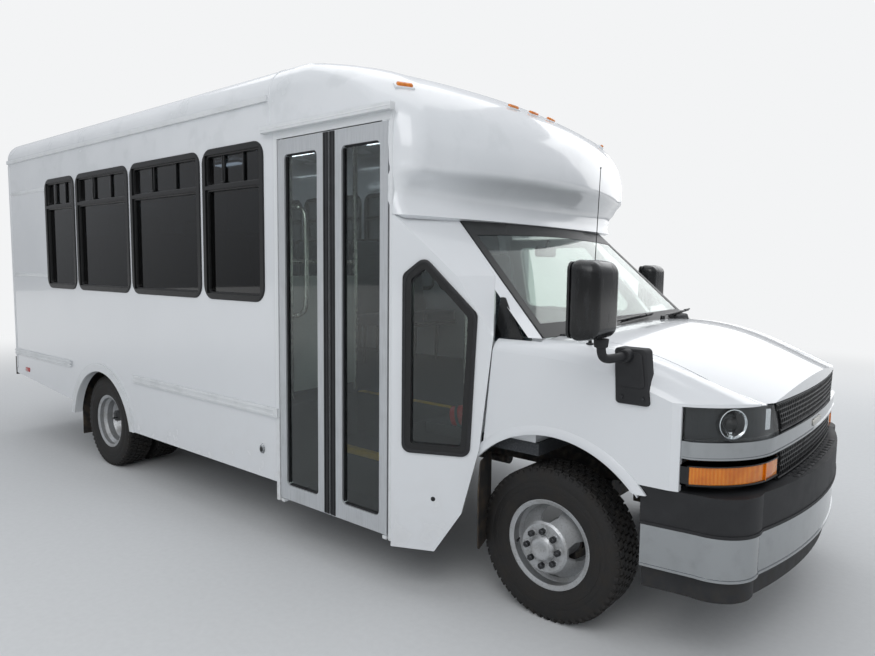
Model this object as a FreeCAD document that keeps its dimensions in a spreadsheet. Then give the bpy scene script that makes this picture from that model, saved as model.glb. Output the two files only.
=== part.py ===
"""Minibus with a bus body on a van cab and dual rear wheels.

Frame: +X forward, +Y to the vehicle's left, +Z up, origin on the ground under the
middle of the whole vehicle. The entry door is on the right side (-Y). Millimetres.
"""
import FreeCAD, Part
import Sketcher
import math
import os
import re
from FreeCAD import Placement, Rotation, Vector

DOC = FreeCAD.newDocument("Minibus")
SHEET = DOC.addObject("Spreadsheet::Sheet", "Sizes")

# alias, size in mm (or degrees where the name says angle), what it measures
SIZE_TABLE = (
    ("wheelbase", 4039, "front axle to rear axle"),
    ("front_overhang", 990, "front axle to bumper face"),
    ("rear_overhang", 1921, "rear axle to rear bumper face"),
    ("body_width", 2438, "bus body over its side walls"),
    ("rear_bumper_reach", 93, "rear wall to rear bumper face"),
    ("skirt_height", 386, "ground to the bottom of the skirt"),
    ("wall_top", 2629, "ground to the gutter"),
    ("wall_thick", 50, "side, rear and front walls"),
    ("roof_height", 2850, "ground to the roof's crown"),
    ("roof_thick", 60, "roof shell"),
    ("roof_edge_radius", 165, "roll between wall and roof"),
    ("roof_edge_rise", 2818, "height where the roll meets the crown"),
    ("floor_top", 850, "ground to the cabin floor"),
    ("floor_thick", 60, "cabin floor"),
    ("cap_seam_back", 1735, "front axle back to the seam of the moulded cap"),
    ("cap_thick", 36, "wall of the moulded cap"),
    ("cap_bottom", 1930, "ground to the seam over the windscreen"),
    ("cap_nose_back", 440, "front axle back to the tip of the cap"),
    ("cap_corner_radius", 600, "corner of the cap in plan"),
    ("header_height", 2430, "ground to the cap's edge over the door"),
    ("window_sill", 1458, "ground to the bottom of the window frames"),
    ("window_head", 2401, "ground to the top of the window frames"),
    ("transom_height", 2150, "ground to the bar under the vents"),
    ("window_corner", 90, "outer corner radius of a window frame"),
    ("window_frame", 34, "width of a window frame"),
    ("window_front_back", 1785, "front axle back to the first window"),
    ("window_one", 645, "length of the first window"),
    ("window_two", 942, "length of the second window"),
    ("window_three", 905, "length of the third window"),
    ("window_four", 601, "length of the last window"),
    ("window_post", 38, "wall between two windows"),
    ("frame_proud", 8, "how far a window frame stands out of the wall"),
    ("glass_thick", 6, "every glass pane"),
    ("seat_gap", 0.3, "clearance of a seated piece"),
    ("door_front_back", 763, "front axle back to the front jamb's inner edge"),
    ("door_rear_back", 1657, "front axle back to the rear jamb's inner edge"),
    ("jamb_width", 30, "door posts"),
    ("door_bottom", 300, "ground to the bottom of the entry door"),
    ("door_top", 2385, "ground to the top of the entry door"),
    ("door_thick", 40, "entry door leaf"),
    ("door_clear", 12, "leaf to jamb"),
    ("leaf_frame", 55, "width of a leaf's metal frame"),
    ("leaf_seal", 40, "rubber seal on a leaf's free edge"),
    ("leaf_pivot", 15, "leaf edge to its pivot axis"),
    ("pivot_radius", 8, "door pivot pins"),
    ("cab_half", 1005, "centre to the cab's side"),
    ("cab_sill", 500, "ground to the bottom of the cab's side"),
    ("cab_belt", 1352, "ground to the cab's belt line"),
    ("pillar_top_half", 800, "centre to the top of a windscreen pillar"),
    ("screen_base_back", 40, "front axle back to the screen's lower corner"),
    ("screen_base_lead", 2, "front axle forward to the screen's lower middle"),
    ("screen_top_back", 655, "front axle back to the screen's upper corner"),
    ("screen_top_lead", 590, "front axle back to the screen's upper middle"),
    ("panel_back", 745, "front axle back to the front panel's outer edge"),
    ("panel_bottom", 251, "ground to the bottom of the front panel"),
    ("panel_thick", 40, "front panel beside the door"),
    ("hood_hinge_lead", 51, "front axle forward to the hood's hinge axis"),
    ("hood_hinge_height", 1350, "ground to the hood's hinge axis"),
    ("hood_hinge_half", 650, "centre to a hood hinge"),
    ("hood_hinge_width", 20, "hinge arm of the hood"),
    ("hood_pin_radius", 4, "pins of the hood's hinges"),
    ("door_hinge_back", 345, "front axle back to the driver door's hinge axis"),
    ("door_hinge_half", 990, "centre to the driver door's hinge axis"),
    ("door_hinge_tall", 80, "notch of a driver door hinge"),
    ("hood_half", 790, "centre to the hood seam at the cowl"),
    ("hood_nose_half", 738, "centre to the hood seam at the lamps"),
    ("hood_rear_lead", 45, "front axle forward to the hood's rear edge"),
    ("hood_gap", 6, "hood to fender"),
    ("hood_thick", 26, "hood with its inner frame"),
    ("fender_thick", 28, "fender with its flanges"),
    ("arch_radius", 548, "front wheel opening"),
    ("arch_lead", 40, "front axle forward to the arch's centre"),
    ("rear_arch_radius", 505, "rear wheel opening"),
    ("rear_arch_height", 293, "ground to the centre of the rear arch"),
    ("rear_arch_lead", 25, "rear axle forward to the arch's centre"),
    ("flare_width", 62, "lip round a rear wheel opening"),
    ("lamp_top", 1134, "ground to the top of the head lamps"),
    ("lamp_bottom", 997, "ground to the bottom of the head lamps"),
    ("bar_bottom", 925, "ground to the bottom of the bright bar"),
    ("signal_top", 897, "ground to the top of the turn signals"),
    ("signal_bottom", 815, "ground to the bottom of the turn signals"),
    ("fascia_bottom", 786, "ground to the bottom of the front fascia"),
    ("grille_top", 1162, "ground to the top of the upper grille"),
    ("nose_lead", 918, "front axle forward to the grille's middle"),
    ("nose_corner_radius", 400, "corner of the van's nose in plan"),
    ("nose_sweep", 33, "nose middle forward of its corners"),
    ("nose_turn_angle", 5, "where the corner turns into the front"),
    ("grille_half", 640, "centre to the upper grille's edge"),
    ("bumper_end_lead", 470, "front axle forward to the bumper's rear edge"),
    ("bumper_half", 992, "centre to the bumper's side"),
    ("bumper_corner_lead", 844, "front axle forward to the bumper's corner"),
    ("bumper_corner_half", 900, "centre to the bumper's corner"),
    ("bumper_top", 783, "ground to the top of the bumper pad"),
    ("bumper_mid", 620, "ground to the pad's lower edge"),
    ("bumper_low", 436, "ground to the bright face's lower edge"),
    ("dam_bottom", 338, "ground to the air dam's lower edge"),
    ("bumper_thick", 60, "bumper pad and face"),
    ("dam_thick", 20, "air dam"),
    ("tyre_radius", 372, "outside of a tyre"),
    ("tyre_width", 222, "tyre across its sidewalls"),
    ("tread_width", 186, "tyre across its tread"),
    ("rim_radius", 203, "bead seat of a wheel rim"),
    ("flange_radius", 223, "edge of a wheel rim"),
    ("rim_width", 190, "rim over both flanges"),
    ("rim_wall", 9, "pressed steel of the rim and disc"),
    ("disc_offset", 136, "tyre middle to the disc's mounting face"),
    ("front_track_half", 830, "centre to the middle of a front tyre"),
    ("dual_face_half", 919, "centre to the face between two rear wheels"),
    ("hub_radius", 108, "hub inside the disc"),
    ("bolt_circle", 165, "circle of the wheel nuts"),
    ("nut_radius", 13, "wheel nut"),
    ("spindle_radius", 34, "spindle that carries a wheel"),
    ("kingpin_half", 680, "centre to a steering axis"),
    ("kingpin_radius", 16, "pin of a steering axis"),
    ("rail_half", 430, "centre to the outside of a chassis rail"),
    ("rail_width", 70, "flange of a chassis rail"),
    ("rail_height", 190, "web of a chassis rail"),
    ("rail_bottom", 590, "ground to the bottom of the rails"),
    ("rail_wall", 8, "metal of a chassis rail"),
    ("axle_tube_radius", 52, "rear axle tube"),
    ("mirror_half", 1250, "centre to the middle of a mirror"),
    ("mirror_lead", 362, "front axle forward to the middle of a mirror"),
    ("mirror_height", 1540, "ground to the middle of a mirror"),
    ("mirror_width", 236, "mirror head across"),
    ("mirror_depth", 118, "mirror head front to back"),
    ("mirror_tall", 356, "mirror head top to bottom"),
    ("cab_door_front", 330, "front axle back to the driver door's edge"),
    ("cab_door_rear", 1392, "front axle back to the driver door's rear edge"),
    ("cab_door_thick", 56, "driver door"),
    ("cab_door_gap", 10, "driver door to the panels round it"),
    ("rear_door_half", 420, "half the width of the rear door"),
    ("rear_door_bottom", 862, "ground to the bottom of the rear door"),
    ("rear_door_top", 2330, "ground to the top of the rear door"),
    ("seat_rows", 5, "rows of passenger seats on each side"),
    ("seat_pitch", 740, "one row to the next"),
    ("left_wall_back", 1480, "front axle back to the front of the left wall"),
    ("rear_skirt_height", 590, "ground to the skirt at the rear wall"),
    ("rear_skirt_length", 520, "rear axle back to where the rear skirt starts to rise"),
    ("rear_skirt_drop", 101, "rise of the skirt behind the wheel"),
    ("transom_bar", 24, "bar under the vents"),
    ("rear_window_middle", 790, "centre to the middle of a rear window"),
    ("rear_window_half", 230, "half the width of a rear window"),
    ("rear_window_low", 1480, "ground to the bottom of the rear windows"),
    ("rear_window_high", 2200, "ground to the top of the rear windows"),
    ("floor_front_back", 1492, "front axle back to where the cab floor starts"),
    ("step_depth", 640, "wall to the inner edge of the step well"),
    ("step_tread", 262, "tread of the entry steps"),
    ("step_rise", 275, "height of a step"),
    ("step_wall", 16, "sheet of the step well"),
    ("panel_post", 18, "front door post"),
    ("door_pivot_depth", 14, "outside of a leaf to its pivot axis"),
    ("leaf_kick", 86, "lower and upper rail of a leaf"),
    ("bumper_corner_radius", 150, "corner of the bumper in plan"),
    ("panel_angle", 24.7, "flat face of the front panel to the body side"),
    ("quarter_rear", 57, "panel edge to the five-sided window"),
    ("quarter_front_low", 406, "panel edge to the window's lower front corner"),
    ("quarter_front", 436, "panel edge to the window's front corner"),
    ("quarter_apex", 169, "panel edge to the window's peak"),
    ("quarter_low", 750, "ground to the window's bottom"),
    ("quarter_shoulder", 1454, "ground to the window's front corner"),
    ("quarter_high", 1728, "ground to the window's peak"),
    ("quarter_shoulder_rear", 1640, "ground to the window's rear corner"),
    ("quarter_round", 45, "corner radius of the five-sided window"),
    ("quarter_frame", 46, "width of the five-sided window's frame"),
    ("screen_base_half", 940, "centre to the screen's lower corner"),
    ("hood_lip", 12, "hood below the top of the lamps"),
    ("fascia_depth", 120, "front face to the back of the lamps"),
    ("lamp_rear_lead", 622, "front axle forward to the rear edge of the lamps"),
    ("lamp_inner_low", 560, "centre to the lower inner corner of the lamps"),
    ("lamp_half", 968, "centre to the outer edge of the lamps"),
    ("cab_lean", 175, "lean of the cab's side over its window"),
    ("bearer_pitch", 800, "one floor bearer to the next"),
    ("bearer_height", 10, "floor bearer"),
    ("bearer_width", 70, "floor bearer along the vehicle"),
    ("rail_front_lead", 560, "front axle forward to the ends of the rails"),
    ("axle_tube_half", 640, "centre to the end of the axle tube"),
    ("differential_radius", 165, "differential housing"),
    ("spring_half", 515, "centre to the middle of a leaf spring"),
    ("spring_width", 76, "leaf spring"),
    ("spring_length", 1400, "leaf spring, eye to eye"),
    ("spring_eye", 520, "ground to the eyes of a leaf spring"),
    ("arm_low", 236, "ground to the lower front arms"),
    ("arm_high", 470, "ground to the upper front arms"),
    ("vent_length", 92, "vent hole of a wheel along its arc"),
    ("vent_depth", 50, "vent hole of a wheel across"),
    ("vent_count", 4, "vent holes of a wheel"),
    ("nut_count", 8, "nuts of a wheel"),
    ("rear_door_gap", 6, "rear door to its opening"),
    ("rear_door_thick", 46, "rear door"),
    ("hinge_radius", 13, "barrels of the rear door's hinges"),
    ("hinge_length", 110, "barrels of the rear door's hinges"),
    ("hinge_eye", 9, "fixed eyes of the rear door's hinges"),
    ("stanchion_rear", 2788, "ground to the top of the stanchion behind the steps"),
    ("stanchion_wall", 2758, "ground to the top of the stanchion at the wall"),
    ("stanchion_front", 2560, "ground to the top of the stanchion at the front of the steps"),
    ("tyre_sides", 40, "flat sides round a tyre"),
    ("steering_grip", 15, "radius of the steering wheel's rim"),
    ("rear_bumper_low", 560, "ground to the rear bumper"),
    ("rear_bumper_height", 180, "rear bumper"),
    ("bumper_arm", 60, "arms of the rear bumper"),
    ("mirror_drop", 30, "mirror head down to the middle of its arm"),
    ("mirror_left_back", 420, "front axle back to the middle of the left mirror"),
    ("mirror_left_height", 1536, "ground to the middle of the left mirror"),
    ("mirror_foot_half", 940, "centre to the foot of a mirror"),
    ("mirror_foot_low", 1128, "ground to the foot of a mirror"),
    ("dash_half", 860, "half the width of the dashboard"),
    ("steering_radius", 190, "steering wheel"),
    ("steering_back", 560, "front axle back to the steering wheel"),
    ("steering_height", 1330, "ground to the steering wheel's middle"),
    ("column_angle", 28, "steering column to the floor"),
    ("column_length", 160, "steering column in view"),
    ("driver_half", 480, "centre to the driver's seat"),
    ("driver_seat_back", 1330, "front axle back to the rear of the driver's cushion"),
    ("first_row", 300, "rear wall to the last row of seats"),
    ("seat_width", 860, "double seat"),
    ("rail_tube", 16, "radius of a grab rail"),
    ("modesty_height", 700, "low panel behind the steps"),
    ("drip_reach", 36, "drip rail over the entry door"),
    ("marker_back", 738, "front axle back to the middle marker lamps"),
    ("marker_height", 2624, "ground to the middle marker lamps"),
    ("tail_low", 900, "ground to the lowest tail lamp"),
    ("flap_bottom", 190, "ground to the mud flaps"),
    ("leaf_length", 432, "one leaf of the entry door"),
    ("rub_rail_height", 805, "ground to the middle of the rub rail"),
    ("rub_rail_depth", 14, "how far the rub rail stands out"),
)

for number, (alias, size, note) in enumerate(SIZE_TABLE, start=1):
    SHEET.set("A%d" % number, note)
    SHEET.set("B%d" % number, str(size))
    SHEET.setAlias("B%d" % number, alias)
DOC.recompute()

ALIASES = {row[0] for row in SIZE_TABLE}

# Places along the vehicle that most pieces are measured from.
FRONT_AXLE = "((wheelbase + rear_overhang - front_overhang) / 2)"
REAR_AXLE = "((rear_overhang - front_overhang - wheelbase) / 2)"
REAR_FACE = "(rear_bumper_reach - (front_overhang + wheelbase + rear_overhang) / 2)"
SEAM = "(%s - cap_seam_back)" % FRONT_AXLE
SIDE = "(body_width / 2)"

NODES = []


def link(formula):
    """Write a formula of sheet names as the document's own expression."""
    return re.sub(r"[a-z_]{3,}", lambda word: "Sizes." + word.group(0)
                  if word.group(0) in ALIASES else word.group(0), str(formula))


def size(formula):
    """Give a formula's present value as a plain number."""
    value = SHEET.evalExpression(link(formula))
    return float(getattr(value, "Value", value))


def bind(piece, **formulas):
    """Tie properties of a piece to formulas; place_x means Placement.Base.x."""
    for name, formula in formulas.items():
        path = name.replace("place_", "Placement.Base.")
        piece.setExpression(path, link(formula))
    return piece


def node(label, piece):
    """Name a finished sub-part, which also names its file."""
    piece.Label = label
    NODES.append(piece)
    return piece


def box(name, x, y, z, length, width, height):
    """A block from its low corner."""
    piece = DOC.addObject("Part::Box", name)
    return bind(piece, Length=length, Width=width, Height=height,
                place_x=x, place_y=y, place_z=z)


TURNS = {"x": Rotation(Vector(0, 1, 0), 90),
         "y": Rotation(Vector(1, 0, 0), -90),
         "z": Rotation()}


def rod(name, x, y, z, axis, radius, length):
    """A cylinder that starts at a point and runs along +x, +y or +z."""
    piece = DOC.addObject("Part::Cylinder", name)
    piece.Placement = Placement(Vector(), TURNS[axis])
    return bind(piece, Radius=radius, Height=length, place_x=x, place_y=y, place_z=z)


def fuse(name, pieces):
    """Join pieces that touch into one."""
    joined = DOC.addObject("Part::MultiFuse", name)
    joined.Shapes = pieces
    return joined


def group(name, pieces):
    """Keep like pieces that don't touch in one node."""
    kept = DOC.addObject("Part::Compound", name)
    kept.Links = pieces
    return kept


def cut(name, base, tools):
    """Take one or more tools out of a base."""
    tool = tools[0] if len(tools) == 1 else fuse(name + "_tools", tools)
    result = DOC.addObject("Part::Cut", name)
    result.Base = base
    result.Tool = tool
    return result


def common(name, first, second):
    """Keep what two pieces share."""
    result = DOC.addObject("Part::MultiCommon", name)
    result.Shapes = [first, second]
    return result


def origin_plane(body, role):
    """Find one of a body's own origin planes."""
    return next(item for item in body.Origin.OriginFeatures if item.Role == role)


# Local X, Y of an outline and the way it is pushed, as turns of the body.
FACINGS = {"plan": Rotation(),
           "side": Rotation(Vector(1, 0, 0), 90),
           "front": Rotation(Vector(1, 1, 1), 120)}


def outline_sketch(body, name, role, corners):
    """Draw a closed outline of straight edges whose corners are sheet formulas."""
    sketch = body.newObject("Sketcher::SketchObject", name)
    sketch.AttachmentSupport = [(origin_plane(body, role), "")]
    sketch.MapMode = "FlatFace"
    spots = [Vector(size(u), size(v), 0) for u, v in corners]
    count = len(spots)
    lines = [Part.LineSegment(spots[i], spots[(i + 1) % count]) for i in range(count)]
    sketch.addGeometry(lines, False)
    rules = [Sketcher.Constraint("Coincident", i, 2, (i + 1) % count, 1) for i in range(count)]
    for i, spot in enumerate(spots):
        rules.append(Sketcher.Constraint("DistanceX", -1, 1, i, 1, spot.x))
        rules.append(Sketcher.Constraint("DistanceY", -1, 1, i, 1, spot.y))
    sketch.addConstraint(rules)
    for i, (u, v) in enumerate(corners):
        sketch.setExpression("Constraints[%d]" % (count + 2 * i), link(u))
        sketch.setExpression("Constraints[%d]" % (count + 2 * i + 1), link(v))
    return sketch


def round_corners(body, feature, corners, radius, chosen=None):
    """Round the straight edges that a pushed outline has at its corners."""
    DOC.recompute()
    spots = [(size(u), size(v)) for u, v in corners]
    wanted = [spots[i] for i in (chosen if chosen is not None else range(len(spots)))]
    names = []
    for number, edge in enumerate(feature.Shape.Edges, start=1):
        ends = [vertex.Point for vertex in edge.Vertexes]
        if len(ends) == 2 and abs(ends[0].x - ends[1].x) < 1e-6 and abs(ends[0].y - ends[1].y) < 1e-6:
            if any(math.hypot(ends[0].x - u, ends[0].y - v) < 1e-4 for u, v in wanted):
                names.append("Edge%d" % number)
    fillet = body.newObject("PartDesign::Fillet", body.Name + "_round%d" % len(body.Group))
    fillet.Base = (feature, names)
    fillet.setExpression("Radius", link(radius))
    return fillet


def prism(name, facing, corners, start, depth, radius=None, chosen=None):
    """Push a closed outline through a depth.

    plan: corners are x, y and it rises from start. side: corners are x, z and it runs
    from start towards -y. front: corners are y, z and it runs from start towards +x.
    """
    body = DOC.addObject("PartDesign::Body", name)
    sketch = outline_sketch(body, name + "_outline", "XY_Plane", corners)
    pad = body.newObject("PartDesign::Pad", name + "_pad")
    pad.Profile = sketch
    pad.setExpression("Length", link(depth))
    feature = pad
    if radius is not None:
        feature = round_corners(body, pad, corners, radius, chosen)
    body.Tip = feature
    body.Placement = Placement(Vector(), FACINGS[facing])
    bind(body, **{{"plan": "place_z", "side": "place_y", "front": "place_x"}[facing]: start})
    return body


def turned(name, corners, x, y, z, outward):
    """Turn a profile of radius, reach corners about an axis along +y or -y."""
    body = DOC.addObject("PartDesign::Body", name)
    sketch = outline_sketch(body, name + "_profile", "XZ_Plane", corners)
    turn = body.newObject("PartDesign::Revolution", name + "_turn")
    turn.Profile = sketch
    turn.ReferenceAxis = (sketch, ["V_Axis"])
    turn.Angle = 360.0
    body.Tip = turn
    body.Placement = Placement(Vector(), Rotation(Vector(1, 0, 0), -90 * outward))
    return bind(body, place_x=x, place_y=y, place_z=z)


def free_form(name, shape):
    """A lofted or bent piece that the primitives can't describe."""
    piece = DOC.addObject("Part::Feature", name)
    piece.Shape = shape
    return piece


def mirror_left(name, piece):
    """The same piece on the other side of the vehicle."""
    twin = DOC.addObject("Part::Mirroring", name)
    twin.Source = piece
    twin.Normal = Vector(0, 1, 0)
    return twin


def plan_wire(spots, height):
    """A closed flat wire from rows of ("line" | "arc", x, y[, mid x, mid y])."""
    edges = []
    last = spots[-1][1:3]
    for spot in spots:
        start = Vector(last[0], last[1], height)
        end = Vector(spot[1], spot[2], height)
        if spot[0] == "arc":
            edges.append(Part.Arc(start, Vector(spot[3], spot[4], height), end).toShape())
        else:
            edges.append(Part.LineSegment(start, end).toShape())
        last = spot[1:3]
    return Part.Wire(edges)


def extruded_face(wire, direction):
    """Push a flat wire's face along a vector."""
    return Part.Face(wire).extrude(direction)


def inside(shape, low, high):
    """Keep what lies between two opposite corners of a block."""
    block = Part.makeBox(high[0] - low[0], high[1] - low[1], high[2] - low[2], Vector(*low))
    return shape.common(block)


def pair(shape):
    """The shape and its twin on the other side of the vehicle."""
    twin = shape.mirror(Vector(), Vector(0, 1, 0))
    return [shape, twin]


def nose_plan(inset, back):
    """The van nose seen from above, as rows for plan_wire, set in by a clearance."""
    axle = size(FRONT_AXLE)
    half = size("cab_half") + 2 - inset
    radius = size("nose_corner_radius") - inset
    front = axle + size("nose_lead") - inset
    centre_x = front - size("nose_sweep") - radius
    turn = math.radians(size("nose_turn_angle"))
    corner = (centre_x + radius * math.cos(turn), half - radius + radius * math.sin(turn))
    middle = (turn + math.pi / 2) / 2
    bend = (centre_x + radius * math.cos(middle), half - radius + radius * math.sin(middle))
    return (("line", back, -half),
            ("line", centre_x, -half),
            ("arc", corner[0], -corner[1], bend[0], -bend[1]),
            ("arc", corner[0], corner[1], front, 0),
            ("arc", centre_x, half, bend[0], bend[1]),
            ("line", back, half))


def nose_band(outer, inner, low, high, ends_low, ends_high=None):
    """A strip that follows the nose between two insets and two heights.

    ends_low and ends_high are the two half widths at the bottom and at the top.
    """
    ends_high = ends_high or ends_low
    back = size(FRONT_AXLE) + size("lamp_rear_lead")
    far = back - 200
    ring = extruded_face(plan_wire(nose_plan(outer, far), low), Vector(0, 0, high - low))
    ring = ring.cut(extruded_face(plan_wire(nose_plan(inner, far - 1), low - 1), Vector(0, 0, high - low + 2)))
    keep = Part.makePolygon([Vector(back, ends_low[0], low), Vector(back, ends_low[1], low),
                             Vector(back, ends_high[1], high), Vector(back, ends_high[0], high),
                             Vector(back, ends_low[0], low)])
    return ring.common(extruded_face(keep, Vector(1200, 0, 0)))


def bumper_plan(inset, back):
    """The bumper seen from above, as rows for plan_wire, set in by a clearance."""
    axle = size(FRONT_AXLE)
    half = size("bumper_half") - inset
    front = axle + size("front_overhang") - inset
    corner = (axle + size("bumper_corner_lead") - 0.7 * inset, size("bumper_corner_half") - 0.7 * inset)
    radius = size("bumper_corner_radius")
    start = (corner[0] - radius, half - 0.18 * radius)
    end = (corner[0] + 0.28 * radius, corner[1] - radius)
    return (("line", back, -half),
            ("line", start[0], -start[1]),
            ("arc", end[0], -end[1], corner[0], -corner[1]),
            ("arc", end[0], end[1], front, 0),
            ("arc", start[0], start[1], corner[0], corner[1]),
            ("line", back, half))


# Front van body from the cowl to the lamps: x from the front axle, side half width,
# height where the side rolls over, top edge half width, its height, crown height.
CLIP_SECTIONS = (
    (-420, 1005, 1290, 925, 1352, 1392),
    (0, 1005, 1275, 905, 1348, 1386),
    (450, 1000, 1195, 815, 1288, 1346),
    (700, 985, 1105, 745, 1196, 1274),
    (930, 955, 1040, 660, 1112, 1190),
)


def clip_solid(inset):
    """The van's front body as one lofted solid, set in by a wall."""
    wires = []
    low = size("cab_sill") - 200 * (inset > 0)
    for lead, side, roll, edge, edge_z, crown in CLIP_SECTIONS:
        x = size(FRONT_AXLE) + lead + (-30 if inset and lead < 0 else 0)
        side = side - inset
        edge = edge - 0.6 * inset
        edge_z = edge_z - inset
        crown = crown - inset
        bend_y = edge + 0.72 * (side - edge)
        bend_z = roll + 0.68 * (edge_z - roll)
        edges = [Part.makeLine(Vector(x, -side, low), Vector(x, -side, roll)),
                 Part.Arc(Vector(x, -side, roll), Vector(x, -bend_y, bend_z), Vector(x, -edge, edge_z)).toShape(),
                 Part.Arc(Vector(x, -edge, edge_z), Vector(x, 0, crown), Vector(x, edge, edge_z)).toShape(),
                 Part.Arc(Vector(x, edge, edge_z), Vector(x, bend_y, bend_z), Vector(x, side, roll)).toShape(),
                 Part.makeLine(Vector(x, side, roll), Vector(x, side, low)),
                 Part.makeLine(Vector(x, side, low), Vector(x, -side, low))]
        wires.append(Part.Wire(edges))
    return Part.makeLoft(wires, True, False)


# Moulded cap over the cab: height, front behind the nose tip, corner radius in plan.
CAP_LEVELS = (
    (1930, 150, 420),
    (2020, 80, 520),
    (2170, 0, 600),
    (2400, 38, 600),
    (2600, 190, 600),
    (2740, 470, 600),
    (2870, 1000, 600),
)


def cap_solid(inset):
    """The cap's outer form as one loft through level outlines, set in by its wall."""
    wires = []
    nose = size(FRONT_AXLE) - size("cap_nose_back")
    back = size(SEAM) - 400
    for height, behind, radius in CAP_LEVELS:
        half = size(SIDE) + 3 - inset
        front = nose - behind - inset
        radius = radius - inset
        level = height if height < size("roof_height") else height - inset
        centre_x = front - 26 - radius
        bend = radius * math.sqrt(0.5)
        corner = (centre_x + radius, half - radius)
        rows = (("line", back, -half),
                ("line", centre_x, -half),
                ("arc", corner[0], -corner[1], centre_x + bend, -(half - radius + bend)),
                ("arc", corner[0], corner[1], front, 0),
                ("arc", centre_x, half, centre_x + bend, half - radius + bend),
                ("line", back, half))
        wires.append(plan_wire(rows, level))
    return Part.makeLoft(wires, True, False)


def roof_section(inset, x, low):
    """The body's cross-section: straight walls, rolled edges and a crowned roof."""
    half = size(SIDE) - inset
    rise = size("roof_edge_rise") - inset
    radius = size("roof_edge_radius") - inset
    crown = size("roof_height") - inset
    bend = radius * math.sqrt(0.5)
    centre = (half - radius, rise - radius)
    edges = [Part.makeLine(Vector(x, -half, low), Vector(x, -half, centre[1])),
             Part.Arc(Vector(x, -half, centre[1]), Vector(x, -centre[0] - bend, centre[1] + bend),
                      Vector(x, -centre[0], rise)).toShape(),
             Part.Arc(Vector(x, -centre[0], rise), Vector(x, 0, crown), Vector(x, centre[0], rise)).toShape(),
             Part.Arc(Vector(x, centre[0], rise), Vector(x, centre[0] + bend, centre[1] + bend),
                      Vector(x, half, centre[1])).toShape(),
             Part.makeLine(Vector(x, half, centre[1]), Vector(x, half, low)),
             Part.makeLine(Vector(x, half, low), Vector(x, -half, low))]
    return Part.Wire(edges)


def rear_roof():
    """The roof shell over the cabin, from the rear wall to the cap's seam."""
    start, end, low = size(REAR_FACE), size(SEAM), size("wall_top")
    outer = extruded_face(roof_section(0, start, low), Vector(end - start, 0, 0))
    hollow = extruded_face(roof_section(size("roof_thick"), start + size("wall_thick"), low - 100),
                           Vector(end - start, 0, 0))
    shell = outer.cut(hollow)
    return node("roof", free_form("roof", shell))


def front_cap():
    """The moulded cap: side over the door, brow, nose and the curved underside."""
    axle, seam = size(FRONT_AXLE), size(SEAM)
    end = axle + 200
    low = size("cap_bottom")
    outer = cap_solid(0).common(extruded_face(roof_section(0, seam, low), Vector(end - seam, 0, 0)))
    inner = cap_solid(size("cap_thick"))
    hollow = extruded_face(roof_section(size("cap_thick"), seam - 1, low - 1), Vector(end - seam, 0, 0))
    shell = outer.cut(inner.common(hollow))
    header = size("header_height")
    door = Part.makeBox(size("cap_seam_back") - size("panel_back"), 400, header - low + 1,
                        Vector(seam, -size(SIDE) - 1, low - 1))
    shell = shell.cut(door)
    left = Part.makeBox(size("cap_seam_back") - size("left_wall_back"), 400, header - low + 1,
                        Vector(seam, size(SIDE) - 399, low - 1))
    shell = shell.cut(left)
    return node("front_cap", free_form("front_cap", shell))


WINDOWS = ("window_one", "window_two", "window_three", "window_four")


def window_places():
    """Front edge and length of each side window, as formulas, front to rear."""
    front = "(%s - window_front_back)" % FRONT_AXLE
    places = []
    for length in WINDOWS:
        places.append((front, length))
        front = "(%s - %s - window_post)" % (front, length)
    return places


def window_outline(front, length, inset):
    """Corners x, z of a side window, set in by a width."""
    return [("%s - %s + %s" % (front, length, inset), "window_sill + %s" % inset),
            ("%s - %s" % (front, inset), "window_sill + %s" % inset),
            ("%s - %s" % (front, inset), "window_head - %s" % inset),
            ("%s - %s + %s" % (front, length, inset), "window_head - %s" % inset)]


def side_walls():
    """Both long walls with their windows, wheel openings and rising rear skirt."""
    arch_x = "%s + rear_arch_lead" % REAR_AXLE
    for label, sign, front in (("side_wall_right", -1, "%s - door_rear_back - jamb_width" % FRONT_AXLE),
                               ("side_wall_left", 1, "%s - left_wall_back" % FRONT_AXLE)):
        start = SIDE if sign > 0 else "wall_thick - %s" % SIDE
        corners = [("%s" % REAR_FACE, "rear_skirt_height"),
                   ("%s - rear_skirt_length" % REAR_AXLE, "skirt_height + rear_skirt_drop"),
                   ("%s - rear_arch_radius" % arch_x, "skirt_height"),
                   (front, "skirt_height"),
                   (front, "header_height"),
                   (SEAM, "header_height"),
                   (SEAM, "wall_top"),
                   (REAR_FACE, "wall_top")]
        wall = prism(label + "_sheet", "side", corners, start, "wall_thick")
        tools = [prism("%s_hole_%d" % (label, i), "side", window_outline(x, span, "0"),
                       "%s + 1" % start, "wall_thick + 2", "window_corner")
                 for i, (x, span) in enumerate(window_places())]
        tools.append(rod(label + "_arch", arch_x, "%s - wall_thick - 1" % start, "rear_arch_height", "y",
                         "rear_arch_radius", "wall_thick + 2"))
        node(label, cut(label, wall, tools))


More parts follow.
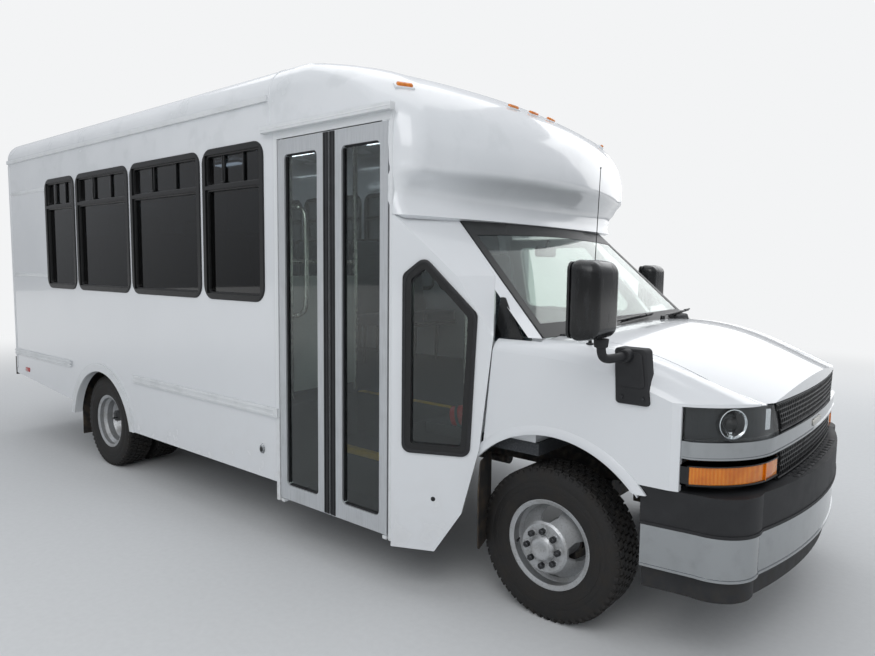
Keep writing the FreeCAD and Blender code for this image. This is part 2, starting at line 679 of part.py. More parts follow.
def side_window_frames(frames, panes):
    """Black frames with a bar under the vents, and the panes that they hold."""
    for sign in (-1, 1):
        side = "right" if sign < 0 else "left"
        outer = "%s + frame_proud" % SIDE if sign > 0 else "wall_thick - %s - 2 * seat_gap" % SIDE
        depth = "wall_thick + frame_proud - 2 * seat_gap"
        glass = "%s - wall_thick / 2" % SIDE if sign > 0 else "wall_thick / 2 + glass_thick - %s" % SIDE
        for i, (x, span) in enumerate(window_places()):
            tag = "%s_%d" % (side, i)
            ring = prism("frame_" + tag, "side", window_outline(x, span, "seat_gap"), outer, depth,
                         "window_corner - seat_gap")
            rear = "%s - %s + window_frame" % (x, span)
            lower = prism("frame_low_" + tag, "side",
                          [(rear, "window_sill + window_frame"), ("%s - window_frame" % x, "window_sill + window_frame"),
                           ("%s - window_frame" % x, "transom_height"), (rear, "transom_height")],
                          "%s + 1" % outer, "%s + 2" % depth)
            upper = prism("frame_up_" + tag, "side",
                          [(rear, "transom_height + transom_bar"), ("%s - window_frame" % x, "transom_height + transom_bar"),
                           ("%s - window_frame" % x, "window_head - window_frame"), (rear, "window_head - window_frame")],
                          "%s + 1" % outer, "%s + 2" % depth)
            frames.append(cut("frame_cut_" + tag, ring, [lower, upper]))
            for part, low, high in (("low", "window_sill + window_frame + seat_gap", "transom_height - seat_gap"),
                                    ("up", "transom_height + transom_bar + seat_gap",
                                     "window_head - window_frame - seat_gap")):
                panes.append(prism("pane_%s_%s" % (part, tag), "side",
                                   [("%s + seat_gap" % rear, low), ("%s - window_frame - seat_gap" % x, low),
                                    ("%s - window_frame - seat_gap" % x, high), ("%s + seat_gap" % rear, high)],
                                   glass, "glass_thick"))
    node("window_frames", group("window_frames", frames))
    node("window_glass", group("window_glass", panes))


def rear_window_prism(name, low, inset, start, depth):
    """A rear window's outline from its low edge, set in and pushed along +x."""
    near, far = "%s + (%s)" % (low, inset), "%s + 2 * rear_window_half - (%s)" % (low, inset)
    corners = [(near, "rear_window_low + (%s)" % inset), (far, "rear_window_low + (%s)" % inset),
               (far, "rear_window_high - (%s)" % inset), (near, "rear_window_high - (%s)" % inset)]
    return prism(name, "front", corners, "%s + (%s)" % (REAR_FACE, start), depth, "window_corner - (%s)" % inset)


def rear_windows():
    """Frames, panes and openings of the two windows beside the rear door."""
    frames, panes, openings = [], [], []
    for sign in (-1, 1):
        low = "%s * (rear_window_middle) - rear_window_half" % sign
        openings.append(rear_window_prism("rear_wall_window_%d" % (sign > 0), low, "0", "-1", "wall_thick + 2"))
        ring = rear_window_prism("rear_ring_%d" % (sign > 0), low, "seat_gap", "-1 * frame_proud",
                                 "wall_thick + frame_proud - seat_gap")
        hole = rear_window_prism("rear_ring_hole_%d" % (sign > 0), low, "window_frame", "-1 * frame_proud - 1",
                                 "wall_thick + frame_proud + 2")
        frames.append(cut("rear_frame_%d" % (sign > 0), ring, [hole]))
        panes.append(rear_window_prism("rear_pane_%d" % (sign > 0), low, "window_frame + seat_gap",
                                       "wall_thick / 2", "glass_thick"))
    return frames, panes, openings


# Heights of the lower ends of the rear door's hinge barrels.
REAR_HINGES = ("rear_door_bottom + 150", "(rear_door_bottom + rear_door_top) / 2", "rear_door_top - 260")


def rear_hinges():
    """Ears and pins that carry the rear door's barrels."""
    x = "%s - hinge_radius" % REAR_FACE
    pieces = []
    for number, height in enumerate(REAR_HINGES):
        pieces.append(rod("rear_pin_%d" % number, x, "-1 * rear_door_half", "%s - 24" % height,
                          "z", "hinge_radius / 2", "hinge_length + 48"))
        for tag, low in (("low", "%s - 24" % height), ("high", "%s + hinge_length + 1" % height)):
            pieces.append(box("rear_ear_%s_%d" % (tag, number), "%s - hinge_eye" % x, "-1 * rear_door_half - 60", low,
                              "hinge_eye + hinge_radius", "60", "23"))
            pieces.append(rod("rear_eye_%s_%d" % (tag, number), x, "-1 * rear_door_half", low, "z", "hinge_eye", "23"))
    return pieces


def rear_wall(openings):
    """The flat rear wall with its door opening and two window openings."""
    half = "(%s - wall_thick - seat_gap)" % SIDE
    sheet = prism("rear_wall_sheet", "front",
                  [("-1 * %s" % half, "rear_skirt_height"), (half, "rear_skirt_height"),
                   (half, "wall_top"), ("-1 * %s" % half, "wall_top")], REAR_FACE, "wall_thick")
    hole = box("rear_wall_door", "%s - 1" % REAR_FACE, "-1 * rear_door_half", "rear_door_bottom",
               "wall_thick + 2", "2 * rear_door_half", "rear_door_top - rear_door_bottom")
    return node("rear_wall", fuse("rear_wall", [cut("rear_wall_cut", sheet, [hole] + openings)] + rear_hinges()))


def floor():
    """The cabin and cab floor, open over the entry steps, on cross bearers."""
    half = "(%s - wall_thick - seat_gap)" % SIDE
    slab = box("floor_slab", "%s + wall_thick + seat_gap" % REAR_FACE, "-1 * %s" % half,
               "floor_top - floor_thick",
               "%s - floor_front_back - %s - wall_thick - seat_gap" % (FRONT_AXLE, REAR_FACE),
               "2 * %s" % half, "floor_thick")
    well = box("floor_well", "%s - door_rear_back" % FRONT_AXLE, "-1 * %s - 1" % SIDE,
               "floor_top - floor_thick - 1", "door_rear_back - door_front_back", "step_depth + 1",
               "floor_thick + 2")
    cab = box("floor_cab", "%s - floor_front_back" % FRONT_AXLE, "seat_gap - cab_half + cab_door_thick + 20",
              "floor_top - floor_thick", "floor_front_back - 60",
              "2 * (cab_half - cab_door_thick - 20) - 2 * seat_gap", "floor_thick")
    return node("floor", cut("floor", fuse("floor_sheet", [slab, cab]), [well]))


def entry_steps():
    """Two steps down to the door, with their risers and end walls."""
    rear = "%s - door_rear_back + seat_gap" % FRONT_AXLE
    span = "door_rear_back - door_front_back - 2 * seat_gap"
    outer = "-1 * %s + door_thick + 8" % SIDE
    inner = "-1 * %s + step_depth - seat_gap" % SIDE
    pieces = [
        box("step_low", rear, outer, "door_bottom", span, "step_tread + 20 + step_wall", "step_wall"),
        box("riser_low", rear, "%s + step_tread + 20" % outer, "door_bottom", span, "step_wall",
            "step_rise"),
        box("step_high", rear, "%s + step_tread + 20" % outer, "door_bottom + step_rise - step_wall", span,
            "%s - (%s) - step_tread - 20" % (inner, outer), "step_wall"),
        box("riser_high", rear, "%s - step_wall" % inner, "door_bottom + step_rise - step_wall", span,
            "step_wall", "floor_top - door_bottom - step_rise + step_wall"),
        box("well_rear", rear, outer, "door_bottom", "step_wall", "%s - (%s)" % (inner, outer),
            "floor_top - door_bottom"),
        box("well_front", "%s - door_front_back - seat_gap - step_wall" % FRONT_AXLE, outer, "door_bottom",
            "step_wall", "%s - (%s)" % (inner, outer), "floor_top - door_bottom"),
    ]
    return node("entry_steps", fuse("entry_steps", pieces))


def door_frame():
    """Two posts, the head rail and the pivot pins of the entry door."""
    outer = "-1 * %s" % SIDE
    depth = "wall_thick"
    rear = "%s - door_rear_back - jamb_width" % FRONT_AXLE
    front = "%s - door_front_back" % FRONT_AXLE
    low = "door_bottom - 24"
    pieces = [
        box("post_rear", "%s + seat_gap" % rear, outer, low, "jamb_width - seat_gap", depth,
            "header_height - door_bottom + 24 - seat_gap"),
        box("post_front", front, outer, low, "panel_post - seat_gap", depth,
            "header_height - door_bottom + 24 - seat_gap"),
        box("head_rail", "%s + seat_gap" % rear, outer, "door_top + 6",
            "door_rear_back - door_front_back + jamb_width + panel_post - 2 * seat_gap", depth,
            "header_height - door_top - 6 - seat_gap"),
        box("sill_rail", "%s + seat_gap" % rear, "%s + door_thick" % outer, low,
            "door_rear_back - door_front_back + jamb_width + panel_post - 2 * seat_gap",
            "wall_thick - door_thick", "24 - seat_gap"),
    ]
    for tag, spot in (("rear", "%s - door_rear_back + door_clear + leaf_pivot" % FRONT_AXLE),
                      ("front", "%s - door_front_back - door_clear - leaf_pivot" % FRONT_AXLE)):
        pieces.append(box("pin_foot_" + tag, "%s - 14" % spot, outer, low, "28", depth, "18"))
        pieces.append(rod("pin_low_" + tag, spot, "%s + door_pivot_depth" % outer, low, "z", "pivot_radius", "50"))
        pieces.append(rod("pin_high_" + tag, spot, "%s + door_pivot_depth" % outer, "door_top - 26", "z",
                          "pivot_radius", "40"))
    return node("entry_door_frame", fuse("entry_door_frame", pieces))


def entry_leaf(label, edge, sign, length):
    """One glazed door leaf; sign says which way it runs from its pivot edge."""
    outer = "-1 * %s" % SIDE
    near = edge
    far = "(%s) + %d * (%s)" % (edge, sign, length)
    low_x, high_x = (near, far) if sign > 0 else (far, near)
    plate = box(label + "_plate", low_x, outer, "door_bottom", length, "door_thick", "door_top - door_bottom")
    seal = "leaf_seal"
    glass_low = "(%s) + leaf_frame" % low_x if sign > 0 else "(%s) + leaf_frame + %s" % (low_x, seal)
    span = "%s - 2 * leaf_frame - %s" % (length, seal)
    hole = prism(label + "_hole", "side",
                 [(glass_low, "door_bottom + leaf_kick"), ("%s + %s" % (glass_low, span), "door_bottom + leaf_kick"),
                  ("%s + %s" % (glass_low, span), "door_top - leaf_kick"), (glass_low, "door_top - leaf_kick")],
                 "%s + door_thick + 1" % outer, "door_thick + 2", "30")
    spot = "(%s) + %d * leaf_pivot" % (edge, sign)
    bores = [rod(label + "_bore_" + tag, spot, "%s + door_pivot_depth" % outer, low, "z",
                 "pivot_radius + seat_gap", "40")
             for tag, low in (("low", "door_bottom - 10"), ("high", "door_top - 30"))]
    node(label, cut(label, plate, [hole] + bores))
    pane = prism(label + "_glass", "side",
                 [("%s + seat_gap" % glass_low, "door_bottom + leaf_kick + seat_gap"),
                  ("%s + %s - seat_gap" % (glass_low, span), "door_bottom + leaf_kick + seat_gap"),
                  ("%s + %s - seat_gap" % (glass_low, span), "door_top - leaf_kick - seat_gap"),
                  ("%s + seat_gap" % glass_low, "door_top - leaf_kick - seat_gap")],
                 "%s + door_thick / 2 + glass_thick" % outer, "glass_thick", "30 - seat_gap")
    node(label + "_glass", pane)


# Front panel beside the door: height, crease from the outer edge, far edge back from
# the front axle and its half width. The crease parts the flat face from the bent one.
PANEL_LEVELS = (
    (251, 180, 536, 1123),
    (460, 300, 411, 1066),
    (795, 400, 334, 1030),
    (1352, 500, 279, 1005),
    (1634, 330, 360, 885),
    (1929, 12, 660, 802),
)


def facet_point(along, inward=0.0):
    """A point on the flat face of the front panel, in plan."""
    turn = math.radians(size("panel_angle"))
    x = size(FRONT_AXLE) - size("panel_back") + along * math.cos(turn) - inward * math.sin(turn)
    y = -size(SIDE) + along * math.sin(turn) + inward * math.cos(turn)
    return x, y


def front_panel():
    """The moulded panel that joins the bus side to the cab, with its window opening."""
    axle, thick = size(FRONT_AXLE), size("panel_thick")
    turn = math.radians(size("panel_angle"))
    shift = (-thick * math.sin(turn), thick * math.cos(turn))
    wires = []
    for height, crease, far_back, far_half in PANEL_LEVELS:
        edge = facet_point(0)
        bend = facet_point(crease)
        far = (axle - far_back, -far_half)
        spots = [edge, bend, far, (far[0] + shift[0], far[1] + shift[1]),
                 (bend[0] + shift[0], bend[1] + shift[1]), (edge[0], edge[1] + size("wall_thick"))]
        corners = [Vector(x, y, height) for x, y in spots]
        wires.append(Part.makePolygon(corners + corners[:1]))
    panel = Part.makeLoft(wires, True, True)
    hole = quarter_prism("quarter_hole", "0", "panel_thick + 80", "-1 * 60")
    DOC.recompute()
    panel = panel.cut(hole.Shape)
    return node("front_panel", free_form("front_panel", panel))


def quarter_prism(name, inset, depth, start):
    """The five-sided window's outline on the flat face, set in and pushed outwards."""
    inset = "(%s)" % inset
    corners = [("quarter_rear + %s" % inset, "quarter_low + %s" % inset),
               ("quarter_front_low - %s" % inset, "quarter_low + %s" % inset),
               ("quarter_front - %s" % inset, "quarter_shoulder - 0.4 * %s" % inset),
               ("quarter_apex", "quarter_high - 1.3 * %s" % inset),
               ("quarter_rear + %s" % inset, "quarter_shoulder_rear - 0.5 * %s" % inset)]
    body = prism(name, "side", corners, "0", depth, "quarter_round - 0.6 * %s" % inset)
    turn = size("panel_angle")
    body.setExpression("Placement.Base.y", None)
    out = (math.sin(math.radians(turn)), -math.cos(math.radians(turn)))
    edge = facet_point(0)
    offset = size(start)
    body.Placement = Placement(Vector(edge[0] + offset * out[0], edge[1] + offset * out[1], 0),
                               Rotation(Vector(0, 0, 1), turn).multiply(FACINGS["side"]))
    return body


def quarter_window():
    """The black frame and the pane of the five-sided window."""
    ring = quarter_prism("quarter_ring", "seat_gap", "panel_thick + 14", "-1 * panel_thick - 6")
    hole = quarter_prism("quarter_ring_hole", "quarter_frame", "panel_thick + 40", "-1 * panel_thick - 20")
    pane = quarter_prism("quarter_pane", "quarter_frame + seat_gap", "glass_thick", "-1 * panel_thick / 2")
    return cut("quarter_ring_cut", ring, [hole]), pane


def screen_point(height, side=1.0, back=0.0):
    """A point on the windscreen's side edge at a height."""
    base, top = size("cab_belt"), size("cap_bottom")
    share = (height - base) / (top - base)
    x = size(FRONT_AXLE) - size("screen_base_back") + share * (size("screen_base_back") - size("screen_top_back"))
    y = size("screen_base_half") + share * (size("pillar_top_half") - size("screen_base_half"))
    return x - back, side * y


def screen_wire(height, inset, thick):
    """The windscreen's bowed section at a height."""
    base, top = size("cab_belt"), size("cap_bottom")
    share = (height - base) / (top - base)
    x, y = screen_point(height)
    middle = (size(FRONT_AXLE) + size("screen_base_lead")
              - share * (size("screen_base_lead") + size("screen_top_lead")))
    front = [Vector(x - inset, -y, height), Vector(middle - inset, 0, height), Vector(x - inset, y, height)]
    rear = [spot - Vector(thick, 0, 0) for spot in front]
    return Part.Wire([Part.Arc(*front).toShape(), Part.makeLine(front[2], rear[2]),
                      Part.Arc(rear[2], rear[1], rear[0]).toShape(), Part.makeLine(rear[0], front[0])])


def windscreen():
    """The bowed and raked windscreen."""
    low, high = size("cab_belt") + 2, size("cap_bottom") - 2
    glass = Part.makeLoft([screen_wire(low, 0, size("glass_thick") + 2),
                           screen_wire(high, 0, size("glass_thick") + 2)], True, True)
    return node("windscreen", free_form("windscreen", glass))


def cab_frame():
    """Screen pillars, cowl and firewall of the van cab."""
    axle, low, high = size(FRONT_AXLE), size("cab_belt"), size("cap_bottom")
    gap = size("glass_thick") + 2 + size("seat_gap")
    shapes = []
    for side in (-1, 1):
        wires = []
        for height in (low, high - size("seat_gap")):
            x, y = screen_point(height, side)
            spots = [(x - gap, y - side * 34), (x - gap, y + side * 2), (x - gap - 62, y + side * 22),
                     (x - gap - 62, y - side * 34)]
            corners = [Vector(u, v, height) for u, v in spots]
            wires.append(Part.makePolygon(corners + corners[:1]))
        shapes.append(Part.makeLoft(wires, True, True))
    panel = DOC.getObject("front_panel").Shape
    shapes[0] = shapes[0].cut(panel)
    half = size("screen_base_half") - 40
    wall_x = axle - size("screen_base_back") - gap - 62
    shapes.append(Part.makeBox(30, 2 * half, low - 60 - size("floor_top"), Vector(wall_x, -half, size("floor_top"))))
    cowl = Part.makeBox(axle + size("hood_rear_lead") - wall_x - 12, 2 * half, 22,
                        Vector(wall_x, -half, low - 60))
    shapes.append(cowl)
    shelf = Part.makeBox(62 + gap + 4, 2 * half + 60, 38, Vector(wall_x, -half - 30, low - 38))
    shapes.append(shelf)
    floor_top = size("floor_top")
    door_front = axle - size("cab_door_front")
    for side in (-1, 1):
        low_y = 890 if side > 0 else -925
        shapes.append(Part.makeBox(wall_x + 30 - door_front + 70, 35, low - 38 - floor_top,
                                   Vector(door_front - 70, low_y, floor_top)))
    shapes.append(Part.makeBox(90, 53, low - 60 - floor_top, Vector(door_front - 70, 890, floor_top)))
    shapes.extend(door_hinges()[0])
    shapes.extend(hood_hinges()[0])
    solid = shapes[0]
    for shape in shapes[1:]:
        solid = solid.fuse(shape)
    solid = solid.cut(panel).cut(DOC.getObject("windscreen").Shape)
    solid = max(solid.Solids, key=lambda part: part.Volume)
    return node("cab_frame", free_form("cab_frame", solid.removeSplitter()))


def door_hinges():
    """The driver door's fixed hinge arms with pins, and what they need cut in the door."""
    gap, pin = size("seat_gap"), size("pivot_radius") - 2
    x, y = size(FRONT_AXLE) - size("door_hinge_back"), size("door_hinge_half")
    tall = size("door_hinge_tall")
    fixed, tools = [], []
    for low in (900, 1180):
        arm = Part.makeBox(2 * pin + 4, y - 930, tall - 20, Vector(x - pin - 2, 930, low + 10))
        eye = Part.makeCylinder(pin + 2, tall - 20, Vector(x, y, low + 10))
        rod_ = Part.makeCylinder(pin, tall + 50, Vector(x, y, low - 25))
        fixed.append(arm.fuse(eye).fuse(rod_))
        tools.append(Part.makeBox(90, 60, tall, Vector(x - 28, y - 49, low)))
        tools.append(Part.makeCylinder(pin + gap, tall + 56, Vector(x, y, low - 28)))
    return fixed, tools


def clip_shell():
    """The van's front body, hollow and open below, behind and in its face."""
    axle = size(FRONT_AXLE)
    thick = size("fender_thick")
    back = axle - 420
    outer = clip_solid(0).common(extruded_face(plan_wire(nose_plan(0, back), 0), Vector(0, 0, 1500)))
    inner = clip_solid(thick).common(
        extruded_face(plan_wire(nose_plan(thick, back - 30), 0), Vector(0, 0, 1500)))
    shell = outer.cut(inner)
    bumper_room = Part.makeBox(900, 2400, size("fascia_bottom") - 100,
                               Vector(axle + size("bumper_end_lead") - 12, -1200, 100))
    return shell.cut(bumper_room)


def hood_region(widen):
    """The part of the front body that lifts as the hood, widened by a gap."""
    axle = size(FRONT_AXLE)
    rear, front = axle + size("hood_rear_lead"), axle + size("front_overhang") + 50
    half, nose = size("hood_half") + widen, size("hood_nose_half") + widen
    spots = [Vector(rear - widen, -half, 0), Vector(front, -nose, 0), Vector(front, nose, 0),
             Vector(rear - widen, half, 0)]
    face = Part.Face(Part.makePolygon(spots + spots[:1]))
    low = size("lamp_top") - size("hood_lip") - widen
    region = face.extrude(Vector(0, 0, 1600 - low))
    region.translate(Vector(0, 0, low))
    return region


def hood_hinges():
    """The hood's fixed hinge arms with their pins, and what they need cut in the hood."""
    axle, gap = size(FRONT_AXLE), size("seat_gap")
    x, z, half = axle + size("hood_hinge_lead"), size("hood_hinge_height"), size("hood_hinge_half")
    pin, wide = size("hood_pin_radius"), size("hood_hinge_width")
    fixed, tools = [], []
    for side in (-1, 1):
        low = side * half - wide / 2
        arm = Part.makeBox(pin + 34, wide, 36, Vector(x - 30, low, size("cab_belt") - 60))
        post = Part.makeBox(2 * pin + 4, wide, z - size("cab_belt") + 60, Vector(x - pin - 2, low, size("cab_belt") - 60))
        eye = Part.makeCylinder(pin + 2, wide, Vector(x, low, z), Vector(0, 1, 0))
        rod_ = Part.makeCylinder(pin, wide + 50, Vector(x, low - 25, z), Vector(0, 1, 0))
        fixed.append(arm.fuse(post).fuse(eye).fuse(rod_))
        tools.append(Part.makeBox(60, wide + 6, 90, Vector(x - 40, low - 3, z - 90 + pin + 6)))
        tools.append(Part.makeCylinder(pin + gap, wide + 56, Vector(x, low - 28, z), Vector(0, 1, 0)))
    return fixed, tools


def front_body():
    """Both fenders and the hood between them."""
    axle = size(FRONT_AXLE)
    shell = clip_shell()
    face_cut = nose_band(-60, size("fascia_depth"), size("fascia_bottom") - 200,
                         size("lamp_top") + size("seat_gap"), (-1100, 1100))
    hood = shell.common(hood_region(0)).cut(face_cut)
    for tool in hood_hinges()[1]:
        hood = hood.cut(tool)
    low = size("lamp_top") - size("hood_lip")
    node("hood", free_form("hood", hood))
    fenders = shell.cut(hood_region(size("hood_gap"))).cut(face_cut)
    opening = Part.makeBox(500 + size("hood_rear_lead"), 2 * size("hood_half") + 2 * size("hood_gap"), 700,
                           Vector(axle - 500, -size("hood_half") - size("hood_gap"), low))
    screen_side = Part.makeBox(500, 2 * size("screen_base_half") + 40, 300,
                               Vector(axle - 540, -size("screen_base_half") - 20, size("cab_belt") - 62))
    fenders = fenders.cut(opening).cut(screen_side)
    for neighbour in ("windscreen", "cab_frame"):
        fenders = fenders.cut(DOC.getObject(neighbour).Shape)
    arch = Part.makeCylinder(size("arch_radius"), 2600,
                             Vector(axle + size("arch_lead"), -1300, size("tyre_radius")), Vector(0, 1, 0))
    fenders = fenders.cut(arch)
    pieces = []
    for side in (-1, 1):
        part = inside(fenders, (axle - 600, min(0, side * 1300), 300), (axle + 1200, max(0, side * 1300), 1500))
        if side < 0:
            edge = [(-700, 200), (-411, 460), (-334, 795), (-279, 1352), (-279, 1600), (-700, 1600)]
        else:
            door = -size("cab_door_front") + size("cab_door_gap")
            edge = [(-700, 200), (door, 200), (door, 1600), (-700, 1600)]
        spots = [Vector(axle + x + size("hood_gap") / 2, 0, z) for x, z in edge]
        wedge = Part.Face(Part.makePolygon(spots + spots[:1])).extrude(Vector(0, side * 1300, 0))
        pieces.append(part.cut(wedge))
    for label, part in zip(("fender_right", "fender_left"), pieces):
        biggest = max(part.Solids, key=lambda solid: solid.Volume)
        node(label, free_form(label, biggest))


def fascia():
    """Black surround, grilles, head lamps, turn signals and the bright bar."""
    gap = size("seat_gap")
    back, face = size("fascia_depth") - 6, size("fascia_depth") - 40
    half, inner_low, inner_high = size("lamp_half"), size("lamp_inner_low"), size("grille_half")
    low, top = size("lamp_bottom"), size("lamp_top")
    surround = nose_band(face, back, size("fascia_bottom"), top, (-half - 20, half + 20))
    upper = nose_band(10, face + 1, low, top - 2, (-inner_low, inner_low), (-inner_high, inner_high))
    lower = nose_band(10, face + 1, size("fascia_bottom") + 6, size("bar_bottom") - gap, (-inner_low, inner_low))
    node("front_fascia", free_form("front_fascia", surround.fuse(upper).fuse(lower)))
    lamps, signals = [], []
    for sign in (-1, 1):
        ends_low = tuple(sorted((sign * (inner_low + 8), sign * half)))
        ends_high = tuple(sorted((sign * (inner_high + 8), sign * half)))
        lamps.append(nose_band(3, face - gap, low + gap, top - 4, ends_low, ends_high))
        signals.append(nose_band(4, face - gap, size("signal_bottom"), size("signal_top"), ends_low))
    node("head_lamps", free_form("head_lamps", Part.makeCompound(lamps)))
    bar = nose_band(-8, face - gap, size("bar_bottom"), low - gap, (-half - 8, half + 8))
    node("bright_bar", free_form("bright_bar", bar))
    return signals


def front_bumper():
    """Black pad over a bright face, with the air dam below."""
    axle = size(FRONT_AXLE)
    rear = axle + size("bumper_end_lead")

    def band(outer, inner, low, high):
        ring = extruded_face(plan_wire(bumper_plan(outer, rear), low), Vector(0, 0, high - low))
        return ring.cut(extruded_face(plan_wire(bumper_plan(inner, rear - 1), low - 1), Vector(0, 0, high - low + 2)))

    gap = size("seat_gap")
    pad = band(0, 130, size("bumper_mid"), size("bumper_top"))
    face = band(12, 12 + size("bumper_thick"), size("bumper_low"), size("bumper_mid") - gap)
    dam = band(40, 40 + size("dam_thick"), size("dam_bottom"), size("bumper_low") - gap)
    start = axle + size("rail_front_lead") + gap
    for low in (-size("rail_half"), size("rail_half") - size("rail_width")):
        horn = Part.makeBox(300, size("rail_width"), 120, Vector(start, low, size("bumper_mid") + 10))
        pad = pad.fuse(horn)
    node("bumper_pad", free_form("bumper_pad", pad.removeSplitter()))
    node("bumper_face", free_form("bumper_face", face))
    node("air_dam", free_form("air_dam", dam))


def cab_side_strip(name, outer_inset, thick):
    """The bent section of the cab's left side: upright door, leaning window."""
    low, belt, high = "cab_sill", "cab_belt", "cap_bottom - 2"
    out = "(cab_half - %s)" % outer_inset
    lean = "(cab_half - cab_lean - %s)" % outer_inset
    corners = [("%s - %s" % (out, thick), low), (out, low), (out, belt), (lean, high),
               ("%s - %s" % (lean, thick), high), ("%s - %s" % (out, thick), belt)]
    return prism(name, "front", corners, "%s - 1700" % FRONT_AXLE, "1700")


def driver_door():
    """The cab's left door with its window, and the pane."""
    x = FRONT_AXLE
    outline = [("%s - cab_door_rear" % x, "cab_sill + 15"), ("%s - 540" % x, "cab_sill + 15"),
               ("%s - 430" % x, "690"), ("%s - cab_door_front" % x, "812"),
               ("%s - cab_door_front" % x, "cab_belt + 22"), ("%s - cab_door_front - 385" % x, "cap_bottom - 40"),
               ("%s - cab_door_rear" % x, "cap_bottom - 40")]
    window = [("%s - cab_door_rear + 80" % x, "cab_belt + 26"), ("%s - cab_door_front - 95" % x, "cab_belt + 26"),
              ("%s - cab_door_front - 430" % x, "cap_bottom - 105"), ("%s - cab_door_rear + 80" % x, "cap_bottom - 105")]
    strip = cab_side_strip("driver_door_strip", "0", "cab_door_thick")
    plate = prism("driver_door_plate", "side", outline, "cab_half + 60", "400")
    hole = prism("driver_door_hole", "side", window, "cab_half + 60", "420", "45")
    skin = cut("driver_door_body", common("driver_door_skin", strip, plate), [hole])
    DOC.recompute()
    door = skin.Shape
    for tool in door_hinges()[1]:
        door = door.cut(tool)
    node("driver_door", free_form("driver_door", door))
    pane = cab_side_strip("driver_glass_strip", "24", "glass_thick")
    fit = prism("driver_glass_plate", "side", window, "cab_half + 60", "400", "45")
    node("driver_door_glass", common("driver_door_glass", pane, fit))


def cab_fairing():
    """The panel behind the driver's door that reaches out to the left wall."""
    axle, gap = size(FRONT_AXLE), size("seat_gap")
    wall, door = axle - size("left_wall_back"), axle - size("cab_door_rear") - size("cab_door_gap")
    wires = []
    for height, half in ((size("skirt_height"), size("cab_half")), (size("cab_belt"), size("cab_half")),
                         (size("cap_bottom") - gap, size("cab_half") - size("cab_lean"))):
        spots = [(wall + gap, size(SIDE)), (door, half), (door - 46, half - 30), (wall + gap, size(SIDE) - size("wall_thick"))]
        corners = [Vector(x, y, height) for x, y in spots]
        wires.append(Part.makePolygon(corners + corners[:1]))
    return node("cab_fairing", free_form("cab_fairing", Part.makeLoft(wires, True, True)))


def chassis():
    """Two channel rails on the whole length with cross members and body bearers."""
    start = "%s + wall_thick + seat_gap" % REAR_FACE
    length = "%s + rail_front_lead - (%s)" % (FRONT_AXLE, start)
    pieces = []
    for sign in (-1, 1):
        low = "-1 * rail_half" if sign < 0 else "rail_half - rail_width"
        rail = box("rail_%d" % (sign > 0), start, low, "rail_bottom", length, "rail_width", "rail_height")
        hollow_low = "-1 * rail_half + rail_wall" if sign < 0 else "rail_half - rail_width - 1"
        hollow = box("rail_hollow_%d" % (sign > 0), "%s - 1" % start, hollow_low, "rail_bottom + rail_wall",
                     "%s + 2" % length, "rail_width - rail_wall + 1", "rail_height - 2 * rail_wall")
        pieces.append(cut("rail_channel_%d" % (sign > 0), rail, [hollow]))
    for number, place in enumerate(("%s + 60" % start, "%s + 650" % start, "%s - 620" % REAR_AXLE, "%s + 620" % REAR_AXLE,
                                    "%s + 1500" % REAR_AXLE, "%s + 2400" % REAR_AXLE,
                                    "%s - 920" % FRONT_AXLE, "%s + rail_front_lead - 60" % FRONT_AXLE)):
        pieces.append(box("cross_member_%d" % number, place, "-1 * rail_half + rail_wall", "rail_bottom + 30",
                          "60", "2 * rail_half - 2 * rail_wall", "rail_height - 60"))
    for number in range(7):
        place = "%s + 260 + %d * bearer_pitch" % (REAR_FACE, number)
        right = "%s - wall_thick - 60" % SIDE if number < 5 else "%s - step_depth - 6" % SIDE
        left = "%s - wall_thick - 60" % SIDE if number < 6 else "cab_half - cab_door_thick - 30"
        pieces.append(box("bearer_%d" % number, place, "-1 * (%s)" % right, "floor_top - floor_thick - bearer_height",
                          "bearer_width", "%s + %s" % (right, left), "bearer_height"))
    return node("chassis_frame", fuse("chassis_frame", pieces))


def engine():
    """Engine and gearbox as one plain block on its two mounts."""
    pieces = [box("engine_core", "%s + 40" % FRONT_AXLE, "-1 * 240", "rail_bottom + 16", "430", "480", "430"),
              box("gearbox_core", "%s - 830" % FRONT_AXLE, "-1 * 130", "rail_bottom - 60", "900", "260", "190")]
    pieces.append(box("engine_mount", "%s + 220" % FRONT_AXLE, "-1 * rail_half + rail_wall", "rail_bottom + 60",
                      "90", "2 * rail_half - 2 * rail_wall", "60"))
    return node("engine_block", fuse("engine_block", pieces))


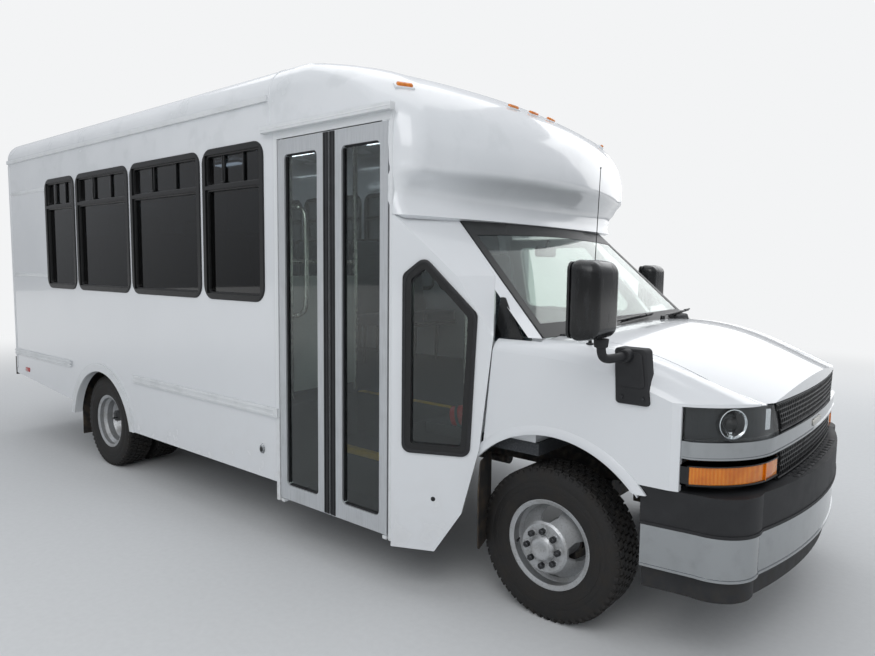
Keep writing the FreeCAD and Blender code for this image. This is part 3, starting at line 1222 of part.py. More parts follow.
def rear_axle():
    """Axle tube with its differential, propeller shaft, leaf springs and spindles."""
    reach = "dual_face_half - 30 - seat_gap"
    pieces = [rod("axle_tube", REAR_AXLE, "-1 * axle_tube_half", "tyre_radius", "y", "axle_tube_radius",
                  "2 * axle_tube_half"),
              rod("axle_spindle", REAR_AXLE, "-1 * (%s)" % reach, "tyre_radius", "y", "spindle_radius",
                  "2 * (%s)" % reach)]
    ball = DOC.addObject("Part::Sphere", "differential")
    bind(ball, Radius="differential_radius", place_x=REAR_AXLE, place_z="tyre_radius")
    pieces.append(ball)
    pieces.append(rod("propeller_shaft", REAR_AXLE, "0", "tyre_radius + 60", "x", "38",
                      "wheelbase - 830 - seat_gap"))
    for sign in (-1, 1):
        side = "left" if sign > 0 else "right"
        middle = "%d * spring_half" % sign
        corners = []
        for x, z in (("-1 * spring_length / 2", "spring_eye"), ("-1 * spring_length / 4", "spring_eye - 62"),
                     ("0", "tyre_radius + axle_tube_radius - 8"), ("spring_length / 4", "spring_eye - 62"),
                     ("spring_length / 2", "spring_eye"), ("spring_length / 2", "spring_eye + 22"),
                     ("spring_length / 4", "spring_eye - 20"), ("0", "spring_eye - 26"),
                     ("-1 * spring_length / 4", "spring_eye - 20"), ("-1 * spring_length / 2", "spring_eye + 22")):
            corners.append(("%s + %s" % (REAR_AXLE, x), z))
        pieces.append(prism("leaf_spring_" + side, "side", corners, "%s + spring_width / 2" % middle, "spring_width"))
        for end in (-1, 1):
            pieces.append(box("hanger_%s_%d" % (side, end > 0), "%s + %d * spring_length / 2 - 35" % (REAR_AXLE, end),
                              "%s - spring_width / 2" % middle, "spring_eye - 15", "70",
                              "spring_width", "rail_bottom + 60 - spring_eye"))
            inner = "rail_half + seat_gap" if sign > 0 else "%s + spring_width / 2 - 10" % middle
            pieces.append(box("hanger_arm_%s_%d" % (side, end > 0), "%s + %d * spring_length / 2 - 35" % (REAR_AXLE, end),
                              inner, "rail_bottom + 10", "70", "spring_half - spring_width / 2 + 10 - rail_half - seat_gap",
                              "35"))
    return node("rear_axle", fuse("rear_axle", pieces))


def front_suspension():
    """Cross member, two pairs of arms and the steering pins."""
    pieces = [box("front_beam", "%s - 70" % FRONT_AXLE, "-1 * rail_half", "rail_bottom - 130", "140",
                  "2 * rail_half", "68")]
    for sign in (-1, 1):
        side = "left" if sign > 0 else "right"
        for tag, low, span in (("low", "arm_low", "44"), ("high", "arm_high", "36")):
            inner = "rail_half - 130" if tag == "low" else "rail_half - 20"
            outer = "kingpin_half + 28"
            pieces.append(prism("arm_%s_%s" % (tag, side), "plan",
                                [("%s - 105" % FRONT_AXLE, "%d * (%s)" % (sign, inner)),
                                 ("%s + 105" % FRONT_AXLE, "%d * (%s)" % (sign, inner)),
                                 ("%s + 30" % FRONT_AXLE, "%d * (%s)" % (sign, outer)),
                                 ("%s - 30" % FRONT_AXLE, "%d * (%s)" % (sign, outer))], low, span))
        pieces.append(box("arm_post_high_" + side, "%s - 70" % FRONT_AXLE,
                          "rail_half - rail_width - seat_gap - 60" if sign > 0 else "seat_gap + rail_width - rail_half",
                          "rail_bottom - 100", "140", "60", "170"))
        pieces.append(box("arm_post_low_" + side, "%s - 70" % FRONT_AXLE,
                          "rail_half - 130" if sign > 0 else "30 - rail_half", "arm_low", "140", "100",
                          "rail_bottom - 20 - arm_low"))
        pieces.append(rod("kingpin_" + side, FRONT_AXLE, "%d * kingpin_half" % sign, "arm_low + 20", "z",
                          "kingpin_radius", "arm_high - arm_low"))
    return node("front_suspension", fuse("front_suspension", pieces))


def knuckle(label, sign):
    """Upright with the steering bore, the wheel spindle and the brake caliper."""
    low, high = "arm_low + 44 + seat_gap", "arm_high - seat_gap"
    upright = box(label + "_upright", "%s - 38" % FRONT_AXLE, "%d * kingpin_half - 30" % sign, low, "76", "60",
                  "%s - (%s)" % (high, low))
    bore = rod(label + "_bore", FRONT_AXLE, "%d * kingpin_half" % sign, "arm_low", "z",
               "kingpin_radius + seat_gap", "arm_high - arm_low + 60")
    reach = "front_track_half + 112 - seat_gap - kingpin_half"
    start = "kingpin_half" if sign > 0 else "-1 * (front_track_half + 112 - seat_gap)"
    spindle = rod(label + "_spindle", FRONT_AXLE, start, "tyre_radius", "y", "spindle_radius", reach)
    node(label, cut(label, fuse(label + "_body", [upright, spindle]), [bore]))


def rim_profile(flip):
    """Section of a dished wheel: rim, drop centre, cone and mounting face (radius, reach)."""
    s = "" if flip > 0 else "-1 * "
    half, wall = "rim_width / 2", "rim_wall"
    rows = (("flange_radius", half), ("flange_radius", "%s - %s" % (half, wall)),
            ("rim_radius", "%s - 13" % half), ("rim_radius", "34"), ("rim_radius - 18", "12"),
            ("rim_radius - 18", "-30"), ("rim_radius", "-52"), ("rim_radius", "13 - %s" % half),
            ("flange_radius", "%s - %s" % (wall, half)), ("flange_radius", "-%s" % half),
            ("flange_radius - 11", "-%s" % half), ("rim_radius - %s" % wall, "9 - %s" % half),
            ("rim_radius - %s" % wall, "-56"), ("rim_radius - 18 - %s" % wall, "-34"),
            ("rim_radius - 18 - %s" % wall, "12"), ("hub_radius + 52", "38"),
            ("hub_radius + 11", "disc_offset - 17"), ("hub_radius + 3", "disc_offset - %s" % wall),
            ("62", "disc_offset - %s" % wall), ("62", "disc_offset"), ("hub_radius + 6", "disc_offset"),
            ("hub_radius + 16", "disc_offset - 9"), ("hub_radius + 60", "44"),
            ("rim_radius - 25", "30"), ("rim_radius - %s" % wall, "44"),
            ("rim_radius - %s" % wall, "%s - 7" % half), ("flange_radius - 11", half))
    return [(radius, "%s(%s)" % (s, reach)) for radius, reach in rows]


def wheel_disc(name, x, middle, outward, flip):
    """A pressed wheel with four vent holes, its open side towards +flip."""
    body = turned(name, rim_profile(flip), x, middle, "tyre_radius", outward)
    near, far, long, short = "hub_radius + 14", "hub_radius + 14 + vent_depth", "vent_length / 2", "vent_length / 4"
    corners = [("%s + vent_depth / 3" % near, "-1 * %s" % long), ("%s - vent_depth / 4" % far, "-1 * %s" % long),
               (far, "-1 * %s" % short), (far, short), ("%s - vent_depth / 4" % far, long),
               ("%s + vent_depth / 3" % near, long), (near, short), (near, "-1 * %s" % short)]
    slot = outline_sketch(body, name + "_vent", "XY_Plane", corners)
    pocket = body.newObject("PartDesign::Pocket", name + "_pocket")
    pocket.Profile = slot
    pocket.Type = 0
    pocket.setExpression("Length", link("2 * disc_offset"))
    pocket.Midplane = True
    ring = body.newObject("PartDesign::PolarPattern", name + "_vents")
    ring.Originals = [pocket]
    ring.Axis = (slot, ["N_Axis"])
    ring.Angle = 360
    ring.Occurrences = int(size("vent_count"))
    body.Tip = ring
    return body


def hub(name, corners, x, middle, outward, nut_low, nut_high):
    """Hub with its cap and a ring of nuts."""
    body = turned(name, corners, x, middle, "tyre_radius", outward)
    spot = body.newObject("PartDesign::AdditiveCylinder", name + "_nut")
    spot.setExpression("Radius", link("nut_radius"))
    spot.setExpression("Height", link("(%s) - (%s)" % (nut_high, nut_low)))
    spot.AttachmentSupport = [(origin_plane(body, "XY_Plane"), "")]
    spot.MapMode = "FlatFace"
    spot.setExpression(".AttachmentOffset.Base.x", link("bolt_circle / 2"))
    spot.setExpression(".AttachmentOffset.Base.z", link(nut_low))
    ring = body.newObject("PartDesign::PolarPattern", name + "_nuts")
    ring.Originals = [spot]
    ring.Axis = (origin_plane(body, "Z_Axis"), [""])
    ring.Angle = 360
    ring.Occurrences = int(size("nut_count"))
    body.Tip = ring
    return body


# Outside of a tyre from one bead to the other: radius and reach from its middle.
TYRE_PROFILE = (("flange_radius + 9", "-86"),
                ("rim_radius + 84", "-1 * tyre_width / 2"), ("tyre_radius - 24", "6 - tyre_width / 2"),
                ("tyre_radius", "-1 * tread_width / 2"), ("tyre_radius", "tread_width / 2"),
                ("tyre_radius - 24", "tyre_width / 2 - 6"), ("rim_radius + 84", "tyre_width / 2"),
                ("flange_radius + 9", "86"))
# The same for its bore, which opens out at the beads.
BORE_PROFILE = (("rim_radius + 41", "-90"), ("rim_radius + seat_gap", "-80"),
                ("rim_radius + seat_gap", "80"), ("rim_radius + 41", "90"))


def ring_wire(radius, x, y, z):
    """A regular many-sided wire about an axis along y, with one side flat on the ground."""
    sides = int(size("tyre_sides"))
    corners = []
    for number in range(sides + 1):
        angle = 2 * math.pi * (number + 0.5) / sides
        corners.append(Vector(x + radius * math.sin(angle), y, z + radius * math.cos(angle)))
    return Part.makePolygon(corners)


def tyre(name, x, middle):
    """A tyre with flat sides round its tread, bored for its rim."""
    x, middle, z = size(x), size(middle), size("tyre_radius")
    flats = math.cos(math.pi / size("tyre_sides"))
    body = Part.makeLoft([ring_wire(size(radius) / (flats if radius == "tyre_radius" else 1), x,
                                    middle + size(reach), z) for radius, reach in TYRE_PROFILE], True, True)
    hole = Part.makeLoft([ring_wire(size(radius) / flats, x, middle + size(reach), z)
                          for radius, reach in BORE_PROFILE], True, True)
    return free_form(name, body.cut(hole))


def front_wheels():
    """Steered wheels whose discs dish outwards."""
    for sign in (-1, 1):
        side = "left" if sign > 0 else "right"
        middle = "%d * front_track_half" % sign
        disc = wheel_disc("front_disc_" + side, FRONT_AXLE, middle, sign, 1)
        profile = (("spindle_radius + seat_gap", "-60"), ("hub_radius - 18", "-60"),
                   ("hub_radius - 18", "disc_offset - rim_wall"), ("62", "disc_offset - rim_wall"),
                   ("62", "disc_offset + 14"), ("48", "disc_offset + 30"), ("0", "disc_offset + 30"),
                   ("0", "112"), ("spindle_radius + seat_gap", "112"))
        core = hub("front_hub_" + side, profile, FRONT_AXLE, middle, sign, "disc_offset - 4", "disc_offset + 22")
        node("rim_front_" + side, fuse("rim_front_" + side, [disc, core]))
        node("tyre_front_" + side, tyre("tyre_front_" + side, FRONT_AXLE, middle))


def rear_wheels():
    """Twin wheels: two discs back to back on one hub."""
    for sign in (-1, 1):
        side = "left" if sign > 0 else "right"
        outer, inner = "%d * (dual_face_half + disc_offset)" % sign, "%d * (dual_face_half - disc_offset)" % sign
        discs = [wheel_disc("rear_disc_out_" + side, REAR_AXLE, outer, sign, -1),
                 wheel_disc("rear_disc_in_" + side, REAR_AXLE, inner, sign, 1)]
        profile = (("spindle_radius + seat_gap", "-190"), ("hub_radius - 18", "-190"),
                   ("hub_radius - 18", "-1 * rim_wall"), ("62", "-1 * rim_wall"), ("62", "84"), ("50", "100"),
                   ("0", "100"), ("0", "-30"), ("spindle_radius + seat_gap", "-30"))
        core = hub("rear_hub_" + side, profile, REAR_AXLE, "%d * dual_face_half" % sign, sign, "rim_wall - 2",
                   "rim_wall + 22")
        node("rim_rear_" + side, fuse("rim_rear_" + side, discs + [core]))
        tyres = [tyre("tyre_out_" + side, REAR_AXLE, outer), tyre("tyre_in_" + side, REAR_AXLE, inner)]
        node("tyres_rear_" + side, group("tyres_rear_" + side, tyres))


def rear_door():
    """The rear door with its pane, its handle and its hinge barrels."""
    x = "%s" % REAR_FACE
    gap = "rear_door_gap"
    low_y, high_y = "%s - rear_door_half" % gap, "rear_door_half - %s" % gap
    leaf = box("rear_door_leaf", x, low_y, "rear_door_bottom + %s" % gap, "rear_door_thick",
               "2 * rear_door_half - 2 * %s" % gap, "rear_door_top - rear_door_bottom - 2 * %s" % gap)
    window = [("130 - rear_door_half", "rear_window_low"), ("rear_door_half - 130", "rear_window_low"),
              ("rear_door_half - 130", "rear_window_high"), ("130 - rear_door_half", "rear_window_high")]
    hole = prism("rear_door_hole", "front", window, "%s - 1" % x, "rear_door_thick + 2", "window_corner / 2")
    pieces = [leaf]
    bores = []
    for number, height in enumerate(REAR_HINGES):
        pieces.append(rod("rear_barrel_%d" % number, "%s - hinge_radius" % x, "-1 * rear_door_half", height, "z",
                          "hinge_radius", "hinge_length"))
        pieces.append(box("rear_barrel_leaf_%d" % number, "%s - hinge_radius" % x, "-1 * rear_door_half", height,
                          "hinge_radius + 2", "40", "hinge_length"))
        bores.append(rod("rear_bore_%d" % number, "%s - hinge_radius" % x, "-1 * rear_door_half",
                         "%s - 30" % height, "z", "hinge_radius / 2 + seat_gap", "hinge_length + 60"))
    node("rear_door", cut("rear_door", fuse("rear_door_body", pieces), [hole] + bores))
    pane = prism("rear_door_glass", "front",
                 [("130 - rear_door_half + seat_gap", "rear_window_low + seat_gap"),
                  ("rear_door_half - 130 - seat_gap", "rear_window_low + seat_gap"),
                  ("rear_door_half - 130 - seat_gap", "rear_window_high - seat_gap"),
                  ("130 - rear_door_half + seat_gap", "rear_window_high - seat_gap")],
                 "%s + rear_door_thick / 2" % x, "glass_thick", "window_corner / 2 - seat_gap")
    node("rear_door_glass", pane)


def rear_bumper():
    """Folded steel bumper on the ends of the rails."""
    half = "(%s - 20)" % SIDE
    face = box("rear_bumper_face", "%s - rear_bumper_reach" % REAR_FACE, "-1 * %s" % half, "rear_bumper_low",
               "8", "2 * %s" % half, "rear_bumper_height")
    top = box("rear_bumper_top", "%s - rear_bumper_reach" % REAR_FACE, "-1 * %s" % half,
              "rear_bumper_low + rear_bumper_height - 8", "rear_bumper_reach - seat_gap", "2 * %s" % half, "8")
    arms = []
    for sign in (-1, 1):
        low = "seat_gap + rail_width - rail_half" if sign < 0 else "rail_half - rail_width - seat_gap - bumper_arm"
        arms.append(box("rear_bumper_arm_%d" % (sign > 0), "%s - rear_bumper_reach + 4" % REAR_FACE, low,
                        "rear_bumper_low", "rear_bumper_reach + wall_thick + 55 + seat_gap", "bumper_arm",
                        "rail_bottom - seat_gap - rear_bumper_low"))
        arms.append(box("rear_bumper_riser_%d" % (sign > 0), "%s + wall_thick + seat_gap" % REAR_FACE, low,
                        "rear_bumper_low", "59", "bumper_arm", "170"))
    return node("rear_bumper", fuse("rear_bumper", [face, top] + arms))


def mirrors():
    """A mirror on the right fender and one on the driver's door, each on its arm."""
    axle = FRONT_AXLE
    for side, sign, x, height, foot in (
            ("right", -1, "%s + mirror_lead" % axle, "mirror_height", "mirror_foot_half"),
            ("left", 1, "%s - mirror_left_back" % axle, "mirror_left_height", "cab_half + seat_gap")):
        low = "%d * mirror_half - mirror_width / 2" % sign
        level = "%s - mirror_tall / 2 - mirror_drop" % height
        head = prism("mirror_head_" + side, "plan",
                     [("%s - mirror_depth / 2" % x, low), ("%s + mirror_depth / 2" % x, low),
                      ("%s + mirror_depth / 2" % x, "%s + mirror_width" % low),
                      ("%s - mirror_depth / 2" % x, "%s + mirror_width" % low)],
                     "%s - mirror_tall / 2" % height, "mirror_tall", "34")
        knee = rod("mirror_knee_" + side, x, "%d * mirror_half" % sign, "%s - 22" % level, "z", "22",
                   "mirror_drop + 24")
        start = foot if sign > 0 else "-1 * mirror_half"
        arm = rod("mirror_arm_" + side, x, start, level, "y", "18", "mirror_half - (%s)" % foot)
        pieces = [head, knee, arm]
        if sign > 0:
            plate = [("%s - 60" % x, "%s - 70" % level), ("%s + 60" % x, "%s - 70" % level),
                     ("%s + 42" % x, "%s + 28" % level), ("%s - 42" % x, "%s + 28" % level)]
            pieces.append(prism("mirror_foot_" + side, "side", plate, "(%s) + 34" % foot, "34"))
            node("mirror_" + side, fuse("mirror_" + side, pieces))
        else:
            plate = [("%s - 66" % x, "mirror_foot_low"), ("%s + 100" % x, "mirror_foot_low"),
                     ("%s + 60" % x, "%s + 20" % level), ("%s - 30" % x, "%s + 20" % level)]
            pieces.append(prism("mirror_foot_" + side, "side", plate, "100 - (%s)" % foot, "160"))
            whole = fuse("mirror_set_" + side, pieces)
            DOC.recompute()
            shape = whole.Shape.cut(clip_solid(-1 * size("seat_gap")))
            shape = max(shape.Solids, key=lambda part: part.Volume)
            node("mirror_" + side, free_form("mirror_" + side, shape))


def cab_interior():
    """Dashboard, steering column, driver's seat and the cover over the gearbox."""
    x = FRONT_AXLE
    dash = prism("dash_block", "side",
                 [("%s - 120" % x, "1020"), ("%s - 120" % x, "1285"), ("%s - 190" % x, "1300"),
                  ("%s - 390" % x, "1262"), ("%s - 430" % x, "1190"), ("%s - 360" % x, "1020")],
                 "dash_half", "2 * dash_half")
    stub = box("dash_stub", "%s - 250" % x, "-1 * 120", "floor_top", "110", "240", "1020 - floor_top")
    panel = fuse("dashboard_body", [dash, stub])
    half = "steering_grip * 0.414"
    grip = (("steering_radius - steering_grip", "-1 * %s" % half), ("steering_radius - %s" % half, "-1 * steering_grip"),
            ("steering_radius + %s" % half, "-1 * steering_grip"), ("steering_radius + steering_grip", "-1 * %s" % half),
            ("steering_radius + steering_grip", half), ("steering_radius + %s" % half, "steering_grip"),
            ("steering_radius - %s" % half, "steering_grip"), ("steering_radius - steering_grip", half))
    wheel = turned("steering_rim", grip, "0", "0", "0", 1)
    wheel.Placement = Placement()
    boss = DOC.addObject("Part::Cylinder", "steering_boss")
    bind(boss, Radius="42", Height="46", place_z="-40")
    bars = []
    for number, angle in enumerate((90, 210, 330)):
        bar = DOC.addObject("Part::Box", "steering_bar_%d" % number)
        bind(bar, Length="steering_radius", Width="34", Height="14", place_z="-12")
        bar.Placement = Placement(Vector(17 * math.sin(math.radians(angle)), -17 * math.cos(math.radians(angle)), -12),
                                  Rotation(Vector(0, 0, 1), angle))
        bars.append(bar)
    wheel_body = fuse("steering_wheel", [wheel, boss] + bars)
    tilt = Rotation(Vector(0, 1, 0), -90 + size("column_angle"))
    wheel_body.Placement = Placement(Vector(), tilt)
    bind(wheel_body, place_x="%s - steering_back" % x, place_y="driver_half", place_z="steering_height")
    node("steering_wheel", wheel_body)
    column = DOC.addObject("Part::Cylinder", "steering_column")
    turn = math.radians(size("column_angle"))
    start = 40 + size("seat_gap")
    bind(column, Radius="30", Height="column_length")
    down = Vector(math.cos(turn), 0, -math.sin(turn))
    column.Placement = Placement(Vector(size("%s - steering_back" % x) + start * down.x, size("driver_half"),
                                        size("steering_height") + start * down.z),
                                 Rotation(Vector(0, 0, 1), down))
    node("dashboard", fuse("dashboard", [panel, column]))
    seat_x = "%s - driver_seat_back" % x
    pieces = [box("driver_base", "%s + 60" % seat_x, "driver_half - 180", "floor_top", "340", "360", "190"),
              box("driver_cushion", seat_x, "driver_half - 250", "floor_top + 190", "500", "500", "130"),
              prism("driver_back", "side",
                    [(seat_x, "floor_top + 250"), ("%s + 120" % seat_x, "floor_top + 320"),
                     ("%s - 40" % seat_x, "floor_top + 900"), ("%s - 140" % seat_x, "floor_top + 890")],
                    "driver_half + 235", "470", "20")]
    return fuse("driver_seat", pieces)


def seats(driver_seat):
    """The driver's seat and double seats in rows on both sides of the aisle."""
    kept = [driver_seat]
    for row in range(int(size("seat_rows"))):
        for sign in (-1, 1):
            x = "%s + first_row + %d * seat_pitch" % (REAR_FACE, row)
            tag = "%d_%s" % (row, "left" if sign > 0 else "right")
            wall = "(%s - wall_thick - 18)" % SIDE
            low = "%s - seat_width" % wall if sign > 0 else "-1 * %s" % wall
            cushion = box("cushion_" + tag, x, low, "floor_top + 330", "440", "seat_width", "110")
            back = prism("back_" + tag, "side",
                         [(x, "floor_top + 360"), ("%s + 90" % x, "floor_top + 430"),
                          ("%s - 50" % x, "floor_top + 1060"), ("%s - 130" % x, "floor_top + 1050")],
                         "%s + seat_width" % low, "seat_width")
            legs = [box("leg_%s_%d" % (tag, number), "%s + 150" % x, "%s + %s" % (low, shift), "floor_top", "60", "40",
                        "332") for number, shift in enumerate(("60", "seat_width - 120"))]
            kept.append(fuse("seat_" + tag, [cushion, back] + legs))
    node("seats", group("seats", kept))


def grab_rails():
    """Stanchions and low panels beside the steps."""
    rear = "%s - door_rear_back - 60" % FRONT_AXLE
    inner = "-1 * %s + step_depth + 30" % SIDE
    pieces = []
    for number, (x, y, top) in enumerate(((rear, inner, "stanchion_rear"),
                                          (rear, "-1 * %s + wall_thick + 90" % SIDE, "stanchion_wall"),
                                          ("%s - door_front_back - 20" % FRONT_AXLE, inner, "stanchion_front"))):
        pieces.append(rod("stanchion_%d" % number, x, y, "floor_top", "z", "rail_tube", "%s - floor_top" % top))
    pieces.append(box("modesty_panel", "%s - 8" % rear, "-1 * %s + wall_thick + 90" % SIDE, "floor_top + 60", "16",
                      "step_depth - 60 - wall_thick", "modesty_height"))
    pieces.append(rod("cross_rail", rear, "-1 * %s + wall_thick + 90" % SIDE, "floor_top + 60 + modesty_height + 90",
                      "y", "rail_tube - 3", "step_depth - 60 - wall_thick"))
    node("grab_rails", fuse("grab_rails", pieces))


def mouldings():
    """Rub rails, gutter rails, wheel opening flares and the drip rail over the door."""
    kept = []
    arch_x = "%s + rear_arch_lead" % REAR_AXLE
    for sign in (-1, 1):
        side = "left" if sign > 0 else "right"
        front = "%s - door_rear_back - jamb_width - 24" % FRONT_AXLE if sign < 0 else \
                "%s - left_wall_back - 24" % FRONT_AXLE
        out = SIDE if sign > 0 else "-1 * %s - rub_rail_depth" % SIDE
        ring_reach = "(rear_arch_radius + flare_width)"
        kept.append(box("rub_front_" + side, "%s + %s" % (arch_x, ring_reach), out, "rub_rail_height - 28",
                        "%s - %s - %s" % (front, arch_x, ring_reach), "rub_rail_depth", "56"))
        kept.append(box("rub_rear_" + side, "%s + 20" % REAR_FACE, out, "rub_rail_height - 28",
                        "%s - %s - %s - 20" % (arch_x, ring_reach, REAR_FACE), "rub_rail_depth", "56"))
        kept.append(box("gutter_" + side, REAR_FACE, out, "wall_top - 16", "%s - %s" % (SEAM, REAR_FACE),
                        "rub_rail_depth", "32"))
        ring = rod("flare_disc_" + side, arch_x, out, "rear_arch_height", "y", ring_reach, "rub_rail_depth")
        bore = rod("flare_bore_" + side, arch_x, "%s - 1" % out, "rear_arch_height", "y", "rear_arch_radius",
                   "rub_rail_depth + 2")
        floor_cut = box("flare_floor_" + side, "%s - 800" % arch_x, "%s - 1" % out, "-400", "1600",
                        "rub_rail_depth + 2", "skirt_height + 400")
        kept.append(cut("flare_" + side, ring, [bore, floor_cut]))
    kept.append(box("drip_rail", "%s - door_rear_back - jamb_width - 78" % FRONT_AXLE, "-1 * %s - drip_reach" % SIDE,
                    "header_height + seat_gap",
                    "door_rear_back + jamb_width + 78 - panel_back + 14", "drip_reach", "34"))
    node("body_mouldings", group("body_mouldings", kept))


def lamps(signals):
    """Turn signals with the cap's marker lamps, and the tail lamps."""
    nose = FRONT_AXLE
    markers = []
    for number, half in enumerate(("-218", "0", "218")):
        markers.append(box("marker_%d" % number, "%s - marker_back - 10" % nose, "%s - 42" % half, "marker_height - 12",
                           "90", "84", "24"))
    for sign in (-1, 1):
        markers.append(box("marker_side_%d" % (sign > 0), "%s - 840" % nose, "%d * 1112 - 34" % sign, "2552", "90",
                           "68", "26"))
    DOC.recompute()
    cap = DOC.getObject("front_cap").Shape
    kept = []
    for marker in markers:
        part = marker.Shape.cut(cap)
        if part.Solids:
            kept.append(max(part.Solids, key=lambda solid: solid.BoundBox.XMax))
    for marker in markers:
        DOC.removeObject(marker.Name)
    node("amber_lamps", free_form("amber_lamps", Part.makeCompound(kept + signals)))
    tails = []
    for sign in (-1, 1):
        for number, (low, high) in enumerate((("tail_low", "tail_low + 300"), ("tail_low + 340", "tail_low + 440"),
                                              ("wall_top - 130", "wall_top - 90"))):
            tails.append(box("tail_%d_%d" % (number, sign > 0), "%s - 28" % REAR_FACE, "%d * 1080 - 60" % sign, low,
                             "28 - seat_gap", "120", "%s - (%s)" % (high, low)))
    node("tail_lamps", group("tail_lamps", tails))


def mud_flaps():
    """Rubber flaps behind the wheels."""
    kept = []
    for sign in (-1, 1):
        kept.append(box("flap_rear_%d" % (sign > 0), "%s - 480" % REAR_AXLE,
                        "dual_face_half - 240" if sign > 0 else "-1 * %s + wall_thick + 6" % SIDE,
                        "flap_bottom", "10", "%s - wall_thick - 6 - dual_face_half + 240" % SIDE,
                        "floor_top - floor_thick - seat_gap - flap_bottom"))
    node("mud_flaps", group("mud_flaps", kept))


def fuel_and_exhaust():
    """Fuel tank hung from the rails, and the exhaust pipe with its silencer."""
    tank = prism("tank_block", "front",
                 [("rail_half + seat_gap", "400"), ("rail_half + 480", "400"), ("rail_half + 520", "440"),
                  ("rail_half + 520", "rail_bottom + 60"), ("rail_half + seat_gap", "rail_bottom + 60")],
                 "%s + 900" % REAR_AXLE, "1100")
    node("fuel_tank", tank)
    pipe = [rod("silencer", "%s + 900" % REAR_AXLE, "-1 * rail_half - 130", "rail_bottom - 60", "x", "105", "700"),
            rod("front_pipe", "%s + 1600" % REAR_AXLE, "-1 * rail_half - 130", "rail_bottom - 60", "x", "32", "770"),
            rod("tail_pipe", "%s + 960" % REAR_AXLE, "-1 * rail_half - 640", "rail_bottom - 60", "y", "32", "500")]
    for number, place in enumerate(("1000", "1500")):
        pipe.append(box("exhaust_strap_%d" % number, "%s + %s" % (REAR_AXLE, place), "-1 * rail_half - 150",
                        "rail_bottom - 30", "30", "150 - seat_gap", "60"))
    node("exhaust", fuse("exhaust", pipe))


def build():
    """Make every sub-part in the order that they are fitted."""
    chassis()
    engine()
    rear_axle()
    front_suspension()
    fuel_and_exhaust()
    floor()
    entry_steps()
    side_walls()
    rear_frames, rear_panes, rear_openings = rear_windows()
    rear_wall(rear_openings)
    rear_roof()
    front_cap()
    front_panel()
    quarter_ring, quarter_pane = quarter_window()
    windscreen()
    cab_frame()
    front_body()
    signals = fascia()
    front_bumper()
    cab_fairing()
    door_frame()
    side_window_frames(rear_frames + [quarter_ring], rear_panes + [quarter_pane])
    entry_leaf("entry_door_rear", "%s - door_rear_back + door_clear" % FRONT_AXLE, 1, "leaf_length")
    entry_leaf("entry_door_front", "%s - door_front_back - door_clear" % FRONT_AXLE, -1, "leaf_length")
    driver_door()
    rear_door()
    rear_bumper()
    mirrors()
    seats(cab_interior())
    grab_rails()
    mouldings()
    lamps(signals)
    mud_flaps()
    for side, sign in (("right", -1), ("left", 1)):
        knuckle("knuckle_" + side, sign)
    front_wheels()
    rear_wheels()
    DOC.recompute()


def export():
    """Check every object and write one file for each sub-part."""
    for item in DOC.Objects:
        if any(word in item.State for word in ("Invalid", "Error")):
            raise RuntimeError("%s did not build: %s" % (item.Label, item.State))
    os.makedirs("parts", exist_ok=True)
    for piece in NODES:
        shape = piece.Shape
        if shape.isNull() or not shape.isValid() or not shape.Solids:
            raise RuntimeError("%s has no valid solid" % piece.Label)
        shape.exportStep("parts/%s.step" % piece.Label)
        box_ = shape.BoundBox
        print("%-22s solids %2d  volume %8.1f l  x %7.0f %7.0f  y %6.0f %6.0f  z %5.0f %5.0f"
              % (piece.Label, len(shape.Solids), shape.Volume / 1e6, box_.XMin, box_.XMax, box_.YMin, box_.YMax,
                 box_.ZMin, box_.ZMax))


build()
export()
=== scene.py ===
"""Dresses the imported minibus: finishes, fine pieces, floor, light and camera.

Metres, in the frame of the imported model: +X forward, +Y to the vehicle's left, +Z up,
the ground at zero. The entry door is on the right side, at -Y.
"""

import logging
import math
from dataclasses import dataclass
from enum import Enum
from typing import Iterable, Sequence

import bmesh
import bpy
from mathutils import Matrix, Vector


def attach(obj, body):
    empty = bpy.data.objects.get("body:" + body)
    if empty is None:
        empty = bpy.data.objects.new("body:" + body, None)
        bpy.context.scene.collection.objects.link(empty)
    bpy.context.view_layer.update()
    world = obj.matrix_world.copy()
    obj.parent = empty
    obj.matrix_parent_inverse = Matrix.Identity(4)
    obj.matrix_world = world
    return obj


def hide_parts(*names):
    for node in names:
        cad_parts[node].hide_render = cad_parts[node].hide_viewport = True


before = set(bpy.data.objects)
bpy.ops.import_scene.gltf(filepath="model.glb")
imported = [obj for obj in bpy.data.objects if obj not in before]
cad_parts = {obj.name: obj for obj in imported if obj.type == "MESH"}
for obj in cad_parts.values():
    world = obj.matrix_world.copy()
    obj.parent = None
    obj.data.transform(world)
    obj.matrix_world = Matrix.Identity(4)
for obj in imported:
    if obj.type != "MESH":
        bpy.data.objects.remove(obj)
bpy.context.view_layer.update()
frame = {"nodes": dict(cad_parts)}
LOG = logging.getLogger("minibus")

Spot = tuple[float, float, float]
Outline = Sequence[tuple[float, float]]
STILL = Matrix.Identity(4)


@dataclass(frozen=True)
class Layout:
    """Places of the vehicle that most pieces are measured from.

    seam is where the cap ends, tyre a tyre's radius, on_floor just over the cabin floor and
    driver the middle of the driver's seat. Side panes ahead of clear_panes are lightly tinted.
    """

    front_axle: float = 2.485
    rear_axle: float = -1.554
    side: float = 1.219
    rear_face: float = -3.382
    seam: float = 0.75
    tyre: float = 0.372
    on_floor: float = 0.8505
    driver: float = 0.48
    clear_panes: float = 1.70


AT = Layout()


class Pattern(Enum):
    """The ways in which a finish varies over a surface."""

    CLOUDS = "soft patches"
    SPECKS = "fine grain"
    CELLS = "rounded cells"
    BANDS = "parallel bands"


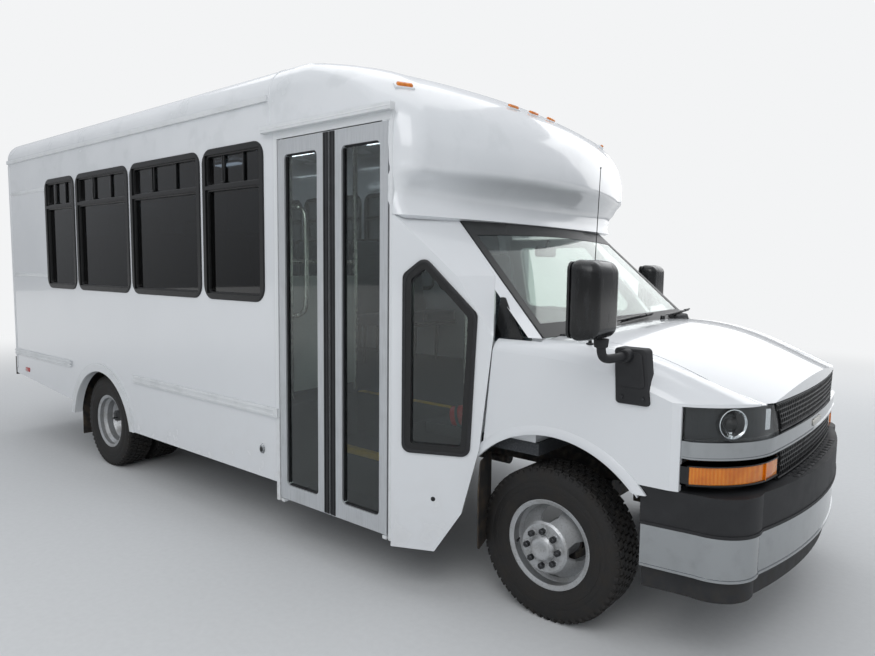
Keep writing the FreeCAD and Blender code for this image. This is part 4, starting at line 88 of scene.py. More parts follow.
@dataclass(frozen=True)
class Layer:
    """One pattern on a finish: what it looks like and what it changes.

    size_mm is the real width of one patch, cell or band. low and high are the pattern's
    values between which the layer goes from nothing to full, and heights are the levels
    in metres between which it fades in.
    """

    pattern: Pattern
    size_mm: float = 100.0
    colour: str = ""
    amount: float = 0.0
    rough: float = 0.0
    bump_mm: float = 0.0
    low: float = 0.4
    high: float = 0.65
    stretch: Spot = (1.0, 1.0, 1.0)
    detail: float = 3.0
    heights: tuple[float, float] | None = None


def linear(colour: str) -> tuple[float, float, float, float]:
    """Turns an sRGB hex colour such as #a0b1c2 into linear red, green, blue and one."""
    parts = [int(colour[i:i + 2], 16) / 255 for i in (1, 3, 5)]
    red, green, blue = (p / 12.92 if p <= 0.04045 else ((p + 0.055) / 1.055) ** 2.4 for p in parts)
    return red, green, blue, 1.0


def add_node(tree: bpy.types.NodeTree, kind: str, settings: dict | None = None,
             links: dict | None = None) -> bpy.types.Node:
    """Adds a node with its settings and links.

    Args:
        tree: The tree to add to.
        kind: The node's type, as Blender names it.
        settings: Values by name. A name that is a socket's, or its number, sets the socket.
        links: Output sockets by the name or number of the input that they go into.

    Returns:
        The new node.
    """
    made = tree.nodes.new(kind)
    for name, value in (settings or {}).items():
        if isinstance(name, int) or name in made.inputs:
            made.inputs[name].default_value = value
        else:
            setattr(made, name, value)
    for name, source in (links or {}).items():
        tree.links.new(source, made.inputs[name])
    return made


@dataclass(frozen=True)
class Finish:
    """A surface: its plain colour and gloss, and the layers that make it real."""

    name: str
    slot: str
    colour: str
    roughness: float
    metallic: float = 0.0
    coat: float = 0.0
    coat_roughness: float = 0.04
    clear: float = 0.0
    ior: float = 1.5
    sheen: float = 0.0
    glow: float = 0.0
    layers: tuple[Layer, ...] = ()

    def material(self) -> bpy.types.Material:
        """Builds the material once and gives it each time after that."""
        known = bpy.data.materials.get(self.name)
        if known:
            return known
        made = bpy.data.materials.new(self.name)
        made.use_nodes = True
        tree = made.node_tree
        tree.nodes.clear()
        surface = add_node(tree, "ShaderNodeBsdfPrincipled",
                           {"Base Color": linear(self.colour), "Roughness": self.roughness,
                            "Metallic": self.metallic, "Coat Weight": self.coat,
                            "Coat Roughness": self.coat_roughness, "Transmission Weight": self.clear,
                            "Sheen Weight": self.sheen, "Emission Strength": self.glow,
                            "Emission Color": linear(self.colour)})
        if not self.metallic:
            surface.inputs["IOR"].default_value = self.ior
        place = add_node(tree, "ShaderNodeTexCoord").outputs["Object"]
        colour = rough = normal = None
        for layer in self.layers:
            mask = self._mask(tree, place, layer)
            if layer.colour:
                share = add_node(tree, "ShaderNodeMath", {"operation": "MULTIPLY", 1: layer.amount},
                                 {0: mask})
                mix = add_node(tree, "ShaderNodeMix", {"data_type": "RGBA", 6: linear(self.colour),
                                                       7: linear(layer.colour)}, {0: share.outputs[0]})
                if colour:
                    tree.links.new(colour, mix.inputs[6])
                colour = mix.outputs[2]
            if layer.rough:
                step = add_node(tree, "ShaderNodeMath", {"operation": "MULTIPLY_ADD", 1: layer.rough,
                                                         2: self.roughness}, {0: mask})
                if rough:
                    tree.links.new(rough, step.inputs[2])
                rough = step.outputs[0]
            if layer.bump_mm:
                bump = add_node(tree, "ShaderNodeBump", {"Strength": 1.0, "Distance": layer.bump_mm / 1000},
                                {"Height": mask})
                if normal:
                    tree.links.new(normal, bump.inputs["Normal"])
                normal = bump.outputs[0]
        for name, source in (("Base Color", colour), ("Roughness", rough), ("Normal", normal)):
            if source:
                tree.links.new(source, surface.inputs[name])
        add_node(tree, "ShaderNodeOutputMaterial", links={"Surface": surface.outputs[0]})
        return made

    @staticmethod
    def _mask(tree: bpy.types.NodeTree, place: bpy.types.NodeSocket, layer: Layer) -> bpy.types.NodeSocket:
        """Gives the output that says how strong a layer is at each point, from 0 to 1."""
        scale = 1000.0 / layer.size_mm
        mapped = add_node(tree, "ShaderNodeMapping", {"Scale": layer.stretch}, {"Vector": place}).outputs[0]
        if layer.pattern is Pattern.CELLS:
            value = add_node(tree, "ShaderNodeTexVoronoi", {"Scale": scale}, {"Vector": mapped}).outputs[0]
        elif layer.pattern is Pattern.BANDS:
            value = add_node(tree, "ShaderNodeTexWave", {"Scale": scale / math.pi},
                             {"Vector": mapped}).outputs[1]
        else:
            value = add_node(tree, "ShaderNodeTexNoise", {"Scale": scale, "Detail": layer.detail},
                             {"Vector": mapped}).outputs[0]
        mask = add_node(tree, "ShaderNodeMapRange", {"From Min": layer.low, "From Max": layer.high},
                        {"Value": value}).outputs[0]
        if layer.heights:
            rise = add_node(tree, "ShaderNodeSeparateXYZ", links={0: place}).outputs[2]
            fade = add_node(tree, "ShaderNodeMapRange",
                            {"From Min": layer.heights[0], "From Max": layer.heights[1]},
                            {"Value": rise}).outputs[0]
            mask = add_node(tree, "ShaderNodeMath", {"operation": "MULTIPLY"}, {0: mask, 1: fade}).outputs[0]
        return mask


def dust(amount: float, top: float = 0.9, colour: str = "#8a8070", size: float = 40.0) -> Layer:
    """Road dust that thickens towards the ground."""
    return Layer(Pattern.SPECKS, size, colour, amount, 0.25, low=0.45, high=0.7, detail=5,
                 heights=(top, 0.2))


# White two-pack enamel, sprayed: a clear wet gloss with a slight wave, grey water marks on
# the upper side and a dull film of road dust near the ground.
ENAMEL = Finish("white_enamel_sprayed", "white_paint", "#dfe2e5", 0.17, coat=0.6, layers=(
    Layer(Pattern.CLOUDS, 640, "#c9ced2", 0.35, 0.04, low=0.42, high=0.68, detail=5, heights=(0.8, 2.4)),
    Layer(Pattern.CLOUDS, 190, "#b4babc", 0.22, 0.10, low=0.54, high=0.64, detail=6, heights=(1.8, 2.8)),
    dust(0.10, 0.8, "#a49a8a", 90.0), Layer(Pattern.CLOUDS, 260, bump_mm=0.35, low=0.2, high=0.8, detail=1)))
# White moulded trim on the same body: a little duller than the panels.
TRIM_WHITE = Finish("white_trim_moulded", "moulding_white", "#dcdfe1", 0.28, layers=(
    Layer(Pattern.CLOUDS, 120, "#b9bdbd", 0.3, 0.12, low=0.45, high=0.7, detail=5), dust(0.12)))
# Aluminium door frames, satin anodised: pale silver with fine upright lines.
LEAF_METAL = Finish("aluminium_satin_anodised", "door_metal", "#c9cccf", 0.34, metallic=0.55, layers=(
    Layer(Pattern.SPECKS, 5, "#b4b8bb", 0.35, 0.12, low=0.4, high=0.6, stretch=(1, 1, 0.04)),
    Layer(Pattern.CLOUDS, 160, "#a9abab", 0.25, 0.1, low=0.5, high=0.7, detail=5)))
# Posts and head rail of the door, white powder coat: a fine orange peel.
POST_WHITE = Finish("white_powder_coat", "door_frame_paint", "#dde0e2", 0.3, layers=(
    Layer(Pattern.SPECKS, 3, bump_mm=0.05, low=0.3, high=0.7), dust(0.35)))
# EPDM rubber of seals and gaskets, extruded: deep black with a waxy bloom.
SEAL = Finish("rubber_extruded_seal", "black_plastic", "#141518", 0.42, layers=(
    Layer(Pattern.CLOUDS, 60, "#2a2c2f", 0.6, 0.15, low=0.45, high=0.7, detail=5),))
# Window frames, black polyester paint on aluminium: smooth and half glossy.
FRAME_BLACK = Finish("black_painted_aluminium", "black_plastic", "#0c0d0e", 0.34, layers=(
    Layer(Pattern.SPECKS, 18, "#1f2122", 0.4, 0.16, low=0.5, high=0.72, detail=5),))
# Polypropylene of bumper pad, air dam and cowl, moulded with a leather grain: dull charcoal.
GRAINED = Finish("polypropylene_grained", "black_plastic", "#17181b", 0.58, layers=(
    Layer(Pattern.CELLS, 5, bump_mm=0.12, low=0.1, high=0.7),
    Layer(Pattern.CLOUDS, 90, "#2f3032", 0.5, 0.12, low=0.45, high=0.7, detail=5), dust(0.10, 0.7)))
# ABS of grille and lamp surround, moulded smooth: black with a soft sheen.
SMOOTH_BLACK = Finish("abs_moulded_smooth", "black_plastic", "#121315", 0.36, layers=(
    Layer(Pattern.SPECKS, 30, "#292a2b", 0.5, 0.2, low=0.5, high=0.75, detail=5),))
# Mirror shells, ABS with a gloss lacquer: near black, with wiped dust streaks.
GLOSS_BLACK = Finish("abs_gloss_lacquer", "black_plastic", "#060708", 0.22, layers=(
    Layer(Pattern.CLOUDS, 40, "#2e3033", 0.5, 0.22, low=0.5, high=0.72, stretch=(1, 1, 0.25), detail=6),))
# Dashboard and trim inside, ABS with a fine grain: mid grey.
INNER_GREY = Finish("abs_grained_interior", "black_plastic", "#4b4e52", 0.62, layers=(
    Layer(Pattern.CELLS, 3, bump_mm=0.08, low=0.1, high=0.7),
    Layer(Pattern.CLOUDS, 200, "#5b5e60", 0.5, low=0.4, high=0.7)))
# Tinted safety glass of the saloon windows: almost black, mirror smooth.
GLASS_DARK = Finish("glass_float_deep_tint", "glass", "#2c3033", 0.02, clear=1.0, layers=(
    Layer(Pattern.CLOUDS, 420, "#2d3235", 0.5, 0.012, low=0.4, high=0.7),))
# Door and quarter panes: grey tint that still shows the inside.
GLASS_DOOR = Finish("glass_float_grey_tint", "glass", "#c3cdcb", 0.02, clear=1.0, layers=(
    Layer(Pattern.CLOUDS, 300, "#b4c0be", 0.5, 0.02, low=0.45, high=0.7, detail=5),))
# Laminated windscreen: clear with a pale green cast.
GLASS_SCREEN = Finish("glass_laminated_green", "glass", "#cfdcd6", 0.02, clear=1.0, layers=(
    Layer(Pattern.CLOUDS, 500, "#bccac4", 0.5, 0.015, low=0.45, high=0.7),))
# Ceramic frit printed on the screen's edge, and the shade band: flat black, glass smooth.
FRIT = Finish("ceramic_frit_printed", "glass", "#08090a", 0.42, layers=(
    Layer(Pattern.SPECKS, 6, "#1a1c1d", 0.5, 0.05, low=0.45, high=0.7),))
# Chrome plate on steel and plastic: bright, with a little dust low down.
CHROME = Finish("chrome_plated", "chrome", "#a6a9ab", 0.07, metallic=1.0, layers=(
    Layer(Pattern.CLOUDS, 70, "#8f9192", 0.35, 0.1, low=0.5, high=0.75, detail=6), dust(0.12, 0.6)))
# Silver wheel enamel on pressed steel: satin, dusty in the corners.
WHEEL = Finish("silver_enamel_on_steel", "rim_grey", "#b3b5b7", 0.38, metallic=0.65, layers=(
    Layer(Pattern.SPECKS, 9, "#7f7d78", 0.5, 0.22, low=0.52, high=0.74, detail=6),
    Layer(Pattern.CLOUDS, 70, "#8d8b86", 0.4, 0.15, low=0.45, high=0.7, detail=5)))
# Wheel nuts, black zinc: dark with worn corners.
NUT = Finish("zinc_black_passivated", "rim_grey", "#3a3b3d", 0.36, metallic=0.8, layers=(
    Layer(Pattern.SPECKS, 5, "#85868a", 0.55, 0.1, low=0.55, high=0.7, detail=4),))
# Tyre rubber, moulded: brown black with dried mud in the tread and fine rings in the wall.
TYRE = Finish("rubber_tyre_moulded", "tyre_black", "#151515", 0.74, layers=(
    Layer(Pattern.CLOUDS, 60, "#332e28", 0.5, 0.12, low=0.42, high=0.7, detail=6),
    Layer(Pattern.SPECKS, 7, "#242120", 0.6, bump_mm=0.25, low=0.35, high=0.7, detail=5)))
# Lamp lens, polycarbonate moulded: clear and hard coated.
LENS = Finish("polycarbonate_clear_lens", "lamp_clear", "#dfe4e6", 0.02, coat=0.6, clear=1.0, ior=1.04,
              layers=(Layer(Pattern.CLOUDS, 90, "#e2e7e8", 0.5, 0.03, low=0.5, high=0.75, detail=5),))
# Lamp housing inside: satin smoke grey plastic.
LAMP_DARK = Finish("polycarbonate_smoke_satin", "lamp_clear", "#1b1e20", 0.30, layers=(
    Layer(Pattern.BANDS, 14, bump_mm=0.2, low=0.3, high=0.7, stretch=(0, 0, 1)),
    Layer(Pattern.CLOUDS, 40, "#2a2e30", 0.5, low=0.4, high=0.7)))
# Reflector bowls, vacuum aluminised: a mirror with fine facets.
REFLECTOR = Finish("aluminised_reflector", "lamp_clear", "#dfe2e4", 0.08, metallic=1.0, layers=(
    Layer(Pattern.CELLS, 9, bump_mm=0.3, low=0.1, high=0.8),))
# Amber acrylic with prisms on its back: deep orange that glows where it is thin.
AMBER = Finish("acrylic_amber_prism", "lamp_amber", "#f08200", 0.1, coat=0.4, clear=0.25, ior=1.49, layers=(
    Layer(Pattern.BANDS, 12, "#ffa22e", 0.55, bump_mm=0.5, low=0.2, high=0.8, stretch=(1, 1, 0)),
    Layer(Pattern.CLOUDS, 70, "#c95f00", 0.5, low=0.45, high=0.65)))
# Red acrylic of tail lamps and reflectors.
RED = Finish("acrylic_red_prism", "lamp_red", "#b3100c", 0.1, coat=0.4, clear=0.2, ior=1.49, layers=(
    Layer(Pattern.CELLS, 11, "#e02a1e", 0.5, bump_mm=0.4, low=0.1, high=0.7),
    Layer(Pattern.CLOUDS, 80, "#7a0605", 0.5, low=0.45, high=0.7)))
# Safety flooring, PVC with grit: charcoal with pale flecks.
FLOORING = Finish("pvc_safety_flooring", "floor_cover", "#33363a", 0.72, layers=(
    Layer(Pattern.SPECKS, 3, "#7b7e80", 0.6, low=0.62, high=0.68, detail=2),
    Layer(Pattern.CELLS, 6, bump_mm=0.25, low=0.1, high=0.7)))
# Step nosings, ribbed yellow vinyl.
NOSING = Finish("vinyl_yellow_ribbed", "floor_cover", "#d9ad12", 0.5, layers=(
    Layer(Pattern.BANDS, 7, "#a8830c", 0.5, bump_mm=0.5, low=0.3, high=0.7, stretch=(0, 1, 1)),
    Layer(Pattern.SPECKS, 22, "#6f5d1c", 0.4, 0.1, low=0.5, high=0.75, detail=5)))
# Inner boards, white melamine laminate.
BOARD = Finish("melamine_white_board", "white_paint", "#d5d8d6", 0.42, layers=(
    Layer(Pattern.SPECKS, 4, bump_mm=0.04, low=0.3, high=0.7),
    Layer(Pattern.CLOUDS, 300, "#c3c8c6", 0.5, low=0.4, high=0.7)))
# Stainless handrail tube, polished lengthwise.
STAINLESS = Finish("stainless_tube_polished", "rail_steel", "#c8c6c0", 0.2, metallic=1.0, layers=(
    Layer(Pattern.SPECKS, 4, "#a9a7a1", 0.4, 0.12, low=0.4, high=0.65, stretch=(1, 1, 0.1)),))
# Seat cover, woven flat cloth: blue grey with a lighter fleck.
CLOTH = Finish("polyester_flat_weave", "seat_cloth", "#39414d", 0.86, sheen=0.35, layers=(
    Layer(Pattern.BANDS, 4, "#4f5968", 0.6, bump_mm=0.4, low=0.2, high=0.8, stretch=(1, 0, 0.35)),
    Layer(Pattern.BANDS, 4, "#2c333d", 0.5, bump_mm=0.4, low=0.2, high=0.8, stretch=(0, 1, 0.35)),
    Layer(Pattern.SPECKS, 9, "#79818c", 0.45, low=0.6, high=0.68)))
# Chassis paint, black wax coat: satin with brown road film and rust at the edges.
CHASSIS = Finish("black_wax_coat", "chassis_black", "#1b1b1c", 0.55, layers=(
    Layer(Pattern.CLOUDS, 55, "#4b3a2c", 0.5, 0.2, low=0.5, high=0.72, detail=7), dust(0.6, 1.0)))
# Cast iron of knuckles and engine, sand cast: rough grey with rust bloom.
CAST = Finish("iron_sand_cast", "engine_grey", "#57575a", 0.7, metallic=0.4, layers=(
    Layer(Pattern.SPECKS, 4, bump_mm=0.3, low=0.3, high=0.7),
    Layer(Pattern.CLOUDS, 45, "#6b4a33", 0.6, low=0.48, high=0.7, detail=6)))
# Tank and exhaust, aluminised steel: dull silver stained brown.
TANK = Finish("aluminised_steel_rolled", "tank_steel", "#7d7e80", 0.45, metallic=0.8, layers=(
    Layer(Pattern.CLOUDS, 90, "#5d4e40", 0.5, 0.25, low=0.45, high=0.7, detail=6), dust(0.5)))
# Mud flap and splash guard rubber: ribbed black with dried mud.
FLAP = Finish("rubber_sheet_ribbed", "flap_rubber", "#1a1a1b", 0.75, layers=(
    Layer(Pattern.CLOUDS, 70, "#5a4c3c", 0.6, 0.1, low=0.4, high=0.68, detail=6),
    Layer(Pattern.BANDS, 12, bump_mm=0.6, low=0.3, high=0.7, stretch=(0, 1, 0))))
# Extinguisher, red gloss enamel.
RED_PAINT = Finish("red_gloss_enamel", "lamp_red", "#b51a1c", 0.2, coat=0.5, layers=(
    Layer(Pattern.CLOUDS, 50, "#8d1214", 0.5, low=0.45, high=0.7),))
# Ceiling lamp diffusers, opal acrylic, lit: an even white glow.
OPAL = Finish("acrylic_opal_lit", "lamp_clear", "#eef4ff", 0.4, glow=7.0, layers=(
    Layer(Pattern.CLOUDS, 90, "#dbe6f5", 0.5, low=0.4, high=0.7),))
# Mirror glass, silvered.
SILVERED = Finish("glass_silvered", "glass", "#cdd2d4", 0.03, metallic=1.0, layers=(
    Layer(Pattern.CLOUDS, 60, "#b9bec0", 0.4, 0.04, low=0.5, high=0.7),))

NODE_FINISHES: tuple[tuple[Finish, str], ...] = (
    (ENAMEL, "side_wall_right side_wall_left rear_wall roof front_cap front_panel cab_fairing hood"
             " fender_right fender_left driver_door rear_door cab_frame"),
    (TRIM_WHITE, "body_mouldings"),
    (LEAF_METAL, "entry_door_rear entry_door_front"),
    (POST_WHITE, "entry_door_frame"),
    (FRAME_BLACK, "window_frames"),
    (GRAINED, "bumper_pad air_dam"),
    (SMOOTH_BLACK, "front_fascia"),
    (GLOSS_BLACK, "mirror_right mirror_left"),
    (INNER_GREY, "dashboard steering_wheel"),
    (GLASS_DARK, "window_glass rear_door_glass"),
    (GLASS_DOOR, "entry_door_rear_glass entry_door_front_glass"),
    (GLASS_SCREEN, "windscreen driver_door_glass"),
    (CHROME, "bright_bar bumper_face"),
    (LENS, "head_lamps"),
    (AMBER, "amber_lamps"),
    (RED, "tail_lamps"),
    (WHEEL, "rim_front_right rim_front_left rim_rear_right rim_rear_left"),
    (TYRE, "tyre_front_right tyre_front_left tyres_rear_right tyres_rear_left"),
    (FLOORING, "floor entry_steps"),
    (CLOTH, "seats"),
    (STAINLESS, "grab_rails"),
    (CHASSIS, "chassis_frame rear_axle front_suspension rear_bumper"),
    (CAST, "engine_block knuckle_right knuckle_left"),
    (TANK, "fuel_tank exhaust"),
    (FLAP, "mud_flaps"),
)


def standing(origin: Spot, along: Spot) -> Matrix:
    """A frame on an upright face: its u runs along the face, v up and w out of it.

    Args:
        origin: The frame's zero point.
        along: The direction of u, level.

    Returns:
        The matrix from u, v, w to the vehicle's frame.
    """
    across = Vector(along).normalized()
    up = Vector((0.0, 0.0, 1.0))
    turn = Matrix((across, up, across.cross(up))).transposed().to_4x4()
    return Matrix.Translation(origin) @ turn


RIGHT_SIDE = standing((0, -AT.side, 0), (1, 0, 0))
LEFT_SIDE = standing((0, AT.side, 0), (-1, 0, 0))
REAR = standing((AT.rear_face, 0, 0), (0, -1, 0))


def aimed(spot: Spot, axis: Spot) -> Matrix:
    """A frame at a spot whose third axis runs along the given one."""
    return Matrix.Translation(spot) @ Vector(axis).to_track_quat("Z", "Y").to_matrix().to_4x4()


def rounded(form: bmesh.types.BMesh, geom: list, radius: float, steps: int = 2,
            affect: str = "EDGES") -> None:
    """Rounds edges, or the corners of a flat outline, to a radius."""
    bmesh.ops.bevel(form, geom=geom, offset=radius, offset_type="OFFSET", segments=steps, profile=0.5,
                    affect=affect, clamp_overlap=True, material=-1)


class Piece:
    """One piece in the making: forms are added with bmesh operators, then it is finished."""

    def __init__(self, name: str) -> None:
        """Starts an empty piece."""
        self.name = name
        self.mesh = bmesh.new()

    def add(self, form: bmesh.types.BMesh, places: Iterable[Matrix] = (STILL,)) -> "Piece":
        """Takes in a form at each of the given places and frees it.

        Args:
            form: The form, in its own frame.
            places: Where copies of it go.

        Returns:
            This piece.
        """
        for place in places:
            data = bpy.data.meshes.new("form")
            form.to_mesh(data)
            data.transform(place)
            self.mesh.from_mesh(data)
            bpy.data.meshes.remove(data)
        form.free()
        return self

    def block(self, low: Spot, high: Spot, place: Matrix = STILL, edge: float = 0.0, steps: int = 2,
              taper: tuple[float, float] = (1.0, 1.0)) -> "Piece":
        """Adds a block between two corners.

        Args:
            low: Lowest corner in the frame of place.
            high: Highest corner.
            place: Frame that the corners are given in.
            edge: Radius of its edges.
            steps: Facets of a rounded edge.
            taper: Scale of its top face along the first two axes.

        Returns:
            This piece.
        """
        form = bmesh.new()
        for vert in bmesh.ops.create_cube(form, size=1.0)["verts"]:
            if vert.co.z > 0:
                vert.co.x *= taper[0]
                vert.co.y *= taper[1]
        bmesh.ops.scale(form, vec=[h - l for l, h in zip(low, high)], verts=form.verts)
        bmesh.ops.translate(form, vec=[(h + l) / 2 for l, h in zip(low, high)], verts=form.verts)
        if edge:
            rounded(form, form.edges[:], edge, steps)
        return self.add(form, (place,))

    def slab(self, outline: Outline, start: float, depth: float, place: Matrix = STILL, corner: float = 0.0,
             rim: float = 0.0, edge: float = 0.0, steps: int = 6) -> "Piece":
        """Pushes a flat outline through a depth.

        Args:
            outline: Corners in the plane of place, in order.
            start: Height of the outline over the plane.
            depth: How far it is pushed.
            place: Frame of the plane.
            corner: Radius of the outline's corners.
            rim: Width of the border to keep; nothing keeps the whole outline.
            edge: Radius of the edges of the far side.
            steps: Facets of a rounded corner.

        Returns:
            This piece.
        """
        form = bmesh.new()
        verts = [form.verts.new((u, v, start)) for u, v in outline]
        face = form.faces.new(verts)
        if corner:
            rounded(form, verts, corner, steps, "VERTICES")
            face = max(form.faces, key=lambda item: item.calc_area())
        region = [face]
        if rim:
            region = bmesh.ops.inset_region(form, faces=[face], thickness=rim, use_even_offset=True,
                                            use_boundary=True)["faces"]
            bmesh.ops.delete(form, geom=[face], context="FACES_ONLY")
        pushed = bmesh.ops.extrude_face_region(form, geom=region)["geom"]
        top = [item for item in pushed if isinstance(item, bmesh.types.BMVert)]
        bmesh.ops.translate(form, vec=(0, 0, depth), verts=top)
        if edge:
            tops = {item for item in pushed if isinstance(item, bmesh.types.BMFace)}
            lines = {line for item in tops for line in item.edges
                     if any(other not in tops for other in line.link_faces)}
            rounded(form, list(lines), edge)
        return self.add(form, (place,))

    def rod(self, start: Spot, end: Spot, radius: float, end_radius: float | None = None, steps: int = 16,
            edge: float = 0.0) -> "Piece":
        """Adds a round bar or cone between two points.

        Args:
            start: Middle of its first end.
            end: Middle of its other end.
            radius: Radius at its first end.
            end_radius: Radius at its other end, if that differs.
            steps: Facets round it.
            edge: Radius of the edges of its ends.

        Returns:
            This piece.
        """
        form = bmesh.new()
        first, last = Vector(start), Vector(end)
        span = last - first
        bmesh.ops.create_cone(form, cap_ends=True, segments=steps, radius1=radius,
                              radius2=radius if end_radius is None else end_radius, depth=span.length)
        if edge:
            rings = [line for line in form.edges if any(len(face.verts) > 4 for face in line.link_faces)]
            rounded(form, rings, edge)
        return self.add(form, (aimed((first + last) / 2, span),))

    def lathe(self, profile: Outline, centre: Spot, axis: Spot, steps: int = 48,
              closed: bool = False) -> "Piece":
        """Turns a profile about an axis.

        Args:
            profile: Points as radius and reach along the axis, in order.
            centre: A point on the axis, where reach is nothing.
            axis: Direction of the axis.
            steps: Facets round it.
            closed: Whether the profile's last point joins its first.

        Returns:
            This piece.
        """
        form = bmesh.new()
        verts = [form.verts.new((radius, 0, reach)) for radius, reach in profile]
        for pair in list(zip(verts, verts[1:])) + ([(verts[-1], verts[0])] if closed else []):
            form.edges.new(pair)
        bmesh.ops.spin(form, geom=form.verts[:] + form.edges[:], cent=(0, 0, 0), axis=(0, 0, 1),
                       angle=math.tau, steps=steps, use_merge=True, use_duplicate=False)
        bmesh.ops.remove_doubles(form, verts=form.verts, dist=1e-6)
        return self.add(form, (aimed(centre, axis),))

    def ball(self, centre: Spot, radii: Spot, steps: int = 20) -> "Piece":
        """Adds a round or oval ball."""
        form = bmesh.new()
        bmesh.ops.create_uvsphere(form, u_segments=steps, v_segments=steps // 2, radius=1.0)
        return self.add(form, (Matrix.Translation(centre) @ Matrix.Diagonal((*radii, 1.0)),))

    def bent(self, points: Sequence[Spot], radius: float, steps: int = 4) -> "Piece":
        """Adds a tube along a smooth line that the points draw out."""
        line = bpy.data.curves.new(self.name + "_line", "CURVE")
        line.dimensions = "3D"
        line.bevel_depth = radius
        line.bevel_resolution = steps
        line.use_fill_caps = True
        spline = line.splines.new("NURBS")
        spline.points.add(len(points) - 1)
        for point, spot in zip(spline.points, points):
            point.co = (*spot, 1.0)
        spline.order_u = 3
        spline.use_endpoint_u = True
        holder = bpy.data.objects.new(line.name, line)
        made = bpy.data.meshes.new_from_object(holder)
        self.mesh.from_mesh(made)
        bpy.data.objects.remove(holder)
        bpy.data.meshes.remove(made)
        bpy.data.curves.remove(line)
        return self

    def copy_node(self, node: str) -> "Piece":
        """Adds a CAD node's own mesh with its loose triangles merged."""
        self.mesh.from_mesh(frame["nodes"][node].data)
        bmesh.ops.remove_doubles(self.mesh, verts=self.mesh.verts, dist=1e-5)
        return self

    def cut_off(self, point: Spot, normal: Spot) -> "Piece":
        """Cuts with a plane, drops what the normal points to and closes the cut."""
        geom = self.mesh.verts[:] + self.mesh.edges[:] + self.mesh.faces[:]
        cut = bmesh.ops.bisect_plane(self.mesh, geom=geom, plane_co=point, plane_no=normal, clear_outer=True)
        rim = [item for item in cut["geom_cut"] if isinstance(item, bmesh.types.BMEdge)]
        bmesh.ops.holes_fill(self.mesh, edges=rim, sides=0)
        return self

    def between(self, low: float, high: float) -> "Piece":
        """Keeps what lies between two heights."""
        return self.cut_off((0, 0, high), (0, 0, 1)).cut_off((0, 0, low), (0, 0, -1))

    def both_sides(self) -> "Piece":
        """Adds the mirror image on the other side of the vehicle."""
        geom = self.mesh.verts[:] + self.mesh.edges[:] + self.mesh.faces[:]
        twin = bmesh.ops.duplicate(self.mesh, geom=geom)["geom"]
        verts = [item for item in twin if isinstance(item, bmesh.types.BMVert)]
        bmesh.ops.scale(self.mesh, vec=(1, -1, 1), verts=verts)
        return self

    def finish(self, finish: Finish, body: str = "vehicle", replaces: Sequence[str] = (),
               angle: float = 35.0) -> bpy.types.Object:
        """Turns the faces outwards, dresses the piece and sets it on its body.

        Args:
            finish: What it is made of.
            body: The CAD body that carries it.
            replaces: CAD nodes that it stands for.
            angle: Edges sharper than this stay sharp.

        Returns:
            The piece's object.
        """
        bmesh.ops.recalc_face_normals(self.mesh, faces=self.mesh.faces)
        data = bpy.data.meshes.new(self.name)
        self.mesh.to_mesh(data)
        self.mesh.free()
        data.polygons.foreach_set("use_smooth", [True] * len(data.polygons))
        data.set_sharp_from_angle(angle=math.radians(angle))
        data.materials.append(finish.material())
        made = bpy.data.objects.new(self.name, data)
        bpy.context.scene.collection.objects.link(made)
        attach(made, body)
        if replaces:
            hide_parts(*replaces)
        LOG.info("%s: %d faces on %s", self.name, len(data.polygons), body)
        return made


def dress_nodes() -> None:
    """Gives each CAD node that stays in view its finish."""
    for finish, names in NODE_FINISHES:
        for name in names.split():
            data = frame["nodes"][name].data
            data.materials.clear()
            data.materials.append(finish.material())
    panes = frame["nodes"]["window_glass"].data
    panes.materials.append(GLASS_DOOR.material())
    for face in panes.polygons:
        face.material_index = int(face.center.x > AT.clear_panes)


def spanned(origin: Spot, along: Spot, over: Spot) -> Matrix:
    """A frame on a sloping face that three spots give.

    Args:
        origin: The frame's zero point.
        along: A spot that u runs towards.
        over: A spot on the side that v rises to.

    Returns:
        The matrix from u, v, w to the vehicle's frame.
    """
    across = (Vector(along) - Vector(origin)).normalized()
    out = across.cross(Vector(over) - Vector(origin)).normalized()
    turn = Matrix((across, out.cross(across), out)).transposed().to_4x4()
    return Matrix.Translation(origin) @ turn


def oblong(low: tuple[float, float], high: tuple[float, float]) -> list[tuple[float, float]]:
    """Gives the four corners of an upright oblong."""
    return [(low[0], low[1]), (high[0], low[1]), (high[0], high[1]), (low[0], high[1])]


